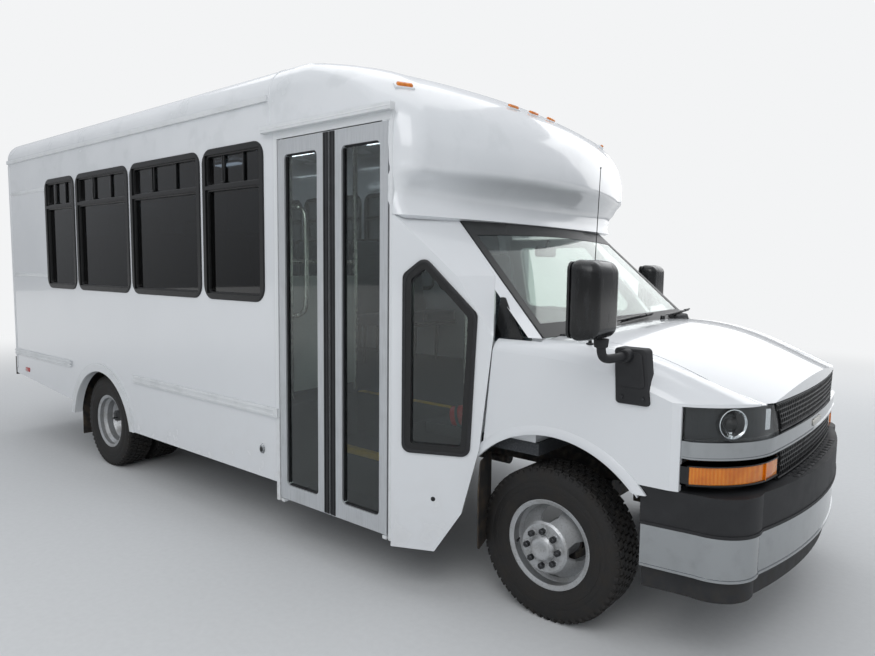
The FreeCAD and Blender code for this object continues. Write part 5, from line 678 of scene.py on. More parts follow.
@dataclass
class Coachwork:
    """Trim of the body: rails, seams, drip lips, corner strips, step lamp, plug, reflectors and flaps."""

    rail_low: float = 0.777
    rail_high: float = 0.833
    rail_depth: float = 0.014
    rail_spans: tuple[tuple[float, float], ...] = ((-0.93, 0.790), (-3.372, -2.06))
    corner: tuple[float, float] = (-3.3835, -3.345)
    corner_heights: tuple[float, float] = (0.640, 2.600)
    step_lamp: Spot = (0.662, -1.219, 0.562)
    plug: Spot = (1.941, -1.1245, 0.521)
    plug_out: Spot = (0.418, -0.908, 0.0)
    screw_heights: tuple[float, ...] = (0.40, 0.53, 0.66)
    drip: tuple[float, float] = (0.722, 1.752)
    drip_low: float = 2.430
    rear_rail_heights: tuple[float, ...] = (1.562, 2.327)

    def ribs(self) -> None:
        """Runs two rounded ribs along each rub rail."""
        piece = Piece("rub_rail_ribs")
        for first, last in self.rail_spans:
            for low in (self.rail_low + 0.006, self.rail_high - 0.020):
                piece.block((first, low, self.rail_depth - 0.004),
                            (last, low + 0.014, self.rail_depth + 0.003), RIGHT_SIDE, edge=0.003)
        piece.both_sides().finish(TRIM_WHITE)

    def drip_rail(self) -> None:
        """Lays the grooved lips of the rail over the entry door, with its two end caps."""
        piece = Piece("door_drip_rail_lips")
        for rise, out in ((0.006, 0.030), (0.017, 0.0325), (0.028, 0.030)):
            start, end = ((lead, -AT.side - out, self.drip_low + rise) for lead in self.drip)
            piece.rod(start, end, 0.0055, steps=12)
        for end in self.drip:
            piece.block((end - 0.004, self.drip_low - 0.003, 0.0),
                        (end + 0.004, self.drip_low + 0.036, 0.037), RIGHT_SIDE, edge=0.002)
        piece.finish(TRIM_WHITE)

    def rear_rails(self) -> None:
        """Lays the seam rails behind the last window and a fine seam between two windows."""
        piece = Piece("rear_side_seam_rails")
        for height in self.rear_rail_heights:
            piece.block((-3.330, height - 0.016, -0.002), (-2.520, height + 0.016, 0.004), RIGHT_SIDE,
                        edge=0.003)
            piece.block((-0.955, height - 0.001, -0.002), (-0.933, height + 0.001, 0.0012), RIGHT_SIDE)
        piece.both_sides().finish(TRIM_WHITE)

    def corner_trims(self) -> None:
        """Covers the rear corners of the long walls with rounded strips."""
        piece = Piece("corner_trims")
        low, high = self.corner_heights
        rear, front = self.corner
        piece.block((rear, low, -0.010), (front, high, 0.0035), RIGHT_SIDE, edge=0.003)
        piece.block((rear, low, -0.038), (rear + 0.0045, high, 0.0030), RIGHT_SIDE, edge=0.002)
        piece.both_sides().finish(TRIM_WHITE)

    def side_fittings(self) -> None:
        """Sets the step lamp and the panel plug on the right side and a red reflector on each side."""
        lamp = Piece("step_lamp_bezel")
        place = Matrix.Translation(self.step_lamp) @ Matrix.Rotation(math.radians(90), 4, "X")
        oval = Matrix.Diagonal((0.82, 1.22, 1.0, 1.0))
        form = bmesh.new()
        bmesh.ops.create_cone(form, cap_ends=True, segments=32, radius1=0.026, radius2=0.020, depth=0.014)
        lamp.add(form, (place @ oval @ Matrix.Translation((0, 0, 0.006)),))
        lamp.finish(CHROME)
        Piece("step_lamp_lens").ball((0.662, -1.2325, 0.560), (0.012, 0.006, 0.016)).finish(LAMP_DARK)
        plug = Piece("front_panel_plug")
        out, face = Vector(self.plug_out), Vector(self.plug)
        plug.rod(face - out * 0.004, face + out * 0.004, 0.012, steps=24, edge=0.0025)
        plug.rod(face + out * 0.004, face + out * 0.0055, 0.005, steps=12, edge=0.0005)
        plug.finish(SMOOTH_BLACK)
        for name, place, middle in (("right", RIGHT_SIDE, -3.100), ("left", LEFT_SIDE, 3.100)):
            outline = oblong((middle - 0.045, 0.628), (middle + 0.045, 0.668))
            reflector = Piece("side_reflector_" + name)
            reflector.slab(outline, 0.0, 0.008, place, corner=0.008, edge=0.003).finish(RED)

    def splash_flap(self) -> None:
        """Hangs the rubber flap behind each front wheel, held by three screws."""
        place = standing((2.150, -0.985, 0), (0.35, -0.94, 0))
        flap = Piece("front_splash_flaps")
        flap.slab([(-0.150, 0.30), (0.080, 0.30), (0.092, 0.60), (0.060, 0.74), (-0.150, 0.74)], 0.0, 0.006,
                  place, corner=0.02, edge=0.001)
        flap.both_sides().finish(FLAP)
        screws = Piece("front_splash_flap_screws")
        for height in self.screw_heights:
            spot = place @ Vector((0.050, height, 0.0))
            out = place.to_3x3() @ Vector((0, 0, 1))
            screws.rod(spot + out * 0.002, spot + out * 0.0095, 0.011, 0.008, steps=12, edge=0.001)
        screws.both_sides().finish(STAINLESS)

    def build(self) -> None:
        """Builds the trim."""
        self.ribs()
        self.drip_rail()
        self.rear_rails()
        self.corner_trims()
        self.side_fittings()
        self.splash_flap()


@dataclass
class FrontCap:
    """The moulded cap over the cab: brow, hollow underside, corner and middle marker lamps."""

    tip: float = 2.046
    crown: float = 2.850
    edge_rise: float = 2.818
    edge_radius: float = 0.165
    header: float = 2.430
    post: float = 1.7415
    left_wall: float = 1.006
    cab_half: float = 0.985
    wall: float = 0.030
    foot: float = 1.930
    eaves: float = 2.445
    step: float = 0.0125
    last_levels: tuple[float, ...] = (2.826, 2.832, 2.838, 2.843, 2.847, 2.8492)
    marker_spots: tuple[tuple[float, float], ...] = ((-0.218, 2.618), (0.0, 2.618), (0.218, 2.618),
                                                     (-1.085, 2.576), (1.085, 2.576))
    rows: tuple[tuple[float, float, float, float], ...] = (
        (1.930, 0.138, 0.060, 0.100), (1.985, 0.158, 0.060, 0.110), (2.050, 0.150, 0.080, 0.125),
        (2.105, 0.092, 0.105, 0.150), (2.148, 0.018, 0.130, 0.175), (2.185, 0.000, 0.150, 0.180),
        (2.300, 0.016, 0.160, 0.165), (2.430, 0.070, 0.190, 0.145), (2.550, 0.180, 0.240, 0.120),
        (2.630, 0.296, 0.290, 0.100), (2.740, 0.530, 0.420, 0.090), (2.849, 0.940, 0.560, 0.060))

    def row_at(self, height: float) -> tuple[float, float, float]:
        """Reads setback, corner radius and bow at a height from a smooth line through the rows."""
        rows = self.rows
        spot = next((i for i in range(len(rows) - 2) if height < rows[i + 1][0]), len(rows) - 2)
        low, high = rows[spot], rows[spot + 1]
        before, after = rows[max(spot - 1, 0)], rows[min(spot + 2, len(rows) - 1)]
        span = high[0] - low[0]
        t = (height - low[0]) / span
        values = []
        for k in (1, 2, 3):
            lead = (high[k] - before[k]) / (high[0] - before[0]) * span
            tail = (after[k] - low[k]) / (after[0] - low[0]) * span
            values.append((2 * t ** 3 - 3 * t ** 2 + 1) * low[k] + (t ** 3 - 2 * t ** 2 + t) * lead
                          + (3 * t ** 2 - 2 * t ** 3) * high[k] + (t ** 3 - t ** 2) * tail)
        return values[0], values[1], values[2]

    def half_at(self, height: float) -> float:
        """Gives half the body's width at a height, round the rolled edge and over the crown."""
        middle = self.edge_rise - self.edge_radius
        inner = AT.side - self.edge_radius
        if height <= middle:
            return AT.side
        if height <= self.edge_rise:
            return inner + math.sqrt(self.edge_radius ** 2 - (height - middle) ** 2)
        return inner * math.sqrt(max(0.0, 1 - (height - self.edge_rise) / (self.crown - self.edge_rise)))

    def outline(self, height: float) -> list[Spot]:
        """Gives the cap's level outline from its right rear end round to its left one."""
        back, radius, bow = self.row_at(height)
        half, edge = AT.side, self.half_at(height)
        front = self.tip - back
        turn = front - bow - radius
        straight = [AT.seam, self.left_wall, self.post]
        straight += [self.post + (turn - self.post) * k / 3 for k in (1, 2)]
        right = [(min(lead, max(turn, AT.seam)), -half) for lead in straight]
        for step in range(9):
            angle = math.pi / 2 * step / 8
            right.append((turn + radius * math.sin(angle), -(half - radius + radius * math.cos(angle))))
        span = half - radius
        right += [(front - bow * (k / 12) ** 2, -span * k / 12) for k in range(11, -1, -1)]
        whole = right + [(x, self.tucked(x, -y, height)) for x, y in reversed(right[:-1])]
        return [(max(x, AT.seam), max(-edge, min(edge, y)), height) for x, y in whole]

    def tucked(self, lead: float, side: float, height: float) -> float:
        """Draws the cap's foot in over the driver's door, from the wall to the cab's own width."""
        along = min(1.0, max(0.0, (lead - self.left_wall) / 0.30))
        up = min(1.0, max(0.0, (height - self.foot) / 0.21))
        share = (3 - 2 * along) * along ** 2 * (1 - (3 - 2 * up) * up ** 2)
        return min(side, AT.side - share * (AT.side - self.cab_half))

    def build(self) -> None:
        """Bridges the outlines, gives the skin its wall and adds flange and marker lamps."""
        heights = [round(self.foot + self.step * k, 4) for k in range(40)] + [self.header]
        heights += [round(self.eaves + self.step * k, 4) for k in range(31)]
        heights += [*self.last_levels, self.crown]
        piece = Piece("moulded_cap")
        mesh = piece.mesh
        chains = [[mesh.verts.new(spot) for spot in self.outline(height)] for height in heights]
        last = len(chains[0]) - 1
        for height, low, high in zip(heights, chains, chains[1:]):
            first, end = (0, last) if height >= self.header else (2, last - 1)
            near = [mesh.edges.get(p) or mesh.edges.new(p)
                    for p in zip(low[first:end], low[first + 1:end + 1])]
            far = [mesh.edges.get(p) or mesh.edges.new(p)
                   for p in zip(high[first:end], high[first + 1:end + 1])]
            bmesh.ops.bridge_loops(mesh, edges=near + far)
        bmesh.ops.remove_doubles(mesh, verts=mesh.verts, dist=1e-5)
        bmesh.ops.delete(mesh, geom=[v for v in mesh.verts if not v.link_faces], context="VERTS")
        bmesh.ops.recalc_face_normals(mesh, faces=mesh.faces)
        top = max(mesh.faces, key=lambda face: face.calc_center_median().z)
        if top.normal.z < 0:
            bmesh.ops.reverse_faces(mesh, faces=mesh.faces)
        bmesh.ops.solidify(mesh, geom=mesh.faces[:], thickness=self.wall)
        piece.finish(ENAMEL, replaces=("front_cap",), angle=50)
        self.flange()
        self.markers()

    def flange(self) -> None:
        """Raises the flat strip along the cap's rear edge, over both walls and the roof."""
        strip = Piece("cap_rear_flange")
        spots = [self.outline(self.header + 0.03 + self.step * k)[0] for k in range(31)]
        for low, high in zip(spots, spots[1:]):
            place = spanned(low, (low[0] + 0.1, low[1], low[2]), high)
            rise = (Vector(high) - Vector(low)).length
            strip.block((0.001, -0.0006, -0.002), (0.022, rise + 0.0006, 0.0026), place, edge=0.0008,
                        steps=1)
        strip.both_sides().finish(ENAMEL)

    def on_skin(self, side: float, height: float) -> Vector:
        """Finds the spot of the cap's skin at a side reach and a height, seen from ahead."""
        back, radius, bow = self.row_at(height)
        front, span = self.tip - back, AT.side - radius
        if abs(side) <= span:
            return Vector((front - bow * (side / span) ** 2, side, height))
        lead = front - bow - radius + math.sqrt(radius ** 2 - (abs(side) - span) ** 2)
        return Vector((lead, side, height))

    def markers(self) -> None:
        """Seats five amber lamps in shallow white housings on the cap."""
        lamps, seats = Piece("cap_marker_lamps"), Piece("cap_marker_seats")
        for side, height in self.marker_spots:
            spot = self.on_skin(side, height)
            place = spanned(spot, self.on_skin(side + 0.02, height), self.on_skin(side, height + 0.02))
            seats.block((-0.054, -0.022, -0.010), (0.054, 0.026, 0.006), place, edge=0.006, steps=3)
            lamps.block((-0.044, -0.014, 0.002), (0.044, 0.015, 0.019), place, edge=0.007, steps=4,
                        taper=(0.94, 0.8))
        seats.finish(ENAMEL)
        lamps.finish(AMBER)


@dataclass
class SideGlazing:
    """Rubber lips, beads, sliding vents and catches of the saloon windows."""

    spans: tuple[tuple[float, float], ...] = ((0.055, 0.700), (-0.925, 0.017), (-1.868, -0.963),
                                              (-2.507, -1.906))
    sill: float = 1.458
    head: float = 2.401
    corner: float = 0.09
    low_pane: tuple[float, float] = (1.492, 2.150)
    vent: tuple[float, float] = (2.174, 2.367)
    frame: float = 0.034
    pane: float = -0.025
    bars: tuple[tuple[float, float], ...] = ((0.66, 0.0065), (0.345, 0.0055), (0.315, 0.0055))
    catch: float = 0.33

    def lips(self) -> None:
        """Seals each frame to the wall with a rounded rubber lip."""
        piece = Piece("side_window_rubber_lips")
        for rear, front in self.spans:
            piece.slab(oblong((rear - 0.004, self.sill - 0.004), (front + 0.004, self.head + 0.004)), -0.002,
                       0.008, RIGHT_SIDE, corner=self.corner, rim=0.011, edge=0.003)
        piece.both_sides().finish(SEAL)

    def beads(self) -> None:
        """Rounds the corners of the panes with a bead inside the frame."""
        piece = Piece("side_window_beads")
        for rear, front in self.spans:
            for low, high in (self.low_pane, self.vent):
                piece.slab(oblong((rear + self.frame - 0.018, low - 0.016),
                                  (front - self.frame + 0.018, high + 0.016)), self.pane + 0.0005, 0.020,
                           RIGHT_SIDE, corner=0.050, rim=0.026, edge=0.004)
        piece.both_sides().finish(FRAME_BLACK)

    def vents(self) -> None:
        """Divides each vent by a bar and by the meeting stiles of its slider, and adds the catch."""
        bars = Piece("side_window_vent_bars")
        catches = Piece("side_window_vent_catches")
        low, high = self.vent
        for rear, front in self.spans:
            for share, half in self.bars:
                middle = rear + share * (front - rear)
                bars.block((middle - half, low - 0.002, self.pane),
                           (middle + half, high + 0.002, self.pane + 0.014), RIGHT_SIDE, edge=0.002)
            middle = rear + self.catch * (front - rear)
            catches.block((middle - 0.020, low + 0.012, self.pane + 0.010),
                          (middle + 0.020, low + 0.024, self.pane + 0.022), RIGHT_SIDE, edge=0.003)
        bars.both_sides().finish(FRAME_BLACK)
        catches.both_sides().finish(SMOOTH_BLACK)

    def build(self) -> None:
        """Builds the glazing trim of both long walls."""
        self.lips()
        self.beads()
        self.vents()


@dataclass
class EntryDoor:
    """Gaskets, meeting seals, handrail, nosings and sill plate of the entry."""

    panes: tuple[tuple[str, float, float], ...] = (("rear", 0.895, 1.177), ("front", 1.373, 1.655))
    pane_low: float = 0.386
    pane_high: float = 2.299
    leaf_low: float = 0.300
    leaf_high: float = 2.385
    seals: tuple[tuple[str, float, float], ...] = (("rear", 1.2255, 1.2725), ("front", 1.2775, 1.3235))
    treads: tuple[tuple[float, float], ...] = ((-0.889, 0.575), (-0.579, 0.850))

    def gaskets(self) -> None:
        """Frames each pane with a rubber on both faces of the leaf."""
        for name, rear, front in self.panes:
            piece = Piece("entry_%s_gasket" % name)
            for start, depth in ((-0.0205, 0.011), (-0.0370, 0.011)):
                piece.slab(oblong((rear - 0.002, self.pane_low - 0.002),
                                  (front + 0.002, self.pane_high + 0.002)), start, depth, RIGHT_SIDE,
                           corner=0.010, rim=0.009, edge=0.003)
            piece.finish(SEAL, "entry_door_" + name)

    def meeting_seals(self) -> None:
        """Wraps the free edge of each leaf in a finned rubber."""
        for name, rear, front in self.seals:
            piece = Piece("entry_%s_meeting_seal" % name)
            piece.block((rear, self.leaf_low + 0.001, -0.0412), (front, self.leaf_high - 0.001, 0.0012),
                        RIGHT_SIDE, edge=0.004)
            for share in (0.25, 0.75):
                middle = rear + share * (front - rear)
                piece.block((middle - 0.003, self.leaf_low + 0.002, 0.000),
                            (middle + 0.003, self.leaf_high - 0.002, 0.0042), RIGHT_SIDE, edge=0.002)
            piece.finish(SEAL, "entry_door_" + name)

    def header(self) -> None:
        """Closes the gap over the leaves with a dark block, a painted shadow of that gap, and lines the two
        posts.
        """
        piece = Piece("entry_header_painted_shadow_and_post_lines")
        # The dark seal-coloured block over the leaves is painted shadow of the gap under the drip rail, not
        # a real brush.
        piece.block((0.829, self.leaf_high + 0.006, -0.046), (1.721, 2.4045, -0.006), RIGHT_SIDE, edge=0.003)
        for lead in (0.8285, 1.7175):
            piece.block((lead, self.leaf_low, -0.044), (lead + 0.004, 2.386, -0.012), RIGHT_SIDE, edge=0.001)
        piece.finish(SEAL)

    def handrail(self) -> None:
        """Bends the grab handle on the inside of the rear leaf, with its two flanges."""
        piece = Piece("entry_grab_handle")
        inner = -1.178
        points = [(0.868, inner, 2.02), (0.868, inner + 0.045, 2.02), (0.885, inner + 0.078, 2.012),
                  (0.930, inner + 0.080, 1.985), (0.940, inner + 0.080, 1.90), (0.940, inner + 0.080, 1.50),
                  (0.930, inner + 0.080, 1.415), (0.885, inner + 0.078, 1.388),
                  (0.868, inner + 0.045, 1.380), (0.868, inner, 1.380)]
        piece.bent(points, 0.0145, steps=5)
        for height in (2.02, 1.380):
            piece.rod((0.868, inner - 0.002, height), (0.868, inner + 0.007, height), 0.024, steps=28,
                      edge=0.002)
        piece.finish(STAINLESS, "entry_door_rear")

    def nosings(self) -> None:
        """Edges each step with ribbed yellow vinyl and lays a ribbed plate over the sill."""
        piece = Piece("step_nosings")
        for edge, height in self.treads:
            piece.block((0.832, edge - 0.004, height - 0.030), (1.718, edge + 0.002, height + 0.003),
                        edge=0.002)
            piece.block((0.832, edge - 0.004, height - 0.001), (1.718, edge + 0.046, height + 0.003),
                        edge=0.0015)
        piece.finish(NOSING)
        plates = Piece("entry_sill_plate")
        plates.block((0.832, -1.1705, 0.3155), (1.718, -1.120, 0.3195), edge=0.0015)
        for number in range(5):
            plates.block((0.840, -1.164 + number * 0.009, 0.319), (1.710, -1.160 + number * 0.009, 0.3212),
                         edge=0.0008)
        plates.finish(LEAF_METAL)

    def build(self) -> None:
        """Builds the entry's fine pieces."""
        self.gaskets()
        self.meeting_seals()
        self.header()
        self.handrail()
        self.nosings()


@dataclass
class QuarterWindow:
    """The five-sided window beside the door, with what shows behind it."""

    corners: tuple[tuple[float, float], ...] = ((0.057, 0.750), (0.406, 0.750), (0.436, 1.454),
                                                (0.169, 1.728), (0.057, 1.640))
    radius: float = 0.045
    bottle_foot: Spot = (1.905, -0.930, 0.905)
    bottle_neck: Spot = (2.050, -0.880, 0.935)

    def rubber(self) -> None:
        """Laps the frame with a rounded outer rubber and beads the pane."""
        place = standing((1.740, -AT.side, 0), (0.9085, 0.4179, 0))
        lip = Piece("quarter_window_rubber")
        lip.slab(self.corners, 0.006, 0.005, place, corner=self.radius, rim=0.018, edge=0.003)
        lip.finish(SEAL)
        bead = Piece("quarter_window_bead")
        across, up = 0.245, 1.26
        inner = [(across + (u - across) * 0.80, up + (v - up) * 0.925) for u, v in self.corners]
        bead.slab(inner, -0.016, 0.012, place, corner=0.03, rim=0.010, edge=0.003)
        bead.finish(SEAL)

    def extinguisher(self) -> None:
        """Stands the small extinguisher on the entry's floor behind the pane."""
        body = Piece("fire_extinguisher_body")
        low, high = self.bottle_foot, self.bottle_neck
        body.rod(low, high, 0.054, steps=36, edge=0.012)
        body.finish(RED_PAINT)
        head = Piece("fire_extinguisher_head")
        head.rod(high, (2.090, -0.866, 0.943), 0.020, 0.014, steps=20, edge=0.003)
        head.rod((2.085, -0.868, 0.94), (2.120, -0.856, 0.985), 0.008, steps=10)
        head.finish(SMOOTH_BLACK)
        cradle = Piece("fire_extinguisher_cradle")
        for share in (0.25, 0.75):
            spot = Vector(low).lerp(Vector(high), share)
            step = (Vector(high) - Vector(low)).normalized() * 0.008
            cradle.rod(spot - step, spot + step, 0.0565, steps=36, edge=0.002)
            cradle.block((spot.x - 0.012, spot.y - 0.010, AT.on_floor),
                         (spot.x + 0.012, spot.y + 0.010, spot.z), edge=0.002)
        cradle.finish(SMOOTH_BLACK)

    def build(self) -> None:
        """Builds the window's pieces."""
        self.rubber()
        self.extinguisher()


@dataclass
class Windscreen:
    """Printed border with its shade band, wipers, cowl, pillar foot, inside mirror and visors."""

    low: Spot = (2.445, 0.940, 1.352)
    high: Spot = (1.830, 0.800, 1.930)
    out: Spot = (0.0011, 0.0, 0.0013)
    frit: float = 0.050
    wipers_at: tuple[tuple[Spot, Spot, Spot], ...] = (
        ((2.522, -0.500, 1.388), (2.500, -0.330, 1.400), (2.478, 0.060, 1.412)),
        ((2.520, 0.300, 1.388), (2.500, 0.440, 1.400), (2.470, 0.740, 1.410)))
    slots: int = 22
    slot_pitch: float = 0.070

    def border(self) -> None:
        """Prints the black border as thin bands that lie on the screen."""
        pillar = Vector(self.high) - Vector(self.low)
        sideways = (Vector((0, 1, 0)) - pillar * (pillar.y / pillar.length_squared)).normalized()
        inner = Vector(self.low) - sideways * self.frit
        twin = Vector((1, -1, 1))
        for name, point, normal, side, lift in (("low", (2.389, 0, 1.412), (0, 0, 1), 0.0, 1.35),
                                                ("top", (1.93, 0, 1.845), (0.5, 0, -1), 0.0, 1.35),
                                                ("left", inner, -sideways, 0.0004, 1.0),
                                                ("right", inner * twin, -sideways * twin, -0.0004, 1.0)):
            piece = Piece("windscreen_frit_" + name).copy_node("windscreen").cut_off(point, normal)
            shift = (self.out[0] * lift, side, self.out[2] * lift)
            bmesh.ops.translate(piece.mesh, vec=shift, verts=piece.mesh.verts)
            piece.finish(FRIT)

    def wipers(self) -> None:
        """Parks two wipers along the foot of the screen."""
        arms = Piece("wiper_arms")
        blades = Piece("wiper_blades")
        for pivot, bend, tip in self.wipers_at:
            x, y, z = pivot
            arms.rod((x, y, z - 0.020), (x, y, z + 0.016), 0.016, 0.012, steps=20, edge=0.003)
            knee = ((x + bend[0]) / 2, (y + bend[1]) / 2, z + 0.022)
            arms.bent([pivot, knee, bend, tip], 0.0055, steps=3)
            away = (Vector(tip) - Vector(bend)).normalized()
            middle = Vector(tip) - Vector((0.006, 0, 0.006))
            start, end = middle - away * 0.26, middle + away * 0.24
            lip = Vector((0.004, 0, 0.009))
            blades.rod(start, end, 0.0055, steps=8)
            blades.rod(start - lip, end - lip, 0.003, steps=6)
            for share in (-0.16, 0.14):
                spot = middle + away * share
                blades.rod(spot - away * 0.02, spot + away * 0.02, 0.0085, 0.006, steps=8)
        arms.finish(SMOOTH_BLACK)
        blades.finish(SEAL)

    def cowl(self) -> None:
        """Covers the cowl, lays its louvres and raises the air box at its far end."""
        slots = Piece("cowl_louvres")
        for number in range(self.slots):
            middle = (number - (self.slots - 1) / 2) * self.slot_pitch
            slots.block((2.470, middle - 0.026, 1.362), (2.498, middle + 0.026, 1.3685), edge=0.002)
        slots.finish(SMOOTH_BLACK)
        sheet = Piece("cowl_cover")
        sheet.block((2.438, -0.800, 1.3590), (2.506, 0.800, 1.3636), edge=0.0015)
        sheet.finish(GRAINED)
        box = Piece("cowl_air_box")
        box.block((2.420, 0.60, 1.350), (2.500, 0.82, 1.392), edge=0.012, steps=3, taper=(0.8, 0.9))
        box.finish(GRAINED)

    def pillar_foot(self) -> None:
        """Fills the small triangle between the pillar, the front panel and the fender."""
        place = spanned((2.186, -0.948, 1.352), (2.330, -0.950, 1.350), (2.200, -0.921, 1.522))
        outline = [(-0.012, -0.010), (0.155, -0.010), (0.020, 0.185), (-0.004, 0.185)]
        piece = Piece("pillar_foot_panel_right")
        piece.slab(outline, -0.010, 0.012, place, corner=0.006, edge=0.002).finish(GLOSS_BLACK)

    def inside_mirror(self) -> None:
        """Hangs the mirror behind the screen."""
        piece = Piece("inside_mirror_shell")
        piece.block((1.868, -0.110, 1.742), (1.896, 0.110, 1.806), edge=0.012, steps=3)
        piece.rod((1.884, 0.0, 1.800), (1.902, 0.0, 1.846), 0.008, steps=12)
        piece.finish(SMOOTH_BLACK)
        glass = Piece("inside_mirror_glass")
        glass.block((1.8655, -0.100, 1.750), (1.8695, 0.100, 1.798), edge=0.0015)
        glass.finish(SILVERED)

    def sun_visors(self) -> None:
        """Folds the two visors against the header."""
        piece = Piece("sun_visors")
        for middle in (-0.42, 0.42):
            piece.block((1.690, middle - 0.20, 1.895), (1.830, middle + 0.20, 1.913), edge=0.008, steps=3)
        piece.finish(BOARD)

    def build(self) -> None:
        """Builds the screen's pieces."""
        self.border()
        self.wipers()
        self.cowl()
        self.pillar_foot()
        self.inside_mirror()
        self.sun_visors()


@dataclass
class FrontFace:
    """Openwork of the grilles, head lamps, turn signals, arch lips and the bright bar's lips."""

    nose: float = 3.403
    sweep: float = 0.033
    half: float = 0.640
    cell: float = 0.0145
    set_back: float = 0.0135
    lamp: Spot = (3.276, -0.860, 1.0655)
    lamp_along: Spot = (0.648, 0.762, 0.0)
    grilles: tuple[tuple[str, float, float, float, float], ...] = (("upper", 1.004, 1.127, 0.556, 0.628),
                                                                   ("lower", 0.798, 0.917, 0.552, 0.552))

    def at_nose(self, side: float, height: float, back: float) -> Matrix:
        """Gives a frame on the swept front, its w pointing forward."""
        reach = self.nose - self.sweep * (side / self.half) ** 2 - back
        lean = 2 * self.sweep * side / self.half ** 2
        return standing((reach, side, height), (-lean, 1.0, 0.0))

    def openwork(self, name: str, low: float, high: float, half_low: float, half_high: float) -> None:
        """Fills one grille with rows of six-sided cells.

        Args:
            name: The piece's name.
            low: Height of its lower edge.
            high: Height of its upper edge.
            half_low: Half its width below.
            half_high: Half its width above.
        """
        form = bmesh.new()
        bmesh.ops.create_circle(form, cap_ends=True, segments=6, radius=self.cell)
        face = form.faces[:]
        ring = bmesh.ops.inset_region(form, faces=face, thickness=0.0030, use_even_offset=True,
                                      use_boundary=True)["faces"]
        bmesh.ops.delete(form, geom=face, context="FACES_ONLY")
        pushed = bmesh.ops.extrude_face_region(form, geom=ring)["geom"]
        top = [item for item in pushed if isinstance(item, bmesh.types.BMVert)]
        bmesh.ops.translate(form, vec=(0, 0, 0.011), verts=top)
        step, rise = self.cell * math.sqrt(3), self.cell * 1.5
        rows = int((high - low - 2 * self.cell) / rise) + 1
        start = (low + high - (rows - 1) * rise) / 2
        places = []
        for row in range(rows):
            height = start + row * rise
            half = half_low + (half_high - half_low) * (height - low) / (high - low) - self.cell
            count = int(half / step)
            shift = 0.5 * step if row % 2 else 0.0
            sides = [number * step + shift for number in range(-count, count + 1)]
            places += [self.at_nose(side, height, self.set_back) for side in sides if abs(side) < half]
        Piece(name).add(form, places).finish(SMOOTH_BLACK, angle=20)

    def borders(self) -> None:
        """Runs a smooth border over and under each grille."""
        piece = Piece("grille_borders")
        for _, low, high, half_low, half_high in self.grilles:
            for height, half in ((high, half_high), (low, half_low)):
                spots = [self.at_nose(half * share / 6, height, 0.006).translation for share in range(-6, 7)]
                piece.bent(spots, 0.0055, steps=2)
        piece.finish(SMOOTH_BLACK)

    def bar_lips(self) -> None:
        """Adds the raised lips of the bright bar and the bare place for a badge."""
        piece = Piece("bright_bar_lips")
        for low, high in ((0.9875, 0.9965), (0.9255, 0.9325)):
            strip = Piece("strip").copy_node("bright_bar").between(low, high)
            bmesh.ops.scale(strip.mesh, vec=(1.0012, 1.003, 1.0), verts=strip.mesh.verts)
            piece.add(strip.mesh)
        piece.finish(CHROME)
        pad = Piece("bare_badge_place")
        pad.slab([(-0.085, -0.016), (0.085, -0.016), (0.085, 0.016), (-0.085, 0.016)], 0.002, 0.0045,
                 self.at_nose(0.0, 0.961, -0.006), corner=0.010, edge=0.0015)
        pad.finish(STAINLESS)

    def head_lamp(self) -> None:
        """Builds both lamps: smoked housing, projector with its bright ring, square bowl, clear lens."""
        out = Vector((self.lamp_along[1], -self.lamp_along[0], 0.0))
        housing = Piece("head_lamp_housings").copy_node("head_lamps")
        for side in (-1, 1):
            verts = [v for v in housing.mesh.verts if v.co.y * side > 0]
            bmesh.ops.translate(housing.mesh, vec=(-0.022, -0.016 * side, 0.0), verts=verts)
        housing.finish(LAMP_DARK)
        centre = Vector(self.lamp) - out * 0.020
        bowl = Piece("head_lamp_projector_rings")
        bowl.lathe([(0.030, -0.010), (0.044, -0.004), (0.054, 0.008), (0.058, 0.012), (0.061, 0.011),
                    (0.061, 0.004), (0.050, -0.010), (0.030, -0.018)], centre, out, steps=56, closed=True)
        bowl.both_sides().finish(REFLECTOR)
        eye = Piece("head_lamp_projector_lenses")
        eye.ball(centre - out * 0.014, (0.030, 0.030, 0.030), steps=32)
        eye.both_sides().finish(GLASS_DARK)
        shield = Piece("head_lamp_shields")
        frame_at = standing(centre + out * 0.006, self.lamp_along)
        shield.slab([(0.006, -0.050), (0.046, -0.030), (0.052, 0.0), (0.046, 0.030), (0.006, 0.050),
                     (0.018, 0.0)], -0.006, 0.008, frame_at, edge=0.002)
        shield.both_sides().finish(GLOSS_BLACK)
        inner = Piece("head_lamp_inner_bowls")
        place = standing((3.352, -0.700, 1.0655), (0.45, 0.893, 0.0))
        inner.slab(oblong((-0.052, -0.044), (0.052, 0.044)), -0.033, 0.005, place, corner=0.006)
        inner.both_sides().finish(REFLECTOR)
        Piece("head_lamp_lenses").copy_node("head_lamps").finish(LENS, replaces=("head_lamps",))

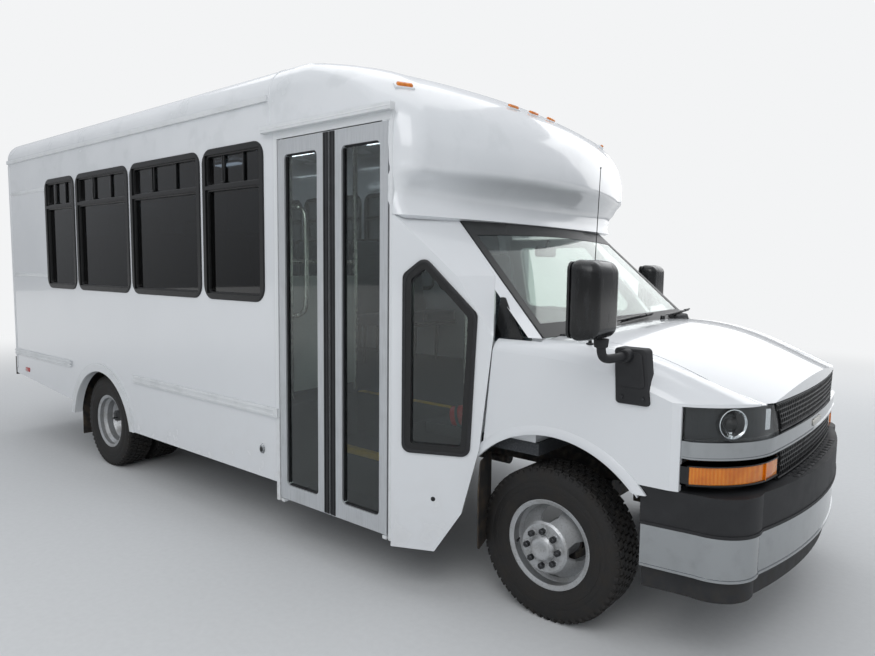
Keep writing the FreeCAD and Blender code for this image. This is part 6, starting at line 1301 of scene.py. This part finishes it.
    def signals(self) -> None:
        """Edges each turn signal with a black bezel and marks its inner step."""
        piece = Piece("turn_signal_steps")
        for side, lead in ((-0.905, 3.214), (-0.700, 3.3605)):
            place = standing((lead, side, 0.856), self.lamp_along)
            piece.block((-0.0015, -0.037, -0.006), (0.0015, 0.037, 0.0020), place, edge=0.0006)
        piece.both_sides().finish(AMBER)
        lamp = Piece("turn_signal_lenses").copy_node("amber_lamps").cut_off((0, 0, 1.5), (0, 0, 1))
        lamp.finish(AMBER, replaces=("amber_lamps",))
        bezel = Piece("turn_signal_bezels")
        foot = Matrix.Translation((-3.107, 0, 0))
        for keep in (((0, 0, 0.892), (0, 0, -1)), ((0, 0, 0.821), (0, 0, 1)), ((3.140, 0, 0), (1, 0, 0))):
            strip = Piece("strip").copy_node("amber_lamps").cut_off((0, 0, 1.5), (0, 0, 1)).cut_off(*keep)
            bmesh.ops.scale(strip.mesh, vec=(1.022, 1.0045, 1.0), space=foot, verts=strip.mesh.verts)
            bezel.add(strip.mesh)
        bezel.finish(SMOOTH_BLACK)

    def arch_lips(self) -> None:
        """Rounds each front wheel opening with a raised lip."""
        for name, side in (("right", -1), ("left", 1)):
            piece = Piece("front_arch_lip_" + name)
            piece.lathe([(0.546, -0.012), (0.546, 0.006), (0.556, 0.009), (0.574, 0.008), (0.590, 0.0),
                         (0.590, -0.012)], (2.525, side * 1.0045, 0.372), (0, side, 0), steps=128,
                        closed=True)
            piece.cut_off((0, 0, 0.745), (0, 0, -1)).finish(ENAMEL)

    def build(self) -> None:
        """Builds the front."""
        self.arch_lips()
        for name, *edges in self.grilles:
            self.openwork("grille_%s_openwork" % name, *edges)
        self.borders()
        self.bar_lips()
        self.head_lamp()
        self.signals()


@dataclass
class Bumper:
    """Step treads and lips of the front bumper."""

    front: float = 3.475
    top: float = 0.783
    sweep: float = 0.033
    half: float = 0.64

    def step(self) -> None:
        """Raises two rows of treads on the pad's step."""
        piece = Piece("bumper_step_treads")
        for number in range(-7, 8):
            side = number * 0.058
            back = self.sweep * (side / self.half) ** 2
            for lead in (0.042, 0.080):
                middle = self.front - back - lead
                piece.block((middle - 0.012, side - 0.022, self.top - 0.002),
                            (middle + 0.012, side + 0.022, self.top + 0.003), edge=0.0015)
        piece.finish(GRAINED)

    def lips(self) -> None:
        """Turns a bright lip along the chrome face and a rounded edge along the pad."""
        for name, node, low, high, finish in (("bumper_face_top_lip", "bumper_face", 0.606, 0.619, CHROME),
                                              ("bumper_face_foot_lip", "bumper_face", 0.437, 0.447, CHROME),
                                              ("bumper_pad_foot_lip", "bumper_pad", 0.621, 0.634, GRAINED)):
            piece = Piece(name).copy_node(node).between(low, high)
            bmesh.ops.scale(piece.mesh, vec=(1.0010, 1.0035, 1.0), verts=piece.mesh.verts)
            piece.finish(finish)

    def build(self) -> None:
        """Builds the bumper's pieces."""
        self.step()
        self.lips()


@dataclass
class Wheels:
    """Treaded tyres on the places of the plain ones, nuts, hub caps and valves."""

    tread_depth: float = 0.0085
    pitches: int = 58
    slant: float = 0.22
    front_middle: float = 0.830
    rear_middles: tuple[float, float] = (1.055, 0.783)
    faces: tuple[tuple[str, float, float, float], ...] = (("front", AT.front_axle, 0.966, 0.996),
                                                          ("rear", AT.rear_axle, 0.925, 1.019))
    nuts: int = 8
    nut_circle: float = 0.0825
    ribs: tuple[tuple[float, float, float], ...] = ((-0.0765, 0.030, 0.0), (-0.0395, 0.031, 0.5),
                                                    (0.0, 0.033, 0.0), (0.0395, 0.031, 0.5),
                                                    (0.0765, 0.030, 0.0))

    def tyre(self) -> Piece:
        """Makes one tyre round the Y axis at the origin."""
        radius = AT.tyre
        wall = [(0.2145, 0.078), (0.2150, 0.092), (0.2190, 0.0980), (0.2260, 0.1020), (0.2300, 0.1020),
                (0.2360, 0.1050), (0.2560, 0.1090), (0.2740, 0.1106), (0.2770, 0.1092), (0.2800, 0.1108),
                (0.3000, 0.1108), (0.3030, 0.1094), (0.3060, 0.1104), (0.3260, 0.1080), (0.3420, 0.1030),
                (0.3540, 0.0965), (radius - self.tread_depth, 0.0890)]
        tyre = Piece("tyre")
        tyre.lathe(wall + [(r, -reach) for r, reach in reversed(wall)], (0, 0, 0), (0, 1, 0), steps=96,
                   closed=True)
        pitch = math.tau / self.pitches
        for middle, wide, phase in self.ribs:
            form = Piece("tread").block((-0.0158, middle - wide / 2, radius - 0.016),
                                        (0.0158, middle + wide / 2, radius - 0.0004), edge=0.0012,
                                        steps=1).mesh
            slant = Matrix.Rotation(self.slant if middle else 0.0, 3, "Z")
            bmesh.ops.rotate(form, verts=form.verts, cent=(0, middle, 0), matrix=slant)
            tyre.add(form, [Matrix.Rotation((number + phase) * pitch, 4, "Y")
                            for number in range(self.pitches)])
        for side in (-1, 1):
            low, high = sorted((side * 0.0890, side * 0.1010))
            form = Piece("lug").block((-0.0100, low, radius - 0.030),
                                      (0.0100, high, radius - self.tread_depth), edge=0.0015, steps=1).mesh
            tyre.add(form, [Matrix.Rotation(number * pitch, 4, "Y") for number in range(self.pitches)])
        return tyre

    def tyres(self) -> None:
        """Puts a tyre at each of the six places."""
        for side, sign in (("right", -1), ("left", 1)):
            for row, lead, middles in (("front", AT.front_axle, (self.front_middle,)),
                                       ("rear", AT.rear_axle, self.rear_middles)):
                word = "tyre" if row == "front" else "tyres"
                piece = Piece("%s_%s_%s_treaded" % (word, row, side))
                piece.add(self.tyre().mesh, [Matrix.Translation((lead, sign * middle, AT.tyre))
                                             for middle in middles])
                piece.finish(TYRE, "wheel_%s_%s" % (row, side), ("%s_%s_%s" % (word, row, side),), angle=28)

    def fittings(self) -> None:
        """Adds nuts on washers, a bare hub cap and a valve to each wheel."""
        for side, sign in (("right", -1), ("left", 1)):
            for row, lead, face, cap in self.faces:
                body = "wheel_%s_%s" % (row, side)
                nuts, washers = Piece("nuts_%s_%s" % (row, side)), Piece("nut_washers_%s_%s" % (row, side))
                for number in range(self.nuts):
                    angle = number * math.tau / self.nuts
                    x = lead + self.nut_circle * math.cos(angle)
                    z = AT.tyre + self.nut_circle * math.sin(angle)
                    nuts.rod((x, sign * face, z), (x, sign * (face + 0.0250), z), 0.0156, steps=6,
                             edge=0.0015)
                    nuts.rod((x, sign * (face + 0.0240), z), (x, sign * (face + 0.0275), z), 0.0105, 0.0060,
                             steps=12, edge=0.0008)
                    washers.rod((x, sign * (face - 0.002), z), (x, sign * (face + 0.0045), z), 0.0205,
                                0.0185, steps=24, edge=0.001)
                nuts.finish(NUT, body)
                washers.finish(WHEEL, body)
                hub = Piece("hub_cap_%s_%s" % (row, side))
                top = sign * cap
                hub.lathe([(0.0, 0.0010), (0.030, 0.0010), (0.033, 0.0026), (0.044, 0.0026),
                           (0.0505, -0.0010), (0.0515, -0.0160), (0.0640, -0.0175), (0.0645, -0.0300),
                           (0.0, -0.0300)], (lead, top, AT.tyre), (0, sign, 0), steps=56)
                hub.finish(WHEEL, body)
                valve = Piece("valve_%s_%s" % (row, side))
                out = sign * (face - 0.062 if row == "front" else face + 0.080)
                stem = AT.tyre - 0.018
                valve.rod((lead - 0.172, out, stem - 0.002), (lead - 0.160, out + sign * 0.036, stem),
                          0.0045, steps=12)
                valve.rod((lead - 0.161, out + sign * 0.032, stem), (lead - 0.157, out + sign * 0.044, stem),
                          0.0062, 0.0052, steps=12, edge=0.001)
                valve.finish(SEAL, body)

    def build(self) -> None:
        """Builds tyres and fittings."""
        self.tyres()
        self.fittings()


@dataclass
class Mirrors:
    """Both outside mirrors: rounded shell, rim, two glasses, bent arm and foot."""

    half: Spot = (0.059, 0.124, 0.160)
    right: Spot = (2.847, -1.246, 1.556)
    left: Spot = (2.065, 1.246, 1.552)

    def head(self, name: str, centre: Spot, body: str) -> None:
        """Makes a shell with its collar and, on its rear side, the two glasses."""
        place = standing(centre, (0, 1, 0))
        deep, wide, tall = self.half
        shell = Piece("mirror_%s_shell" % name)
        shell.block((-wide, -tall, -deep), (wide, tall, deep), place, edge=0.042, steps=7,
                    taper=(0.86, 0.90))
        shell.finish(GLOSS_BLACK, body, ("mirror_" + name,), angle=60)
        rim = Piece("mirror_%s_rim" % name)
        rim.slab(oblong((-wide + 0.012, -tall + 0.012), (wide - 0.012, tall - 0.012)), -deep - 0.003, 0.010,
                 place, corner=0.034, rim=0.012, edge=0.003)
        rim.slab(oblong((-wide + 0.020, -0.064), (wide - 0.020, -0.056)), -deep - 0.002, 0.008, place)
        rim.finish(SMOOTH_BLACK, body)
        glass = Piece("mirror_%s_glasses" % name)
        for low, high in ((-0.140, -0.064), (-0.056, 0.140)):
            glass.slab(oblong((-wide + 0.022, low), (wide - 0.022, high)), -deep - 0.0015, 0.003, place,
                       corner=0.020)
        glass.finish(SILVERED, body)

    def right_arm(self) -> None:
        """Carries the right mirror on a bent arm from the fender."""
        x, y, z = self.right
        near, foot = y + 0.066, z - self.half[2]
        arm = Piece("mirror_right_arm")
        arm.rod((x, near, foot + 0.006), (x, near, foot - 0.030), 0.031, 0.027, steps=32, edge=0.004)
        arm.bent([(x, near, foot - 0.010), (x, near, 1.345), (x + 0.004, y + 0.090, 1.318),
                  (x + 0.020, y + 0.140, 1.316), (x + 0.040, -1.005, 1.322), (x + 0.044, -0.965, 1.322)],
                 0.0185, steps=6)
        arm.rod((x + 0.038, -1.048, 1.321), (x + 0.041, -1.012, 1.322), 0.026, 0.030, steps=28, edge=0.004)
        arm.finish(GRAINED)
        foot = Piece("mirror_right_foot")
        place = standing((0, -0.990, 0), (1, 0, 0))
        foot.slab([(2.838, 1.118), (2.986, 1.118), (2.962, 1.352), (2.826, 1.352)], -0.045, 0.070, place,
                  corner=0.016, edge=0.008)
        foot.slab([(2.852, 1.190), (2.968, 1.190), (2.950, 1.338), (2.840, 1.338)], 0.020, 0.012, place,
                  corner=0.02, edge=0.006)
        foot.finish(GRAINED)
        screws = Piece("mirror_right_foot_screws")
        for lead in (2.866, 2.958):
            screws.rod((lead, -1.012, 1.148), (lead, -1.0195, 1.148), 0.0085, 0.007, steps=16, edge=0.001)
        screws.finish(NUT)

    def left_arm(self) -> None:
        """Carries the left mirror on a short arm from the driver's door."""
        x, y, z = self.left
        arm = Piece("mirror_left_arm")
        arm.bent([(x, y - 0.066, z - self.half[2] + 0.004), (x, y - 0.066, 1.345), (x, y - 0.090, 1.322),
                  (x, 1.10, 1.312), (x, 1.030, 1.310)], 0.0185, steps=6)
        arm.finish(GRAINED, "driver_door")
        foot = Piece("mirror_left_foot")
        place = standing((0, 1.006, 0), (-1, 0, 0))
        foot.slab([(-x - 0.060, 1.255), (-x + 0.060, 1.255), (-x + 0.045, 1.362), (-x - 0.045, 1.362)], 0.0,
                  0.034, place, corner=0.014, edge=0.006)
        foot.finish(GRAINED, "driver_door")

    def build(self) -> None:
        """Builds both mirrors."""
        self.head("right", self.right, "vehicle")
        self.head("left", self.left, "driver_door")
        self.right_arm()
        self.left_arm()


@dataclass
class Seats:
    """Five rows of double seats and the driver's seat, padded and sewn."""

    first: float = -2.866
    pitch: float = 0.740
    rows: int = 5
    cushion: Spot = (0.44, 0.42, 0.11)
    back: Spot = (0.085, 0.41, 0.68)
    places: tuple[float, ...] = (-0.932, -0.505, 0.505, 0.932)
    back_height: float = 1.560
    cushion_height: float = 1.235
    rail_height: float = 1.178
    grab_loop: tuple[Spot, ...] = ((-0.300, 0.330, 1.80), (-0.318, 0.330, 1.895), (-0.318, 0.400, 1.905),
                                   (-0.318, 1.040, 1.905), (-0.318, 1.110, 1.895), (-0.300, 1.110, 1.80))

    @staticmethod
    def pad(size: Spot, crown: float, channels: tuple[float, ...]) -> bmesh.types.BMesh:
        """Makes a stuffed pad about the origin, its top towards +Z.

        Args:
            size: Its length, width and thickness.
            crown: How far its faces swell, as a share of the thickness.
            channels: Places of sewn channels across its top, from -1 to 1 of its length.

        Returns:
            The pad.
        """
        form = bmesh.new()
        bmesh.ops.create_cube(form, size=2.0)
        bmesh.ops.subdivide_edges(form, edges=form.edges[:], cuts=11, use_grid_fill=True)
        for _ in range(3):
            bmesh.ops.smooth_vert(form, verts=form.verts, factor=0.5, use_axis_x=True, use_axis_y=True,
                                  use_axis_z=True)
        for vert in form.verts:
            a, b, c = vert.co
            swell = (1 - min(a * a, 1)) * (1 - min(b * b, 1))
            pull = 0.035 * (1 - min(c * c, 1)) * (1 + 0.6 * min(abs(a * b), 1))
            sunk = sum(0.10 * math.exp(-((a - place) / 0.07) ** 2) for place in channels) if c > 0.4 else 0.0
            welt = 0.045 * math.exp(-((c - 0.62) / 0.10) ** 2)
            vert.co = (a * (1 - pull + welt * 0.3), b * (1 - pull + welt * 0.3),
                       c * (0.86 + crown * swell) - sunk)
        bmesh.ops.scale(form, vec=[s / 2 for s in size], verts=form.verts)
        return form

    def saloon(self) -> None:
        """Sets cushions and backs in their rows."""
        cushions, backs = Piece("saloon_cushions"), Piece("saloon_backs")
        seats = [(self.first + row * self.pitch, side) for row in range(self.rows) for side in self.places]
        slope = Matrix.Rotation(math.radians(-4), 4, "Y")
        lean = Matrix.Rotation(math.radians(-100), 4, "Y") @ Matrix.Diagonal((1.0, 1.0, -1.0, 1.0))
        low = [Matrix.Translation((lead, side, self.cushion_height)) @ slope for lead, side in seats]
        high = [Matrix.Translation((lead - 0.235, side, self.back_height)) @ lean for lead, side in seats]
        cushions.add(self.pad(self.cushion, 0.26, (-0.45, 0.1)), low)
        size = (self.back[2], self.back[1], self.back[0])
        backs.add(self.pad(size, 0.34, (-0.5, 0.0, 0.5)), high)
        cushions.finish(CLOTH, replaces=("seats",), angle=50)
        backs.finish(CLOTH, angle=50)

    def frames(self) -> None:
        """Stands the seats on tubes and gives each back its rear shell and grab tube."""
        tubes, shells = Piece("saloon_seat_frames"), Piece("saloon_seat_shells")
        lean = Matrix.Rotation(math.radians(-10), 4, "Y")
        for row in range(self.rows):
            lead = self.first + row * self.pitch
            for side in (-1, 1):
                for near in (0.34, 0.98):
                    for foot in (lead + 0.10, lead - 0.16):
                        tubes.rod((foot, side * near, AT.on_floor), (foot + 0.02, side * near, 1.185), 0.016,
                                  steps=14)
                for beam in (lead + 0.19, lead - 0.17):
                    start, end = ((beam, side * reach, self.rail_height) for reach in (0.300, 1.140))
                    tubes.rod(start, end, 0.013, steps=12)
                tubes.bent([(lead + x, side * y, z) for x, y, z in self.grab_loop], 0.011, steps=3)
            for middle in self.places:
                place = Matrix.Translation((lead - 0.278, middle, self.back_height)) @ lean
                shells.block((-0.009, -0.195, -0.300), (0.009, 0.195, 0.330), place, edge=0.008)
        tubes.finish(CHASSIS)
        shells.finish(INNER_GREY)

    def driver(self) -> None:
        """Pads the driver's seat with bolsters and a head rest, on its plain base."""
        seat = Piece("driver_seat_pads")
        middle = AT.driver
        seat.add(self.pad((0.50, 0.50, 0.13), 0.2, (-0.3, 0.3)),
                 (Matrix.Translation((1.405, middle, 1.105)) @ Matrix.Rotation(math.radians(-5), 4, "Y"),))
        lean = Matrix.Rotation(math.radians(-101), 4, "Y") @ Matrix.Diagonal((1.0, 1.0, -1.0, 1.0))
        seat.add(self.pad((0.62, 0.46, 0.11), 0.25, (-0.4, 0.1)),
                 (Matrix.Translation((1.165, middle, 1.470)) @ lean,))
        seat.add(self.pad((0.17, 0.26, 0.09), 0.3, ()), (Matrix.Translation((1.085, middle, 1.838)) @ lean,))
        for side in (-1, 1):
            seat.add(self.pad((0.44, 0.075, 0.09), 0.3, ()),
                     (Matrix.Translation((1.400, middle + side * 0.225, 1.165)),))
        seat.finish(CLOTH, angle=50)
        base = Piece("driver_seat_base")
        base.block((1.190, middle - 0.20, AT.on_floor), (1.600, middle + 0.20, 1.050), edge=0.02, steps=3,
                   taper=(0.9, 0.95))
        for side in (-1, 1):
            base.rod((1.100, middle + side * 0.05, 1.73), (1.090, middle + side * 0.05, 1.80), 0.007,
                     steps=12)
        base.finish(INNER_GREY)

    def build(self) -> None:
        """Builds all seats."""
        self.saloon()
        self.frames()
        self.driver()


@dataclass
class Cab:
    """Dashboard, wheel boss, boards by the door and lamps in the ceiling."""

    lamp_leads: tuple[float, ...] = (-2.45, -1.30, -0.15)
    lamp_sides: tuple[float, float] = (-0.62, 0.62)
    column_deg: float = 28.0

    def dashboard(self) -> None:
        """Adds the instrument hood, screens, vents, knobs and the glove box lid."""
        hood = Piece("instrument_hood")
        hood.block((2.020, 0.285, 1.245), (2.200, 0.675, 1.336), edge=0.03, steps=4, taper=(0.8, 0.9))
        hood.block((2.040, -0.150, 1.020), (2.080, 0.150, 1.290), edge=0.012, steps=3)
        hood.block((2.046, -0.760, 1.080), (2.062, -0.330, 1.230), edge=0.008)
        hood.finish(INNER_GREY)
        dark = Piece("dashboard_dark_faces")
        dark.block((2.014, 0.310, 1.256), (2.024, 0.650, 1.322), edge=0.004)
        dark.block((2.034, -0.120, 1.180), (2.044, 0.120, 1.270), edge=0.003)
        for middle in (-0.800, -0.230, 0.200, 0.780):
            for row in range(4):
                low = 1.242 + row * 0.012
                dark.block((2.044, middle - 0.050, low), (2.058, middle + 0.050, low + 0.005), edge=0.001)
        for number in (-1, 0, 1):
            dark.rod((2.046, number * 0.075, 1.105), (2.022, number * 0.075, 1.105), 0.022, 0.019, steps=24,
                     edge=0.002)
        dark.finish(SMOOTH_BLACK)

    def wheel_centre(self) -> None:
        """Pads the boss of the steering wheel."""
        slope = math.radians(self.column_deg)
        axis = (-math.cos(slope), 0.0, math.sin(slope))
        centre = (1.925, AT.driver, 1.33)
        piece = Piece("steering_wheel_boss")
        piece.lathe([(0.0, 0.030), (0.040, 0.028), (0.062, 0.018), (0.068, 0.002), (0.060, -0.020),
                     (0.0, -0.022)], centre, axis, steps=36)
        piece.finish(GRAINED, "steering_wheel")

    def boards(self) -> None:
        """Faces the guard panel by the door and the sides of the step well with white board."""
        piece = Piece("entry_guard_board")
        piece.block((0.7580, -1.070, 0.906), (0.7780, -0.558, 1.614), edge=0.005)
        piece.finish(BOARD)
        edge = Piece("cab_step_lining")
        for lead in (0.8290, 1.7170):
            edge.block((lead, -1.160, 0.580), (lead + 0.004, -0.600, 0.845), edge=0.001)
        edge.finish(BOARD)

    def ceiling(self) -> None:
        """Sets two rows of lit lamps in their frames in the ceiling."""
        lamps, frames = Piece("ceiling_lamps"), Piece("ceiling_lamp_frames")
        for lead in self.lamp_leads:
            for side in self.lamp_sides:
                lamps.block((lead - 0.21, side - 0.05, 2.752), (lead + 0.21, side + 0.05, 2.776), edge=0.010,
                            steps=3)
                frames.block((lead - 0.225, side - 0.062, 2.764), (lead + 0.225, side + 0.062, 2.786),
                             edge=0.006)
        lamps.finish(OPAL)
        frames.finish(INNER_GREY)

    def build(self) -> None:
        """Builds the pieces inside."""
        self.dashboard()
        self.wheel_centre()
        self.boards()
        self.ceiling()


@dataclass
class Tail:
    """Lamps, window rubbers, door handle and the bare plate of the rear."""

    lamp_rows: tuple[tuple[float, float], ...] = ((0.900, 1.200), (1.240, 1.340), (2.499, 2.539))
    lamp_column: float = 1.080
    window: tuple[float, float] = (1.468, 2.212)

    def lamp_rings(self) -> None:
        """Rims each tail lamp, domes its lens and sets the clear reversing lens in the tall one."""
        rims, domes, clear = Piece("tail_lamp_rims"), Piece("tail_lamp_domes"), Piece("reversing_lenses")
        for side in (-self.lamp_column, self.lamp_column):
            for low, high in self.lamp_rows:
                rims.slab(oblong((side - 0.066, low - 0.006), (side + 0.066, high + 0.006)), 0.0, 0.022,
                          REAR, corner=0.012, rim=0.007, edge=0.002)
                domes.slab(oblong((side - 0.057, low + 0.003), (side + 0.057, high - 0.003)), 0.020, 0.012,
                           REAR, corner=0.008, edge=0.006)
            clear.slab(oblong((side - 0.055, 0.905), (side + 0.055, 0.985)), 0.030, 0.006, REAR,
                       corner=0.008, edge=0.003)
        rims.finish(SMOOTH_BLACK)
        domes.finish(RED)
        clear.finish(LENS)

    def door(self) -> None:
        """Seals the rear windows and gives the rear door a handle in a dish."""
        gasket = Piece("rear_door_window_rubber")
        low, high = self.window
        gasket.slab(oblong((-0.302, low), (0.302, high)), 0.0225, 0.007, REAR, corner=0.05, rim=0.016,
                    edge=0.004)
        gasket.finish(SEAL, "rear_door")
        side = Piece("rear_side_window_rubbers")
        for middle in (-0.790, 0.790):
            side.slab(oblong((middle - 0.242, low), (middle + 0.242, high)), 0.0, 0.009, REAR, corner=0.05,
                      rim=0.016, edge=0.004)
        side.finish(SEAL)
        dish = Piece("rear_door_handle_dish")
        dish.slab(oblong((0.270, 1.290), (0.370, 1.370)), 0.020, 0.008, REAR, corner=0.012, rim=0.010,
                  edge=0.003)
        dish.block((0.285, 1.340, 0.024), (0.355, 1.354, 0.036), REAR, edge=0.004)
        dish.finish(CHROME, "rear_door")

    def plate(self) -> None:
        """Mounts a blank plate with its lamp under the rear window."""
        piece = Piece("rear_plate_blank")
        piece.slab(oblong((0.480, 0.930), (0.790, 1.085)), 0.0, 0.004, REAR, corner=0.010, edge=0.0015)
        piece.finish(BOARD)
        lamp = Piece("rear_plate_lamp")
        lamp.block((0.600, 1.095, 0.0), (0.670, 1.120, 0.026), REAR, edge=0.006, steps=3)
        lamp.finish(SMOOTH_BLACK)

    def build(self) -> None:
        """Builds the rear's pieces."""
        self.lamp_rings()
        self.door()
        self.plate()


@dataclass
class Antenna:
    """The whip on the right fender."""

    foot: Spot = (2.660, -0.905, 1.336)
    tip: Spot = (2.696, -0.927, 2.108)

    def build(self) -> None:
        """Builds the foot and the whip."""
        low, high = Vector(self.foot), Vector(self.tip)
        away = (high - low).normalized()
        base = Piece("antenna_foot")
        base.rod(low - away * 0.012, low + away * 0.012, 0.020, 0.016, steps=28, edge=0.003)
        base.rod(low + away * 0.010, low + away * 0.040, 0.009, 0.006, steps=20, edge=0.001)
        base.finish(SMOOTH_BLACK)
        whip = Piece("antenna_whip")
        whip.rod(low + away * 0.035, high, 0.0026, 0.0016, steps=10)
        whip.rod(high - away * 0.004, high + away * 0.004, 0.003, steps=10, edge=0.001)
        whip.finish(SMOOTH_BLACK)


@dataclass
class Studio:
    """The floor, the lamps, the pale surroundings and the camera at the photograph's angle."""

    eye: Spot = (4.032, -3.624, 1.677)
    turn_deg: float = 39.69
    tilt_deg: float = 5.21
    roll_deg: float = 0.63
    lens_mm: float = 27.55
    floor_half: float = 40.0
    haze: tuple[float, float] = (5.0, 13.0)
    aim: Spot = (0.3, 0.0, 1.2)
    lamps_at: tuple[tuple[str, Spot, float, float], ...] = (("key_lamp", (5.0, -7.0, 7.0), 6.0, 265.0),
                                                            ("top_lamp", (-1.0, 1.0, 8.5), 9.0, 200.0),
                                                            ("left_lamp", (2.0, 9.0, 5.0), 6.0, 150.0))
    pale: str = "#f3f4f5"

    def floor(self) -> None:
        """Lays a pale matt floor that keeps the vehicle's shadow."""
        form = bmesh.new()
        bmesh.ops.create_grid(form, x_segments=1, y_segments=1, size=self.floor_half)
        data = bpy.data.meshes.new("studio_floor")
        form.to_mesh(data)
        form.free()
        made = bpy.data.materials.new("studio_floor_matt")
        made.use_nodes = True
        tree = made.node_tree
        tree.nodes.clear()
        place = add_node(tree, "ShaderNodeTexCoord").outputs["Object"]
        grain = add_node(tree, "ShaderNodeTexNoise", {"Scale": 30.0, "Detail": 4.0}, {"Vector": place})
        shade = add_node(tree, "ShaderNodeMix", {"data_type": "RGBA", 6: linear("#d9dbdc"),
                                                 7: linear("#e2e4e5")}, {0: grain.outputs[0]})
        surface = add_node(tree, "ShaderNodeBsdfPrincipled", {"Roughness": 0.9},
                           {"Base Color": shade.outputs[2]})
        span = add_node(tree, "ShaderNodeVectorMath", {"operation": "LENGTH"}, {0: place})
        far = add_node(tree, "ShaderNodeMapRange", {"From Min": self.haze[0], "From Max": self.haze[1],
                                                    "interpolation_type": "SMOOTHSTEP"},
                       {"Value": span.outputs["Value"]})
        haze = add_node(tree, "ShaderNodeEmission", {"Color": linear(self.pale), "Strength": 1.0})
        blend = add_node(tree, "ShaderNodeMixShader", links={0: far.outputs[0], 1: surface.outputs[0],
                                                             2: haze.outputs[0]})
        add_node(tree, "ShaderNodeOutputMaterial", links={"Surface": blend.outputs[0]})
        data.materials.append(made)
        ground = bpy.data.objects.new("studio_floor", data)
        bpy.context.scene.collection.objects.link(ground)

    def surroundings(self) -> None:
        """Gives the world an even light, and pale grey where it is seen or mirrored."""
        world = bpy.data.worlds.new("studio_world")
        bpy.context.scene.world = world
        world.use_nodes = True
        tree = world.node_tree
        tree.nodes.clear()
        path = add_node(tree, "ShaderNodeLightPath")
        seen = add_node(tree, "ShaderNodeMath", {"operation": "MAXIMUM"},
                        {0: path.outputs["Is Camera Ray"], 1: path.outputs["Is Transmission Ray"]})
        place = add_node(tree, "ShaderNodeTexCoord").outputs["Generated"]
        rise = add_node(tree, "ShaderNodeSeparateXYZ", links={0: place}).outputs[2]
        level = add_node(tree, "ShaderNodeMapRange", {"From Min": -0.1, "From Max": 0.5, "To Min": 0.25,
                                                      "To Max": 0.95}, {"Value": rise})
        soft = add_node(tree, "ShaderNodeBackground", {"Color": linear("#eef1f6"), "Strength": 0.55})
        mirrored = add_node(tree, "ShaderNodeBackground", {"Color": linear("#eef1f6")},
                            {"Strength": level.outputs[0]})
        bare = add_node(tree, "ShaderNodeBackground", {"Color": linear(self.pale), "Strength": 1.0})
        gloss = add_node(tree, "ShaderNodeMixShader", links={0: path.outputs["Is Glossy Ray"],
                                                             1: soft.outputs[0], 2: mirrored.outputs[0]})
        both = add_node(tree, "ShaderNodeMixShader", links={0: seen.outputs[0], 1: gloss.outputs[0],
                                                            2: bare.outputs[0]})
        add_node(tree, "ShaderNodeOutputWorld", links={"Surface": both.outputs[0]})

    def lamps(self) -> None:
        """Hangs a key lamp at the right front, a wide one over the roof and a weaker one at the left."""
        for name, spot, size, watts in self.lamps_at:
            data = bpy.data.lights.new(name, "AREA")
            data.shape = "SQUARE"
            data.size = size
            data.energy = watts
            made = bpy.data.objects.new(name, data)
            made.location = spot
            aim = Vector(self.aim) - Vector(spot)
            made.rotation_euler = aim.to_track_quat("-Z", "Y").to_euler()
            bpy.context.scene.collection.objects.link(made)

    def camera(self) -> None:
        """Sets the camera where the photograph was taken from."""
        turn, tilt, roll = (math.radians(a) for a in (self.turn_deg, self.tilt_deg, self.roll_deg))
        ahead = Vector((-math.sin(turn) * math.cos(tilt), math.cos(turn) * math.cos(tilt), -math.sin(tilt)))
        level = Vector((math.cos(turn), math.sin(turn), 0.0))
        up = level.cross(ahead)
        right = level * math.cos(roll) + up * math.sin(roll)
        over = up * math.cos(roll) - level * math.sin(roll)
        data = bpy.data.cameras.new("photo_camera")
        data.lens = self.lens_mm
        data.sensor_width = 36.0
        data.clip_end = 200.0
        made = bpy.data.objects.new("photo_camera", data)
        facing = Matrix((right, over, -ahead)).transposed().to_4x4()
        made.matrix_world = Matrix.Translation(self.eye) @ facing
        bpy.context.scene.collection.objects.link(made)
        bpy.context.scene.camera = made

    def build(self) -> None:
        """Builds the studio."""
        bpy.context.scene.view_settings.view_transform = "Standard"
        self.floor()
        self.surroundings()
        self.lamps()
        self.camera()


def main() -> None:
    """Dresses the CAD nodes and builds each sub-assembly."""
    logging.basicConfig(level=logging.INFO, format="%(name)s %(message)s")
    dress_nodes()
    for assembly in (Coachwork, FrontCap, SideGlazing, EntryDoor, QuarterWindow, Windscreen, FrontFace,
                     Bumper, Wheels, Mirrors, Seats, Cab, Tail, Antenna, Studio):
        LOG.info("building %s", assembly.__name__)
        assembly().build()


if __name__ == "__main__":
    main()
